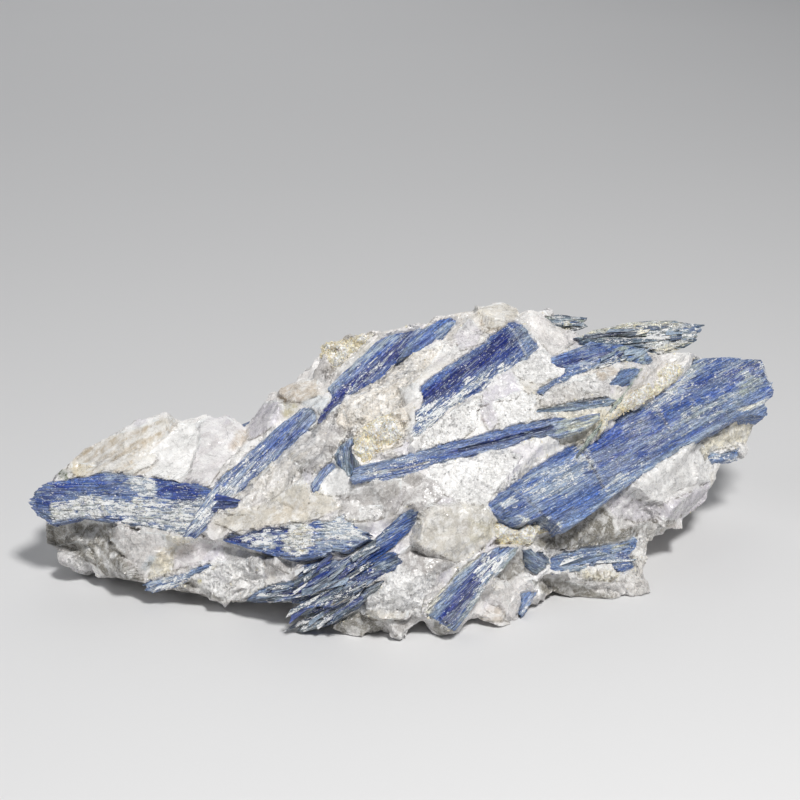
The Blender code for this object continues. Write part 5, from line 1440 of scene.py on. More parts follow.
def quartz_material():
    g = Graph("milky_quartz")
    p = g.place()
    col = g.attribute("tint", "Color")
    sugar = g.attribute("sugar")
    mid = g.noise(p, 0.55, 4, 0.6, 0.4)
    fine = g.noise(p, 3.2, 4, 0.65)
    veil = g.math("MULTIPLY", g.span(mid, 0.47, 0.62), 0.55)
    col = g.mix(veil, col, rgba("milk"))
    drift = g.vec("SUBTRACT", g.noise(p, 0.35, 3, 0.6, 0.0, "Color"), (0.5, 0.5, 0.5))
    q = g.vec("ADD", p, g.vec("SCALE", drift, 3.0))
    block = g.cells(q, 0.15)
    lump = g.cells(q, 0.42)
    tone = g.node("ShaderNodeSeparateColor", {0: block}).outputs[0]
    tone2 = g.node("ShaderNodeSeparateColor", {0: lump}).outputs[1]
    rugged = g.math("MULTIPLY_ADD", sugar, 0.80, 0.20)
    facet = g.math("MULTIPLY", g.math("MULTIPLY_ADD", g.math("MULTIPLY", g.math("SUBTRACT", tone, 0.5), rugged), 0.22, 1.0),
                   g.math("MULTIPLY_ADD", g.math("MULTIPLY", g.math("SUBTRACT", tone2, 0.5), rugged), 0.26, 1.0))
    cloud = g.noise(p, 0.20, 4, 0.6, 0.6)
    facet = g.math("MULTIPLY", facet, g.span(cloud, 0.34, 0.64, 0.90, 1.06))
    seam = g.math("MAXIMUM", g.span(g.cells(q, 0.15, "Distance", "DISTANCE_TO_EDGE"), 0.022, 0.006),
                  g.math("MULTIPLY", g.span(g.cells(q, 0.42, "Distance", "DISTANCE_TO_EDGE"), 0.045, 0.012), 0.55))
    seam = g.math("MULTIPLY", seam, g.span(g.noise(p, 0.5, 3, 0.6), 0.46, 0.56))
    tiny = g.noise(p, 1.3, 6, 0.72, 0.3)
    dim = g.math("MULTIPLY_ADD", g.math("MULTIPLY", g.math("SUBTRACT", fine, 0.5), rugged), 0.40, 1.0)
    mottle = g.math("SUBTRACT", g.span(tiny, 0.36, 0.62, 0.89, 1.19), 1.0)
    dim = g.math("MULTIPLY", dim, g.math("MULTIPLY_ADD", mottle, g.math("MULTIPLY_ADD", sugar, 0.80, 0.10), 1.0))
    grain = g.cells(p, 2.6, "Distance", "F1")
    dim = g.math("MULTIPLY", dim, g.math("MULTIPLY_ADD", g.math("MULTIPLY", g.span(grain, 0.35, 0.75), rugged), -0.09, 1.0))
    flaw = g.math("ABSOLUTE", g.math("SUBTRACT", g.noise(p, 0.30, 3, 0.6, 0.8), 0.5))
    dim = g.math("MULTIPLY", dim, g.span(flaw, 0.0, 0.012, 0.84, 1.0))
    dim = g.math("MULTIPLY", dim, facet)
    dim = g.math("MULTIPLY", dim, g.math("MULTIPLY_ADD", seam, -0.30, 1.0))
    col = g.mix(1.0, col, g.grey(dim), "MULTIPLY")
    # painted glints: milk-white specks (fleck) and brighter white specks (spark_on) stand for sparkle off the grains;
    # the grey specks (pit) are painted shade in small pits
    fleck = g.span(g.cells(p, 2.7, "Distance", "F1"), 0.30, 0.20)
    lit = g.node("ShaderNodeSeparateColor", {0: g.cells(p, 2.7)}).outputs[0]
    fleck = g.math("MULTIPLY", fleck, g.span(lit, 0.62, 0.70))
    col = g.mix(g.math("MULTIPLY", fleck, g.math("MULTIPLY_ADD", sugar, 0.75, 0.10)), col, rgba("milk"))
    spark = g.span(g.cells(p, 4.6, "Distance", "F1"), 0.34, 0.22)
    chosen = g.node("ShaderNodeSeparateColor", {0: g.cells(p, 4.6)}).outputs[1]
    spark_on = g.math("MULTIPLY", spark, g.span(chosen, 0.70, 0.74))
    pit = g.math("MULTIPLY", spark, g.span(chosen, 0.16, 0.12))
    col = g.mix(g.math("MULTIPLY", spark_on, g.math("MULTIPLY_ADD", sugar, 0.70, 0.18)), col, rgba("white", 1.08))
    col = g.mix(g.math("MULTIPLY", pit, g.math("MULTIPLY_ADD", sugar, 0.14, 0.02)), col, rgba("grey"))
    # the edges where broken faces meet: a painted highlight along the top of a face and painted shade along its foot
    seam_line = g.span(g.math("ABSOLUTE", g.attribute("seam")), 1.05, 0.35)
    side = g.attribute("side")
    patchy = g.span(g.noise(p, 0.7, 3, 0.6), 0.44, 0.56)
    crest = g.math("MULTIPLY", g.math("MULTIPLY", seam_line, g.span(side, -0.05, -0.45)), patchy)
    foot = g.math("MULTIPLY", g.math("MULTIPLY", seam_line, g.span(side, 0.10, 0.50)), patchy)
    col = g.mix(g.math("MULTIPLY", crest, 0.80), col, rgba("white", 1.08))
    col = g.mix(g.math("MULTIPLY", foot, 0.62), col, g.mix(0.5, rgba("shade", 0.7), rgba("brown", 0.9)))
    vein = g.math("ABSOLUTE", g.math("SUBTRACT", g.noise(p, 0.45, 4, 0.65, 0.5), 0.5))
    col = g.mix(g.math("MULTIPLY", g.span(vein, 0.012, 0.002), 0.5), col, rgba("milk"))
    rough = g.attribute("rough")
    rough = g.math("ADD", rough, g.span(fine, 0.35, 0.65, -0.12, 0.12), clamp=True)
    amount = g.math("MULTIPLY_ADD", sugar, 0.85, 0.12)
    normal = g.node("ShaderNodeNewGeometry").outputs["Normal"]
    normal = g.vec("ADD", normal, g.vec("SCALE", g.vec("SUBTRACT", block, (0.5, 0.5, 0.5)), g.math("MULTIPLY", rugged, 0.36)))
    normal = g.vec("ADD", normal, g.vec("SCALE", g.vec("SUBTRACT", lump, (0.5, 0.5, 0.5)), g.math("MULTIPLY", rugged, 0.42)))
    for scale, k in ((1.1, 0.55), (2.4, 1.0), (5.0, 1.0)):
        push = g.vec("SUBTRACT", g.cells(p, scale), (0.5, 0.5, 0.5))
        normal = g.vec("ADD", normal, g.vec("SCALE", push, g.math("MULTIPLY", amount, k)))
    normal = g.vec("NORMALIZE", normal)
    height = g.math("ADD", g.math("MULTIPLY", g.noise(p, 1.2, 5, 0.6, 0.4), rugged), g.math("MULTIPLY", grain, g.math("MULTIPLY", sugar, -0.45)))
    height = g.math("MULTIPLY_ADD", foot, -0.9, g.math("MULTIPLY_ADD", crest, 0.5, height))
    normal = g.bump(height, 0.34, 0.0005, normal)
    return g.done(Base_Color=col, Roughness=rough, Normal=normal, IOR=1.54, Subsurface_Weight=0.25,
                  Subsurface_Radius=(1.0, 0.96, 0.92), Subsurface_Scale=0.0009)


def kyanite_material():
    g = Graph("kyanite_blades")
    v = g.attribute("grain", "Vector")
    p = g.place()
    col = g.attribute("tint", "Color")
    pale, deep, frost = g.attribute("pale"), g.attribute("deep"), g.attribute("frost")

    def streak(stretch, shift, detail=3, rough=0.6, warp=0.1):
        return g.noise(g.vec("ADD", g.vec("MULTIPLY", v, stretch), shift), 1.0, detail, rough, warp)

    wide = streak((0.07, 1.0, 0.6), (3.0, 9.0, 1.0))
    mid = streak((0.20, 2.7, 1.2), (31.0, 7.0, 3.0), 4, 0.65)
    thin = streak((0.60, 5.4, 2.0), (11.0, 27.0, 5.0), 3, 0.7)
    other = streak((0.13, 3.3, 1.4), (71.0, 17.0, 9.0))
    salt = g.noise(g.vec("MULTIPLY", v, (1.3, 4.4, 3.0)), 1.0, 3, 0.7, 0.2)
    pepper = g.noise(g.vec("ADD", g.vec("MULTIPLY", v, (3.2, 4.6, 4.0)), (9.0, 2.0, 5.0)), 1.0, 2, 0.6, 0.3)
    blade = g.noise(g.vec("ADD", g.vec("MULTIPLY", v, (0.85, 2.3, 2.0)), (2.0, 19.0, 8.0)), 1.0, 3, 0.65, 0.3)
    shade = g.math("MULTIPLY", g.math("MULTIPLY_ADD", mid, 0.90, 0.55), g.math("MULTIPLY_ADD", thin, 0.60, 0.70))
    shade = g.math("MULTIPLY", shade, g.span(blade, 0.36, 0.64, 0.68, 1.36, False))
    shade = g.math("MULTIPLY", shade, g.math("MULTIPLY_ADD", wide, 0.50, 0.75))
    shade = g.math("MULTIPLY", shade, g.span(salt, 0.32, 0.68, 0.62, 1.42, False))
    shade = g.math("MULTIPLY", shade, g.span(pepper, 0.32, 0.68, 0.62, 1.40, False))
    greyed = g.span(g.noise(g.vec("MULTIPLY", v, (0.10, 0.5, 0.5)), 1.0, 4, 0.65, 0.3), 0.40, 0.58)
    plain = g.span(deep, 0.30, 0.55, 1.0, 0.15)
    col = g.mix(g.math("MULTIPLY", g.math("MULTIPLY", greyed, 0.36), plain), col, g.mix(0.5, rgba("pale", 0.9), rgba("sage", 0.85)))
    lath = g.node("ShaderNodeSeparateColor", {0: g.cells(g.vec("ADD", g.vec("MULTIPLY", v, (0.055, 0.62, 0.4)), g.vec("SCALE", g.noise(g.vec("MULTIPLY", v, (0.3, 0.9, 0.6)), 1.0, 2, 0.5, 0.0, "Color"), 0.22)), 1.0)}).outputs
    shade = g.math("MULTIPLY", shade, g.span(lath[0], 0.1, 0.9, 0.84, 1.16, False))
    col = g.mix(g.math("MULTIPLY", g.span(lath[1], 0.55, 0.85), 0.22), col, rgba("sage", 0.9))
    col = g.mix(g.math("MULTIPLY", g.span(lath[2], 0.60, 0.90), 0.20), col, rgba("violet", 0.9))
    col = g.mix(1.0, col, g.grey(shade), "MULTIPLY")
    # dark streaks, then pale ones, each sharper than its own density
    mixed = g.math("ADD", g.math("MULTIPLY", other, 0.55), g.math("ADD", g.math("MULTIPLY", wide, 0.2), g.math("MULTIPLY", thin, 0.25)))
    cut = g.math("MULTIPLY_ADD", deep, -0.26, 0.655)
    dark = g.math("MULTIPLY", g.math("SUBTRACT", mixed, cut), 34.0, clamp=True)
    col = g.mix(g.math("MULTIPLY", dark, 0.68), col, g.mix(0.62, rgba("navy", 0.9), rgba("dark", 1.0)))
    mixed = g.math("ADD", g.math("MULTIPLY", mid, 0.45), g.math("ADD", g.math("MULTIPLY", wide, 0.2), g.math("MULTIPLY", thin, 0.35)))
    cut = g.math("MULTIPLY_ADD", pale, -0.25, 0.645)
    light = g.math("MULTIPLY", g.math("SUBTRACT", mixed, cut), 30.0, clamp=True)
    tone = g.mix(g.span(thin, 0.45, 0.6), rgba("pale"), rgba("ice"))
    col = g.mix(g.math("MULTIPLY", light, 0.72), col, tone)
    # long hair lines along the cleavage
    hair = g.math("ABSOLUTE", g.math("SUBTRACT", streak((0.035, 1.9, 0.5), (5.0, 41.0, 2.0), 2, 0.5, 0.0), 0.5))
    gate = g.span(g.noise(g.vec("MULTIPLY", v, (0.12, 0.7, 0.5)), 1.0, 2, 0.5), 0.44, 0.54)
    hair = g.math("MULTIPLY", g.span(hair, 0.016, 0.004), gate)
    col = g.mix(g.math("MULTIPLY", hair, 0.55), col, rgba("ice"))
    seam = g.math("ABSOLUTE", g.math("SUBTRACT", streak((0.03, 1.6, 0.5), (45.0, 1.0, 7.0), 2, 0.5, 0.0), 0.5))
    seam = g.math("MULTIPLY", g.span(seam, 0.014, 0.004), g.math("SUBTRACT", 1.0, gate))
    col = g.mix(g.math("MULTIPLY", seam, 0.6), col, rgba("dark", 0.8))
    for stretch, shift, width, gate_scale, tone, amount in (
            ((0.05, 3.4, 0.5), (15.0, 3.0, 2.0), 0.020, (0.22, 1.3, 0.5), "ice", 0.32), ((0.06, 4.6, 0.5), (1.0, 63.0, 2.0), 0.022, (0.30, 1.6, 0.5), "navy", 0.55),
            ((0.05, 3.0, 0.5), (8.0, 83.0, 2.0), 0.020, (0.26, 1.2, 0.5), "dark", 0.45), ((0.08, 5.2, 0.5), (28.0, 13.0, 2.0), 0.024, (0.34, 1.9, 0.5), "white", 0.28)):
        line = g.math("ABSOLUTE", g.math("SUBTRACT", streak(stretch, shift, 1, 0.5, 0.0), 0.5))
        gated = g.span(g.noise(g.vec("ADD", g.vec("MULTIPLY", v, gate_scale), shift), 1.0, 3, 0.6), 0.47, 0.55)
        amount = g.math("MULTIPLY", g.math("MULTIPLY_ADD", plain, 0.75, 0.25), amount) if tone in ("ice", "white") else amount
        col = g.mix(g.math("MULTIPLY", g.math("MULTIPLY", g.span(line, width, width * 0.35), gated), amount), col, rgba(tone))
    # white flecks: short dashes and crumbs
    dash = g.noise(g.vec("MULTIPLY", v, (1.15, 3.6, 2.4)), 1.0, 4, 0.72, 0.5)
    crumb = g.noise(p, 3.4, 3, 0.65)
    mixed = g.math("ADD", g.math("MULTIPLY", dash, 0.6), g.math("MULTIPLY", crumb, 0.4))
    clump = g.span(g.noise(g.vec("ADD", g.vec("MULTIPLY", v, (0.42, 1.25, 1.0)), (6.0, 51.0, 3.0)), 1.0, 3, 0.6, 0.4), 0.40, 0.60, 0.055, -0.055)
    clump = g.math("MULTIPLY", clump, g.span(frost, 0.12, 0.50, 0.15, 1.15))
    cut = g.math("ADD", g.math("MULTIPLY_ADD", frost, -0.24, 0.664), clump)
    speck = g.math("MULTIPLY", g.math("SUBTRACT", mixed, cut), 40.0, clamp=True)
    # a painted shadow along one side of each white fleck, made from the same flecks shifted a little
    aside = g.noise(g.vec("ADD", g.vec("MULTIPLY", v, (1.15, 3.6, 2.4)), (0.16, 0.62, 0.0)), 1.0, 4, 0.72, 0.5)
    lower = g.math("ADD", g.math("MULTIPLY", aside, 0.6), g.math("MULTIPLY", crumb, 0.4))
    lower = g.math("MULTIPLY", g.math("SUBTRACT", lower, cut), 40.0, clamp=True)
    col = g.mix(g.math("MULTIPLY", g.math("MULTIPLY", lower, g.math("SUBTRACT", 1.0, speck)), 0.45), col, g.mix(0.5, rgba("navy", 0.8), rgba("dark", 0.9)))
    col = g.mix(g.math("MULTIPLY", speck, 0.92), col, g.mix(crumb, rgba("white", 1.08), rgba("milk", 1.04)))
    dots = g.vec("MULTIPLY", v, (2.8, 4.4, 3.4))
    near = g.span(g.cells(dots, 1.0, "Distance", "F1"), 0.42, 0.26)
    pick = g.node("ShaderNodeSeparateColor", {0: g.cells(dots, 1.0)}).outputs[0]
    bright = g.math("MULTIPLY", near, g.math("GREATER_THAN", pick, g.math("MULTIPLY_ADD", frost, -0.50, 1.04)))
    col = g.mix(g.math("MULTIPLY", bright, 0.60), col, rgba("white"))
    col = g.mix(g.math("MULTIPLY", g.math("MULTIPLY", near, g.math("LESS_THAN", pick, 0.10)), 0.45), col, g.mix(0.7, rgba("navy", 0.8), rgba("dark", 0.9)))
    rough = g.math("ADD", g.attribute("rough"), g.math("MULTIPLY", speck, 0.25), clamp=True)
    rough = g.math("ADD", rough, g.span(mid, 0.3, 0.7, -0.08, 0.08), clamp=True)
    height = g.math("ADD", g.math("MULTIPLY", thin, 0.55), g.math("MULTIPLY", mid, 0.9))
    height = g.math("ADD", height, g.math("MULTIPLY", speck, 0.22))
    height = g.math("SUBTRACT", height, g.math("MULTIPLY", seam, 0.35))
    normal = g.glint(g.vec("MULTIPLY", v, (0.7, 3.4, 1.0)), ((1.0, 0.34),))
    normal = g.bump(height, 0.7, 0.00025, normal)
    return g.done(Base_Color=col, Roughness=rough, Normal=normal, IOR=1.55, Subsurface_Weight=0.05,
                  Subsurface_Radius=(0.6, 0.8, 1.0), Subsurface_Scale=0.0006)


def mica_material():
    g = Graph("mica_flakes")
    p = g.place()
    col = g.attribute("tint", "Color")
    fine = g.noise(p, 3.2, 4, 0.6)
    tone = g.math("MULTIPLY_ADD", fine, 0.44, 1.10)
    col = g.mix(1.0, col, g.grey(tone), "MULTIPLY")
    stain = g.math("MULTIPLY", g.span(g.noise(p, 0.5, 4, 0.65), 0.50, 0.62), 0.60)
    col = g.mix(stain, col, rgba("gold"))
    q = g.vec("ADD", p, g.vec("SCALE", g.vec("SUBTRACT", g.noise(p, 0.9, 3, 0.6, 0.0, "Color"), (0.5, 0.5, 0.5)), 0.9))
    plate = g.node("ShaderNodeSeparateColor", {0: g.cells(q, 1.15)}).outputs
    col = g.mix(1.0, col, g.grey(g.span(plate[0], 0.1, 0.9, 0.86, 1.16, False)), "MULTIPLY")
    edge = g.math("MULTIPLY", g.span(g.cells(q, 1.15, "Distance", "DISTANCE_TO_EDGE"), 0.10, 0.03), g.span(g.noise(p, 0.45, 3, 0.6), 0.42, 0.56))
    col = g.mix(g.math("MULTIPLY", edge, 0.42), col, rgba("gold", 0.66))
    gap = g.math("ABSOLUTE", g.math("SUBTRACT", g.noise(p, 0.42, 3, 0.6, 0.4), 0.5))
    col = g.mix(g.math("MULTIPLY", g.span(gap, 0.022, 0.006), 0.50), col, rgba("gold", 0.6))
    # painted highlights: white specks on part of the cells stand for glints off the flakes
    fleck = g.span(g.cells(p, 2.4, "Distance", "F1"), 0.36, 0.22)
    lit = g.node("ShaderNodeSeparateColor", {0: g.cells(p, 2.4)}).outputs[0]
    col = g.mix(g.math("MULTIPLY", g.math("MULTIPLY", fleck, g.span(lit, 0.45, 0.55)), 0.80), col, rgba("white", 1.08))
    normal = g.glint(p, ((3.4, 0.55), (6.5, 0.7)))
    normal = g.bump(g.noise(p, 2.2, 5, 0.7), 0.6, 0.0005, normal)
    rough = g.math("ADD", g.attribute("rough"), g.span(fine, 0.3, 0.7, -0.1, 0.1), clamp=True)
    return g.done(Base_Color=col, Roughness=rough, Normal=normal, IOR=1.56, Subsurface_Weight=0.40,
                  Subsurface_Radius=(1.0, 0.85, 0.6), Subsurface_Scale=0.0010)


QUARTZ = quartz_material()
KYANITE = kyanite_material()
MICA = mica_material()

# ------------------------------------------------------------------ the crystals' planes
FRONT = {key: front_crystal(key) for key in OUTLINES}


def node_crystal(key, node):
    """A crystal on the back, read off its CAD solid."""
    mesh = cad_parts[node].data
    co = np.array([v.co for v in mesh.vertices], float) / MM - SHIFT
    centre = (co.min(0) + co.max(0)) / 2
    centre = co.mean(0)
    _, _, axes = np.linalg.svd(co - centre, full_matrices=False)
    along, normal = axes[0], axes[2]
    if along[0] < 0:
        along = -along
    if normal[1] < 0:
        normal = -normal
    across = np.cross(normal, along)
    d = co - centre
    h = d @ normal
    thick = float(h.max() - h.min())
    centre = centre + normal * h.max()
    pts = np.stack([d @ along, d @ across], -1)
    from mathutils.geometry import convex_hull_2d
    hull = [pts[i] for i in convex_hull_2d([Vector(p) for p in pts])]
    return Crystal(key, node, thick, centre, along, across, normal, hull)


BACK = {key: node_crystal(key, node) for key, (node, *_) in HIDDEN.items()}
BACK["mB"] = node_crystal("mB", "mica_clump_back")
CRYSTALS = {**FRONT, **BACK}
# a crystal on the back never shows over the rock's skyline from the front
for key, c in BACK.items():
    middle = c.flat.mean(0)
    for i, q in enumerate(c.flat):
        for _ in range(12):
            u, v = to_sheet(c.world(np.array([[q[0], q[1], 0.0]])))[0]
            if v > skyline(u) + 7.0:
                break
            q = middle + (q - middle) * 0.9
        c.flat[i] = q
for key, points in SHAPES.items():
    c = CRYSTALS[key]
    c.flat = np.array(on_plane(c, points))
    if c.turned():
        c.flat = c.flat[::-1]

# ------------------------------------------------------------------ quartz
# facets of the broken rock on the display face:
# outline, colour, strength, relief left on it, sugar (0 glassy .. 1 grainy), tip up (deg), turn right (deg), raise (mm)
# painted shade: the "shade" facets, the "grey" facets tipped down by 12 deg or more and the "tan" facets at (479, 318)
# and (590, 368) darken faces that lie in shade
FACETS = [
    ([(66, 470), (76, 450), (100, 439), (130, 430), (166, 417), (175, 418), (165, 436), (150, 446), (158, 460), (140, 470), (135, 475), (104, 470), (80, 478)], "beige", 0.75, 0.30, 0.25, 6, -4, 0.0),
    ([(150, 446), (165, 436), (178, 424), (196, 424), (200, 440), (190, 470), (186, 484), (140, 474), (158, 460)], "milk", 0.8, 0.16, 0.2, 8, 0, 0.3),
    ([(196, 424), (212, 414), (225, 416), (246, 428), (250, 436), (230, 456), (208, 488), (186, 484), (190, 470), (200, 440)], "lavender", 0.30, 0.16, 0.15, 2, 10, 0.1),
    ([(72, 462), (95, 466), (90, 479), (72, 479)], "gold", 0.45, 0.2, 0.2, 0, -6, 0.0),
    ([(43, 524), (70, 520), (113, 524), (112, 540), (128, 560), (144, 580), (130, 582), (110, 580), (98, 566), (80, 556), (60, 547), (43, 542)], "shade", 0.9, 0.45, 0.15, -22, -12, 0.0),
    ([(58, 546), (78, 541), (90, 551), (101, 566), (85, 560), (70, 553)], "shade", 0.7, 0.3, 0.1, -30, -10, 0.1),
    ([(114, 526), (140, 533), (163, 533), (165, 545), (150, 560), (143, 577), (128, 560), (112, 540)], "quartz", 0.8, 0.25, 0.35, 8, 4, 0.7),
    ([(163, 533), (200, 538), (215, 545), (200, 562), (170, 573), (148, 580), (150, 562), (165, 545)], "cream", 0.65, 0.35, 0.4, 4, 2, 0.3),
    ([(176, 548), (200, 540), (224, 548), (216, 561), (190, 567), (172, 571)], "lavender", 0.7, 0.2, 0.2, 0, 4, 0.0),
    ([(200, 563), (222, 562), (262, 556), (266, 592), (240, 601), (215, 601), (204, 584), (197, 577)], "milk", 0.7, 0.8, 0.9, 2, 0, 0.3),
    ([(160, 592), (196, 578), (205, 591), (226, 601), (200, 598), (175, 593)], "shade", 0.75, 0.5, 0.3, -25, 0, 0.0),
    ([(222, 545), (260, 553), (292, 557), (290, 574), (262, 562), (228, 562)], "grey", 0.7, 0.3, 0.2, -12, 0, 0.0),
    ([(243, 492), (285, 455), (302, 468), (300, 482), (262, 505), (245, 515), (215, 516), (222, 508)], "quartz", 0.7, 0.5, 0.5, 4, 4, 0.1),
    ([(215, 516), (262, 505), (300, 482), (332, 494), (342, 508), (312, 521), (265, 526), (235, 532), (212, 523)], "beige", 0.8, 0.18, 0.15, 4, 0, 0.0),
    ([(300, 440), (318, 420), (340, 404), (352, 425), (336, 448), (331, 462), (318, 476), (302, 470), (286, 455)], "grey", 0.8, 0.4, 0.4, -2, 4, -0.2),
    ([(330, 465), (345, 468), (356, 483), (350, 496), (330, 496), (310, 492)], "milk", 0.9, 0.15, 0.2, 10, -2, 0.4),
    ([(340, 403), (380, 377), (412, 351), (446, 344), (428, 368), (412, 385), (402, 400), (410, 420), (402, 446), (384, 452), (350, 432), (334, 422)], "shell", 0.85, 0.6, 0.8, 4, 2, 0.0),
    ([(398, 390), (418, 383), (424, 396), (406, 404)], "milk", 1.0, 0.08, 0.1, 8, 4, 0.4),
    ([(247, 430), (254, 410), (266, 402), (283, 400), (284, 416), (265, 433), (248, 441)], "lavender", 0.7, 0.2, 0.2, 6, -4, 0.2),
    ([(278, 384), (318, 379), (317, 396), (300, 403), (287, 402), (279, 396)], "tan", 0.5, 0.14, 0.15, 0, 0, 0.2),
    ([(299, 403), (318, 396), (332, 398), (336, 408), (322, 421), (317, 410), (306, 406)], "ice", 0.6, 0.2, 0.2, 4, 0, 0.0),
    ([(340, 506), (346, 495), (366, 485), (400, 478), (403, 500), (396, 513), (376, 521), (350, 522), (338, 516)], "grey", 0.65, 0.22, 0.25, 0, 2, 0.0),
    ([(360, 506), (382, 506), (380, 519), (358, 521)], "milk", 0.8, 0.7, 0.9, 2, 0, 0.1),
    ([(400, 478), (412, 471), (438, 480), (446, 495), (432, 506), (418, 514), (411, 508), (402, 505)], "grey", 0.85, 0.14, 0.2, -4, -4, 0.0),
    ([(430, 473), (440, 462), (470, 455), (500, 448), (522, 456), (498, 490), (490, 500), (484, 506), (460, 503), (445, 495), (438, 480)], "milk", 0.85, 0.45, 0.7, 6, 2, 0.3),
    ([(418, 514), (432, 505), (460, 503), (484, 505), (500, 520), (500, 530), (486, 546), (472, 557), (455, 563), (440, 556), (420, 549), (411, 541), (414, 525)], "beige", 0.7, 0.16, 0.2, 6, 2, 1.0),
    ([(411, 545), (430, 551), (456, 564), (440, 573), (415, 576), (400, 563), (398, 555)], "grey", 0.85, 0.25, 0.2, -14, -6, -0.4),
    ([(396, 560), (415, 575), (440, 572), (424, 600), (420, 617), (400, 612), (375, 612), (358, 609), (385, 585), (392, 572)], "milk", 0.85, 0.45, 0.7, 8, -2, 0.2),
    ([(335, 622), (358, 611), (386, 622), (381, 631), (350, 638), (336, 635)], "shade", 0.9, 0.3, 0.2, -26, -4, 0.0),
    ([(385, 621), (412, 614), (424, 618), (406, 629), (396, 638), (388, 631)], "grey", 0.9, 0.25, 0.2, -22, 4, 0.0),
    ([(358, 608), (385, 612), (412, 612), (400, 621), (370, 619)], "beige", 0.7, 0.25, 0.3, 10, 0, 0.4),
    ([(500, 585), (520, 575), (535, 580), (533, 600), (520, 626), (505, 621), (480, 621), (490, 600)], "quartz", 0.7, 0.25, 0.25, -4, 6, 0.2),
    ([(500, 548), (515, 548), (526, 556), (527, 570), (510, 579), (498, 579)], "shade", 0.75, 0.18, 0.1, -10, 0, -0.2),
    ([(478, 622), (492, 600), (506, 612), (503, 622)], "tan", 0.4, 0.25, 0.2, -16, -4, 0.0),
    ([(434, 620), (456, 630), (440, 635), (433, 629)], "shade", 0.8, 0.3, 0.2, -20, 0, 0.0),
    ([(474, 308), (505, 302), (518, 308), (517, 318), (505, 326), (490, 329), (477, 318)], "beige", 0.85, 0.10, 0.1, 0, 0, 0.5),
    ([(479, 318), (490, 329), (503, 327), (492, 334), (481, 331)], "tan", 0.6, 0.2, 0.2, -10, 0, -0.2),
    ([(453, 336), (470, 319), (482, 332), (478, 345), (460, 351)], "lavender", 0.6, 0.35, 0.5, 4, 0, 0.0),
    ([(518, 313), (535, 315), (545, 310), (551, 320), (560, 330), (580, 333), (576, 342), (560, 352), (552, 356), (543, 345), (534, 335), (522, 320)], "quartz", 0.8, 0.2, 0.25, 6, 2, 0.3),
    ([(530, 355), (545, 350), (552, 358), (562, 368), (558, 376), (540, 385), (520, 379), (512, 371)], "milk", 0.85, 0.6, 0.8, 4, -2, 0.1),
    ([(520, 378), (540, 384), (557, 377), (560, 381), (540, 390), (528, 394), (516, 384)], "beige", 0.7, 0.3, 0.3, -12, 0, 0.0),
    ([(484, 392), (500, 374), (512, 371), (523, 390), (515, 400), (492, 402), (480, 408)], "lavender", 0.75, 0.15, 0.15, 4, -4, 0.1),
    ([(480, 400), (492, 402), (500, 420), (491, 433), (481, 420)], "lavender", 0.7, 0.15, 0.2, 0, 6, 0.0),
    ([(492, 402), (515, 392), (536, 396), (534, 408), (546, 417), (520, 425), (500, 431), (497, 415)], "milk", 0.95, 0.4, 0.7, 6, 2, 0.2),
    ([(440, 420), (470, 400), (480, 400), (480, 425), (462, 440), (430, 446), (420, 440)], "milk", 0.85, 0.5, 0.8, 4, 0, 0.0),
    ([(540, 400), (575, 380), (605, 371), (611, 385), (608, 397), (575, 401), (540, 407)], "grey", 0.5, 0.35, 0.55, 2, 0, 0.0),
    ([(580, 378), (598, 376), (600, 392), (582, 394)], "milk", 0.7, 0.8, 1.0, 2, 0, 0.1),
    ([(590, 368), (612, 364), (619, 372), (602, 381)], "tan", 0.5, 0.4, 0.4, -6, 0, 0.0),
    ([(622, 490), (640, 477), (680, 450), (700, 441), (709, 455), (710, 480), (690, 492), (660, 505), (640, 500), (628, 500)], "milk", 0.85, 0.22, 0.3, 10, 4, 0.5),
    ([(608, 500), (622, 490), (640, 500), (660, 505), (655, 519), (635, 523), (612, 516)], "lavender", 0.7, 0.5, 0.6, 2, -4, 0.2),
    ([(660, 505), (690, 492), (710, 480), (710, 500), (702, 505), (699, 516), (680, 521), (655, 520)], "lavender", 0.8, 0.2, 0.2, -2, 6, 0.3),
    ([(556, 530), (600, 502), (612, 515), (618, 530), (640, 523), (680, 520), (640, 536), (600, 546), (570, 549), (545, 549), (528, 541)], "shade", 0.95, 0.2, 0.15, -24, -6, 0.0),
    ([(655, 519), (682, 519), (640, 535), (624, 539), (640, 528)], "grey", 0.7, 0.25, 0.2, -18, 6, 0.0),
    ([(705, 437), (740, 416), (770, 416), (757, 430), (746, 443), (735, 446), (712, 451), (705, 461), (700, 450)], "cream", 0.75, 0.4, 0.5, 6, 4, 0.1),
    ([(560, 575), (590, 568), (618, 572), (640, 578), (650, 590), (640, 599), (625, 601), (600, 598), (575, 592)], "quartz", 0.8, 0.6, 0.7, 4, 2, 0.4),
    ([(574, 570), (604, 566), (622, 574), (610, 582), (584, 580)], "cream", 0.8, 0.7, 0.9, 6, 0, 0.2),
    ([(530, 580), (560, 577), (600, 593), (642, 604), (628, 607), (580, 600), (545, 596)], "shade", 0.9, 0.3, 0.2, -26, 0, 0.0),
    ([(556, 408), (600, 402), (612, 412), (604, 430), (578, 446), (560, 444)], "cream", 0.6, 0.4, 0.5, 2, 2, 0.1),
]
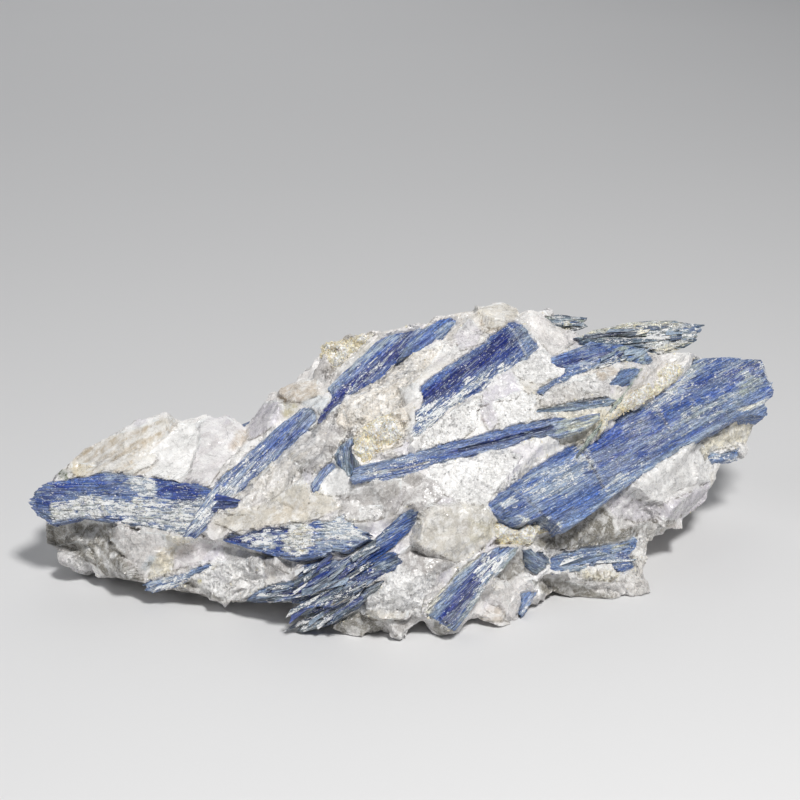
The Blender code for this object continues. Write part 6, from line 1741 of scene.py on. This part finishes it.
# the "shade" zones are painted shade over the lower parts of the rock
ZONES = [
    ("tan", [(98, 449), (150, 425), (154, 427), (102, 453)], 0.45, 3), ("tan", [(108, 457), (160, 431), (163, 434), (112, 461)], 0.4, 3),
    ("tan", [(120, 464), (152, 443), (154, 446), (124, 468)], 0.35, 3), ("tan", [(80, 452), (120, 435), (140, 429), (104, 446), (84, 458)], 0.4, 4),
    ("tan", [(236, 432), (247, 430), (250, 438), (238, 450), (230, 450)], 0.55, 5),
    ("milk", [(138, 462), (160, 458), (190, 462), (186, 482), (150, 477)], 0.7, 6),
    ("brown", [(276, 393), (284, 395), (290, 404), (280, 405)], 0.85, 3), ("brown", [(322, 366), (336, 366), (336, 374), (324, 374)], 0.6, 4),
    ("olive", [(283, 404), (298, 402), (298, 408), (286, 420), (282, 416)], 0.5, 4),
    ("ice", [(141, 568), (150, 556), (156, 557), (146, 571)], 0.8, 3),
    ("tan", [(150, 548), (196, 543), (198, 550), (160, 560)], 0.30, 5),
    ("olive", [(470, 520), (500, 518), (498, 536), (480, 546), (468, 540)], 0.25, 8),
    ("beige", [(262, 490), (300, 484), (328, 496), (320, 516), (270, 522)], 0.55, 8),
    ("tan", [(268, 506), (310, 500), (316, 514), (276, 520)], 0.25, 6),
    ("brown", [(108, 526), (117, 526), (117, 538), (109, 540)], 0.5, 4),
    ("brown", [(111, 541), (116, 541), (146, 577), (143, 580)], 0.35, 3),
    ("brown", [(480, 416), (484, 418), (489, 428), (486, 429)], 0.6, 2),
    ("brown", [(595, 572), (601, 572), (601, 577), (595, 577)], 0.5, 2),
    ("gold", [(735, 418), (768, 416), (756, 426), (738, 426)], 0.35, 5),
    ("shade", [(416, 514), (440, 503), (484, 505), (500, 524), (484, 546), (455, 560), (430, 552), (412, 541)], 0.20, 8),
    ("shade", [(556, 577), (600, 572), (650, 578), (644, 600), (580, 598)], 0.26, 8),
    ("shade", [(560, 512), (640, 500), (700, 482), (712, 506), (690, 526), (640, 540), (560, 545)], 0.13, 10),
]
SPECKS = [("chlorite", (63, 474), 5.0), ("chlorite", (66, 479), 3.5), ("milk", (56, 477), 2.5), ("olive", (200, 582), 2.0), ("brown", (239, 448), 1.2),
          ("milk", (508, 585), 2.4), ("milk", (427, 493), 2.0), ("milk", (100, 556), 1.6), ("milk", (113, 556), 2.2), ("brown", (628, 491), 1.4), ("brown", (681, 516), 1.4)]
# folds of the rock on the face: a ridge (+) or a cleft (-), height in mm, half width in sheet units
FOLDS = [
    ([(411, 545), (430, 552), (458, 565)], -0.7, 3.5), ([(478, 400), (481, 415), (487, 427)], -0.8, 2.5), ([(686, 492), (696, 488), (704, 484)], -0.6, 2.5),
    ([(245, 431), (236, 452), (214, 484)], -0.5, 4), ([(60, 536), (85, 543), (97, 552), (106, 562)], 0.7, 5), ([(500, 603), (510, 611), (519, 624)], 0.6, 4),
    ([(640, 500), (650, 510), (655, 519)], 0.6, 3), ([(664, 492), (676, 484), (700, 480)], 0.3, 4), ([(212, 521), (236, 532), (262, 527)], 0.4, 3),
    ([(498, 392), (506, 400), (514, 408)], -0.4, 2), ([(318, 474), (330, 468), (345, 474)], 0.3, 2), ([(450, 563), (456, 566), (470, 558)], -0.5, 3),
]


# fine parallel lines on broken faces: outline, angle, spacing on the sheet, dark and light tone, strength
STRIAE = [
    ([(72, 478), (84, 446), (130, 426), (172, 414), (180, 424), (168, 446), (150, 476), (104, 474)], 0.56, 2.7, "tan", "milk", 0.38),
    ([(176, 420), (236, 420), (240, 432), (214, 484), (160, 482)], 0.62, 3.4, "grey", "white", 0.22),
    ([(58, 530), (110, 530), (130, 560), (180, 590), (150, 600), (100, 580), (66, 560)], -0.95, 3.0, "shade", "milk", 0.35),
    ([(340, 403), (380, 377), (412, 351), (446, 344), (428, 368), (402, 400), (384, 440), (350, 432)], 0.62, 3.0, "beige", "milk", 0.30),
    ([(216, 480), (300, 420), (330, 420), (300, 480), (240, 510)], 0.62, 3.4, "beige", "milk", 0.35),
]
CALM = [[(60, 476), (76, 436), (128, 410), (166, 400), (200, 402), (244, 414), (244, 430), (200, 430), (172, 432), (130, 446), (92, 460), (72, 482)]]


def skin_normals(co, faces3):
    n = np.zeros_like(co)
    a, b, c = co[faces3[:, 0]], co[faces3[:, 1]], co[faces3[:, 2]]
    f = np.cross(b - a, c - a)
    for k in range(3):
        np.add.at(n, faces3[:, k], f)
    return n / np.maximum(1e-12, np.linalg.norm(n, axis=1))[:, None]


def face_masks(co, uv, front, rag):
    """How much relief and sugar each point of the rock keeps, from the facets."""
    sugar = smooth(0.50, 0.66, fbm(co / 5.0, 451, 3)) * 0.8 + 0.12
    relief = 0.42 + 0.45 * sugar
    for points, _, _, amp, grain, _, _, _ in FACETS:
        near = (uv[:, 0] > min(p[0] for p in points) - 6) & (uv[:, 0] < max(p[0] for p in points) + 6) & (front > 0)
        if near.any():
            m = area(points, uv[near], rag[near], 3.0, 2.0) * front[near]
            sugar[near] = sugar[near] * (1 - m) + grain * m
            relief[near] = relief[near] * (1 - m) + amp * m
    for points in CALM:
        m = area(points, uv, rag, 4.0, 2.0) * smooth(0.0, 0.2, front)
        sugar, relief = sugar * (1 - 0.6 * m), relief * (1 - 0.65 * m)
    return np.clip(sugar, 0, 1), relief


def seams(uv, front, rag):
    """Signed distance to the outline of the nearest facet, and whether that is its top (-1) or its foot (+1)."""
    seam, side = np.full(len(uv), 9.0), np.zeros(len(uv))
    for points, *_ in FACETS:
        near = np.nonzero((uv[:, 0] > min(p[0] for p in points) - 8) & (uv[:, 0] < max(p[0] for p in points) + 8) & (front > 0.3))[0]
        if len(near):
            sd = signed(uv[near], points) + (rag[near] - 0.5) * 4.0
            tops, lows = min(p[1] for p in points), max(p[1] for p in points)
            rel = (uv[near, 1] - (tops + lows) / 2) / max(4.0, (lows - tops) / 2)
            take = np.abs(sd) < np.abs(seam[near]) - 0.4
            seam[near[take]] = sd[take]
            side[near[take]] = np.clip(rel[take], -1, 1)
    return np.clip(seam, -9, 9), side


def quartz_colour(co, sugar):
    """Colour and roughness of the quartz at points in mm."""
    uv = to_sheet(co)
    depth = face_many(uv)
    front = smooth(9.0, 4.0, co[:, 1] - depth)
    blot = fbm(co / 2.4, 301, 3)
    fine = fbm(co / 0.9, 305, 3)
    wide = fbm(co / 9.0, 309, 3)
    col = np.tile(PALETTE["quartz"], (len(co), 1)).astype(float)
    col = tint(col, smooth(0.46, 0.60, wide), "milk", 0.7)
    col = tint(col, smooth(0.46, 0.34, wide), "grey", 0.22)
    col = tint(col, smooth(0.54, 0.70, fbm(co / 6.0, 317, 3)), "beige", 0.45)
    col = tint(col, smooth(0.58, 0.72, fbm(co / 4.0, 323, 3)), "lavender", 0.6)
    back = 1 - front
    col = tint(col, back * smooth(0.60, 0.72, fbm(co / 5.0, 331, 4)), "tan", 0.5)
    col = tint(col, back * smooth(0.66, 0.76, fbm(co / 2.0, 337, 4)), "brown", 0.4)
    rag = 0.65 * blot + 0.35 * fine
    for points, kind, strength, _, _, _, _, _ in FACETS:
        near = (uv[:, 0] > min(p[0] for p in points) - 8) & (uv[:, 0] < max(p[0] for p in points) + 8) & (front > 0)
        if near.any():
            m = np.zeros(len(co))
            m[near] = area(points, uv[near], rag[near], 1.6, 2.0)
            col = tint(col, m * front, kind, strength)
            tops, lows = min(p[1] for p in points), max(p[1] for p in points)
            rel = (uv[near, 1] - (tops + lows) / 2) / max(4.0, (lows - tops) / 2)
            sd = signed(uv[near], points) + (rag[near] - 0.5) * 4.0
            # painted light at each facet's outline: a painted highlight along its top edge and painted shade along its
            # foot
            rim = np.exp(-((sd + 0.6) / 1.1) ** 2) * front[near]
            m[near] = rim * smooth(-0.15, -0.6, rel) * 0.35
            col = tint(col, m, "white", 1.0)
            m[near] = rim * smooth(0.1, 0.6, rel) * 0.30
            col = tint(col, m, "shade", 1.0)
    for kind, points, strength, feather in ZONES:
        near = (uv[:, 0] > min(p[0] for p in points) - 14) & (uv[:, 0] < max(p[0] for p in points) + 14) & (front > 0)
        if near.any():
            m = np.zeros(len(co))
            m[near] = area(points, uv[near], rag[near], feather, feather * 1.2)
            col = tint(col, m * front, kind, strength)
    for points, along, gap, dim, lit, strength in STRIAE:
        near = (uv[:, 0] > min(p[0] for p in points) - 8) & (uv[:, 0] < max(p[0] for p in points) + 8) & (front > 0)
        if near.any():
            w = uv[near]
            s, t = w @ np.array([math.cos(along), -math.sin(along)]), w @ np.array([math.sin(along), math.cos(along)])
            bars = fbm(np.c_[t / gap + 0.8 * fbm(np.c_[s / 26.0, t / 26.0, 0 * s], 351, 2), s / (gap * 9), 0 * s], 353, 3)
            mask = area(points, w, rag[near], 5.0, 3.0) * front[near] * strength
            m = np.zeros(len(co))
            m[near] = smooth(0.50, 0.40, bars) * mask
            col = tint(col, m, dim, 1.0)
            m[near] = smooth(0.54, 0.62, bars) * mask
            col = tint(col, m, lit, 1.0)
    col = tint(col, smooth(0.60, 0.70, fine), "milk", 0.3)
    for kind, (u, v), r in SPECKS:
        d = np.hypot(uv[:, 0] - u, uv[:, 1] - v) + (fine - 0.5) * 3
        col = tint(col, smooth(r + 0.6, r - 0.8, d) * front, kind, 0.95)
    rough = 0.26 + 0.30 * (blot - 0.5) + 0.08 * sugar + 0.34 * back
    return col, np.clip(rough, 0.12, 0.8)


OVERHANGS = [
    [(15, 480), (60, 505), (118, 514), (118, 545), (15, 545)],
    [(285, 560), (330, 545), (425, 505), (425, 560), (380, 610), (290, 640)],
    [(485, 505), (560, 516), (575, 540), (480, 550)],
    [(735, 350), (790, 350), (790, 425), (745, 425)],
    [(680, 315), (715, 315), (715, 345), (680, 345)],
]


def quartz_piece():
    mesh = quartz_base(1.1, 1500, 0.45)
    co, no = mesh_arrays(mesh)
    mesh.calc_loop_triangles()
    tri = np.empty(len(mesh.loop_triangles) * 3, np.int32)
    mesh.loop_triangles.foreach_get("vertices", tri)
    tri = tri.reshape(-1, 3)
    print("quartz base", len(co), len(tri))
    uv = to_sheet(co)
    depth = face_many(uv)
    front = smooth(9.0, 4.0, co[:, 1] - depth)
    rag = fbm(co / 2.0, 409, 2)
    # flatten the named facets, each on its own plane
    for points, _, _, _, _, tip, turn, rise in FACETS:
        near = np.nonzero((uv[:, 0] > min(p[0] for p in points) - 6) & (uv[:, 0] < max(p[0] for p in points) + 6) & (front > 0.3))[0]
        if not len(near):
            continue
        view = EYE - co[near]
        view /= np.linalg.norm(view, axis=1)[:, None]
        near = near[(no[near] * view).sum(1) > 0.0]
        sd = signed(uv[near], points)
        core = near[sd < -1.0]
        if len(core) < 12:
            continue
        middle = co[core].mean(0)
        _, _, axes = np.linalg.svd(co[core] - middle, full_matrices=False)
        n = axes[2] if axes[2] @ (EYE - middle) > 0 else -axes[2]
        n = rotate(n, RGT, math.radians(tip * 1.6))
        n = rotate(n, UPV, math.radians(turn * 1.6))
        m = np.clip(0.5 - (sd + (rag[near] - 0.5) * 3.0) / 2.0, 0, 1)
        gap = np.clip((middle - co[near]) @ n, -2.6, 2.6)
        co[near] += n * ((gap * 0.85 + rise) * m)[:, None]
    sugar, relief = face_masks(co, uv, front, rag)
    # broken facets, three sizes
    lift = chips(co, 8.0, 0.34, 0.10, 401, 0.12)
    push = 0.55 * np.minimum(1.0, relief * 1.3) * (lift - np.median(lift))
    mid = chips(co + 0.5 * (fbm(co / 3, 411, 2) - 0.5)[:, None], 3.3, 0.50, 0.16, 403, 0.16)
    push += relief * (mid - np.median(mid))
    small = chips(co + 0.2 * (fbm(co / 1.5, 412, 2) - 0.5)[:, None], 1.3, 0.6, 0.22, 405, 0.2)
    push += (0.06 + 0.75 * sugar * np.minimum(1.0, relief * 1.6)) * (small - np.median(small))
    push = np.clip(push, -1.9, 1.5)
    for line, height, half in FOLDS:
        d = seg_dist(uv, line) + (rag - 0.5) * half * 0.5
        push += height * np.clip(1 - d / half, 0, 1) * front
    co = co + no * push[:, None]
    climb = fbm(co / 1.6, 421, 3)
    free = np.zeros(len(co))
    for pts in OVERHANGS:
        free = np.maximum(free, np.clip(0.5 - signed(uv, pts) / 8.0, 0, 1))
    # the rock rises to the crystals' edges, then leaves room for them and climbs over them here and there
    for stage in (0, 1):
        for key, c in CRYSTALS.items():
            q = c.local(co)
            lo, hi = c.flat.min(0) - 5, c.flat.max(0) + 5
            near = (q[:, 0] > lo[0]) & (q[:, 0] < hi[0]) & (q[:, 1] > lo[1]) & (q[:, 1] < hi[1]) & (q[:, 2] > -c.thick - 2.5) & (q[:, 2] < 9)
            if not near.any():
                continue
            idx = np.nonzero(near)[0]
            sd = signed(q[idx, :2], c.flat)
            h = q[idx, 2]
            if stage == 0:
                facing = smooth(0.1, 0.5, no[idx] @ c.normal)
                bank = -0.05 - 0.35 * np.maximum(0, sd) + 0.5 * (climb[idx] - 0.5)
                w = smooth(4.2, 0.4, sd) * facing * (1 - free[idx]) * smooth(-4.0, -3.0, h)
                up = np.maximum(0, bank - h) * w
                co[idx] += up[:, None] * c.normal
            else:
                sd = sd + (climb[idx] - 0.5) * min(1.3, 0.30 * np.ptp(c.flat[:, 1]))
                floor_h = -min(1.3, 0.6 * c.thick)
                lid = floor_h + (0.12 - floor_h + 0.8 * (climb[idx] - 0.45)) * smooth(-0.45, 0.10, sd)
                lid = lid + np.maximum(0, sd - 0.3) * 1.2
                low = np.minimum(h, lid)
                co[idx] += (low - h)[:, None] * c.normal
    # the underside is broken too, but rests on a level
    under = chips(np.c_[co[:, :2], co[:, 2] * 0.2], 5.0, 0.16, 0.05, 431, 0.10)
    under = np.clip((np.median(under) - under) * 0.9 - 0.02, 0, 0.55)
    co[:, 2] = np.where(co[:, 2] < under, np.maximum(under, 0), co[:, 2])
    low = (cad_low[0] / MM - SHIFT[0], cad_low[1] / MM - SHIFT[1])
    high = (cad_high[0] / MM - SHIFT[0], cad_high[1] / MM - SHIFT[1], cad_high[2] / MM)
    co[:, 0] = np.clip(co[:, 0], low[0], high[0])
    co[:, 1] = np.clip(co[:, 1], low[1], high[1])
    co[:, 2] = np.clip(co[:, 2], 0, high[2] + 0.3)
    # fewer triangles on the back and underside
    loose = bpy.data.meshes.new("skin")
    loose.from_pydata(co.tolist(), [], tri.tolist())
    tmp = bpy.data.objects.new("skin", loose)
    bpy.context.scene.collection.objects.link(tmp)
    group = tmp.vertex_groups.new(name="back")
    weight = np.clip(1.0 - front, 0, 1)
    weight = np.maximum(weight, smooth(1.2, 0.2, co[:, 2]))
    for level in np.unique(np.round(weight, 1)):
        if level > 0:
            group.add(np.nonzero(np.round(weight, 1) == level)[0].tolist(), float(level), "REPLACE")
    mod = tmp.modifiers.new("thin", "DECIMATE")
    mod.ratio = min(1.0, 196000.0 / len(tri))
    mod.vertex_group = "back"
    thin = evaluated(tmp)
    co, no = mesh_arrays(thin)
    thin.calc_loop_triangles()
    tri = np.empty(len(thin.loop_triangles) * 3, np.int32)
    thin.loop_triangles.foreach_get("vertices", tri)
    tri = tri.reshape(-1, 3)
    bpy.data.objects.remove(tmp)
    print("quartz", len(co), len(tri))
    uv = to_sheet(co)
    front = smooth(9.0, 4.0, co[:, 1] - face_many(uv))
    sugar, _ = face_masks(co, uv, front, fbm(co / 2.0, 409, 2))
    col, rough = quartz_colour(co, sugar)
    rough = np.clip(rough + 0.34 * front * smooth(-0.05, 0.45, no[:, 1]), 0.12, 0.8)   # turned away: the worn back
    seam, side = seams(uv, front, 0.65 * fbm(co / 2.4, 301, 3) + 0.35 * fbm(co / 0.9, 305, 3))
    finish_mesh("quartz_rock", co, tri, QUARTZ, ["quartz_matrix"], True, {"tint": col, "rough": rough, "sugar": sugar, "seam": seam, "side": side}, 24)
    # crumbs of quartz over the sugary places, and whitish crumbs along the crystals' edges
    rs = np.random.RandomState(77)
    near_edge = np.full(len(co), 9.0)
    clear = np.ones(len(co), bool)
    for key, c in CRYSTALS.items():
        q = c.local(co)
        sd = signed(q[:, :2], c.flat)
        ok = (q[:, 2] > -2.5) & (q[:, 2] < 2.0)
        near_edge = np.where(ok, np.minimum(near_edge, np.abs(sd - 0.1)), near_edge)
        clear &= ~((sd < 0.05) & (q[:, 2] > -c.thick) & (q[:, 2] < 1.0))
    weight = np.where(clear & (co[:, 2] > 1.5), 0.03 + 0.9 * sugar ** 2 + 3.2 * np.exp(-(near_edge / 0.6) ** 2), 0)
    weight = weight * np.where(front > 0.5, 1.0, 0.25)
    pick = np.nonzero(rs.random_sample(len(co)) < weight * 0.16)[0]
    size = 0.14 + 0.34 * rs.random_sample(len(pick)) ** 2.2
    tone = col[pick] * rs.uniform(0.85, 1.08, (len(pick), 1))
    white = rs.random_sample(len(pick)) < 0.45
    tone[white] = PALETTE["milk"] * rs.uniform(0.9, 1.0, (int(white.sum()), 1))
    warm = (rs.random_sample(len(pick)) < 0.10) | ((near_edge[pick] < 0.6) & (rs.random_sample(len(pick)) < 0.25))
    tone[warm] = PALETTE["cream"]
    build([grains("quartz_crumbs", co[pick], no[pick], size, np.clip(tone, 0, 1), 78, "quartz", QUARTZ)], "quartz_crumbs", 20)
    print("crumbs", len(pick))


# ------------------------------------------------------------------ mica
def flakes(name, c, count, seed, size, colours, spread=0.0, top=0.0, surface=None):
    """Thin torn plates lying over a clump."""
    tree = KDTree(len(surface["a"]))
    for i, (x, y) in enumerate(zip(surface["a"], surface["b"])):
        tree.insert((x, y, 0.0), i)
    tree.balance()

    def height_at(x, y):
        return float(surface["z"][tree.find((x, y, 0.0))[1]])

    rnd = random.Random(seed)
    lo, hi = c.flat.min(0), c.flat.max(0)
    co, faces, tints, rough = [], [], [], []
    made = 0
    tries = 0
    while made < count and tries < count * 30:
        tries += 1
        a, b = rnd.uniform(lo[0], hi[0]), rnd.uniform(lo[1], hi[1])
        sd = signed(np.array([[a, b]]), c.flat)[0]
        if sd > spread * rnd.random() ** 2 - 0.15:
            continue
        made += 1
        r = size * (0.35 + 1.6 * rnd.random() ** 2.8)
        tilt = rnd.gauss(0, 0.50)
        lean = rnd.gauss(0, 0.50)
        n = c.normal + c.along * math.tan(max(-1.2, min(1.2, tilt))) + c.across * math.tan(max(-1.2, min(1.2, lean)))
        n /= np.linalg.norm(n)
        e1 = np.cross(n, RGT + 0.3 * UPV)
        e1 /= np.linalg.norm(e1)
        e2 = np.cross(n, e1)
        turn = rnd.uniform(0, 6.28)
        sides = rnd.randint(5, 7)
        dome = max(0.0, -sd)
        z = top + height_at(a, b) + rnd.uniform(-0.10, 0.16)
        mid = c.world(np.array([[a, b, z]]))[0]
        thick = rnd.uniform(0.04, 0.10)
        stack = rnd.randint(1, 2)
        for layer in range(stack):
            start = len(co)
            shift = e1 * rnd.uniform(-0.15, 0.15) * r + e2 * rnd.uniform(-0.15, 0.15) * r - n * (layer * thick * 1.6)
            shape = [(math.cos(turn + 6.28318 * k / sides) * r * rnd.uniform(0.6, 1.05), math.sin(turn + 6.28318 * k / sides) * r * 0.7 * rnd.uniform(0.6, 1.05)) for k in range(sides)]
            for s in (0.5, -0.5):
                for x, y in shape:
                    co.append(mid + shift + e1 * x + e2 * y + n * (s * thick) + n * (0.06 * math.sin(x * 5 + y * 3)))
            faces.append(tuple(range(start, start + sides)))
            faces.append(tuple(reversed(range(start + sides, start + 2 * sides))))
            for k in range(sides):
                j = (k + 1) % sides
                faces.append((start + sides + k, start + sides + j, start + j, start + k))
            name_c = rnd.choices([x[0] for x in colours], [x[1] for x in colours])[0]
            k = rnd.uniform(0.88, 1.06)
            tints += [PALETTE[name_c] * k] * (2 * sides)
            rough += [rnd.uniform(0.4, 0.75)] * (2 * sides)
    return dict(name=name, co=np.array(co), faces=faces, slot="mica", material=MICA, replaced=(),
                attrs={"tint": np.clip(np.array(tints), 0, 1), "rough": np.array(rough), "grain": np.zeros((len(co), 3)),
                       "frost": np.zeros(len(co)), "pale": np.zeros(len(co)), "deep": np.zeros(len(co))})


# ------------------------------------------------------------------ build
quartz_piece()
KYANITE_PIECES = [
    ("blade_large_right", ["J", "S1"]), ("blade_centre_deep", ["E"]), ("blade_left_cross", ["A", "B"]), ("blade_upper_left", ["C"]),
    ("blade_upper_left_second", ["D"]), ("blade_long_slender", ["F", "Fcap"]), ("blade_upper_right_fan", ["H2", "H1"]),
    ("blade_lower_lens", ["K"]), ("blade_bottom_bundle", ["L", "M1", "M2", "M3"]), ("blade_lower_stub", ["N"]),
    ("blade_lower_right", ["O1"]), ("blade_lower_facet", ["O2"]), ("blade_top_back", ["Q"]), ("leaf_upper", ["I1"]),
    ("leaf_lower", ["I2"]), ("sliver_centre", ["G"]), ("sliver_bottom_left", ["P"]), ("blade_right_under", ["J2"]),
    ("chip_lower_edge", ["O3"]), ("blade_back_long", ["b0"]), ("blade_back_cross", ["b1"]), ("blade_back_right", ["b2"]),
    ("blade_back_left", ["b3"]), ("blade_back_low", ["b4"]),
]
BLUES = (("navy", 4), ("deep", 3), ("slate", 4), ("dark", 4), ("blue", 2), ("pale", 1), ("black", 1))
GREENS = (("sage", 4), ("slate", 3), ("dark", 3), ("cream", 3), ("mid", 2), ("black", 1), ("pale", 2))
# piece: crystal whose plane is used, patch of the sheet, number, colours, height over the plane (mm)
SHARDS = {
    "blade_bottom_bundle": [
        ("L", [(298, 566), (340, 557), (366, 549), (378, 550), (366, 562), (346, 580), (312, 592), (296, 588)], 26, BLUES, (-0.25, 0.5)),
        ("M2", [(298, 596), (330, 584), (366, 566), (386, 558), (374, 576), (346, 600), (320, 612), (304, 610)], 30, BLUES, (-0.25, 0.5)),
        ("M3", [(302, 608), (340, 600), (366, 592), (360, 602), (340, 616), (318, 627), (304, 626)], 22, BLUES + (("cream", 2), ("white", 2)), (-0.25, 0.35)),
        ("M1", [(258, 595), (280, 586), (300, 586), (302, 596), (280, 600)], 12, BLUES, (-0.2, 0.3)),
    ],
    "blade_upper_right_fan": [
        ("H2", [(606, 332), (640, 327), (684, 327), (680, 338), (660, 348), (640, 343), (616, 341)], 15, GREENS, (-0.15, 0.4)),
        ("H1", [(594, 352), (636, 349), (640, 358), (626, 361), (600, 368)], 10, (("mid", 3), ("pale", 3), ("sage", 2), ("slate", 2), ("navy", 1)), (-0.1, 0.3)),
    ],
    "blade_top_back": [("Q", [(562, 320), (578, 321), (580, 326), (566, 325)], 6, GREENS, (-0.1, 0.25))],
    "blade_lower_right": [("O1", [(566, 558), (600, 552), (626, 547), (622, 560), (590, 566)], 10, (("mid", 3), ("pale", 3), ("ice", 2), ("slate", 2), ("navy", 1)), (-0.1, 0.25))],
}
total = 0
for name, keys in KYANITE_PIECES:
    parts = []
    for key in keys:
        c = CRYSTALS[key]
        base, marks = MARKS[key]
        piece = blade_piece(c, name, KYANITE, "kyanite", base, marks, (c.node,))
        parts += [piece, splinters(c, piece, 0.9, sum(map(ord, key)) * 3 + 1), crumbs_on(c, piece, sum(map(ord, key)) * 5 + 2)]
    for where, polygon, count, colours, lift in SHARDS.get(name, ()):
        parts.append(shards(CRYSTALS[where], name, "kyanite", KYANITE, polygon, count, count + len(parts), colours, lift=lift))
    obj = build(parts, name)
    total += len(obj.data.polygons)
print("kyanite faces", total)

MICA_PIECES = [
    ("mica_centre", "mC", 600, 0.22, (("cream", 5), ("gold", 1), ("white", 8), ("milk", 5))),
    ("mica_top", "mT", 420, 0.20, (("cream", 6), ("beige", 3), ("white", 3), ("milk", 2))),
    ("mica_right", "mR", 700, 0.18, (("cream", 6), ("beige", 2), ("white", 4), ("sage", 1))),
    ("mica_lower", "mL", 420, 0.20, (("cream", 6), ("gold", 1), ("white", 4), ("milk", 3))),
    ("mica_back", "mB", 900, 0.30, (("cream", 6), ("gold", 1), ("beige", 3), ("white", 2))),
]
MICA_MARKS = {
    "mC": [("area", "white", [(378, 416), (400, 414), (404, 430), (384, 436)], 0.5, 5), ("area", "gold", [(352, 440), (372, 430), (378, 452), (356, 462)], 0.5, 6),
           ("stroke", "brown", [(350, 446), (356, 456), (364, 462)], 0.6, 1.6), ("stroke", "tan", [(370, 424), (380, 436), (376, 450)], 0.7, 1.6),
           ("stroke", "gold", [(386, 440), (398, 448), (390, 460)], 0.6, 2.0)],
    "mT": [("area", "tan", [(322, 344), (334, 340), (336, 356), (326, 362)], 0.35, 5)],
    "mR": [("area", "beige", [(606, 426), (608, 408), (640, 384), (650, 392), (620, 414)], 0.5, 6)],
    "mL": [("area", "gold", [(505, 524), (530, 528), (536, 540), (514, 542)], 0.3, 6)],
    "mB": [],
}
for i, (name, key, count, size, colours) in enumerate(MICA_PIECES):
    c = CRYSTALS[key]
    lump = blade_piece(c, name, MICA, "mica", "cream", MICA_MARKS[key], (c.node,), lumps=1.0, drop=0.6 if key == "mR" else 0.2)
    top = lump["top"]
    rs = np.random.RandomState(90 + i)
    pick = rs.choice(len(top["a"]), min(len(top["a"]), int(len(top["a"]) * 0.32)), replace=False)
    pos = c.world(np.c_[top["a"][pick], top["b"][pick], top["z"][pick]])
    tone = np.array([PALETTE[n] for n in rs.choice(["cream", "white", "milk", "gold"], len(pick), p=[0.45, 0.25, 0.22, 0.08])])
    crumbs = grains(name, pos, np.tile(c.normal, (len(pick), 1)), (0.05 + 0.34 * rs.random_sample(len(pick)) ** 4.0), np.clip(tone * rs.uniform(0.95, 1.15, (len(pick), 1)), 0, 0.95), 95 + i, "mica", MICA)
    build([lump, flakes(name, c, count, 700 + i, size, colours, 0.3, 0.0, top), crumbs], name, 28)

# ------------------------------------------------------------------ floor, light, camera
def stage_material():
    g = Graph("pale_floor")
    n = g.noise(g.place(), 0.004, 3, 0.5)
    col = g.mix(n, (0.70, 0.70, 0.71, 1), (0.74, 0.74, 0.745, 1))
    return g.done(Base_Color=col, Roughness=0.75)


floor_mesh = bpy.data.meshes.new("floor")
ring = [(0.0, 0.0, -0.0001)] + [(3.0 * math.cos(t * math.pi / 32), 3.0 * math.sin(t * math.pi / 32), -0.0001) for t in range(64)]
floor_mesh.from_pydata(ring, [], [(0, i + 1, (i + 1) % 64 + 1) for i in range(64)])
floor_mesh.materials.append(stage_material())
floor = bpy.data.objects.new("floor", floor_mesh)
bpy.context.scene.collection.objects.link(floor)


def area_light(name, where, aim, size, power, colour=(1, 1, 1)):
    data = bpy.data.lights.new(name, "AREA")
    data.shape = "DISK"
    data.size = size
    data.energy = power
    data.color = colour
    obj = bpy.data.objects.new(name, data)
    obj.location = where
    obj.rotation_euler = (Vector(aim) - Vector(where)).to_track_quat("-Z", "Y").to_euler()
    bpy.context.scene.collection.objects.link(obj)
    return obj


area_light("key", (0.12, -0.34, 0.50), (0, 0, 0.02), 0.10, 3.35, (1.0, 0.99, 0.97))
area_light("fill", (-0.50, -0.30, 0.50), (0, 0, 0.02), 0.40, 0.6, (0.96, 0.98, 1.0))
area_light("rim", (-0.10, 0.60, 0.45), (0, 0, 0.02), 0.80, 1.25)

world = bpy.data.worlds.new("studio")
bpy.context.scene.world = world
world.use_nodes = True
world.node_tree.nodes["Background"].inputs[0].default_value = (0.92, 0.95, 1.0, 1)
world.node_tree.nodes["Background"].inputs[1].default_value = 0.13

cam_data = bpy.data.cameras.new("camera")
cam_data.lens = 83.25
cam_data.sensor_width = 36.0
cam_data.sensor_fit = "HORIZONTAL"
cam_data.clip_start = 0.01
cam = bpy.data.objects.new("camera", cam_data)
cam.location = tuple((EYE + SHIFT) * MM)
cam.rotation_euler = (math.radians(68.0), 0, 0)
bpy.context.scene.collection.objects.link(cam)
bpy.context.scene.camera = cam
bpy.context.scene.view_settings.view_transform = "Standard"

bpy.context.view_layer.update()
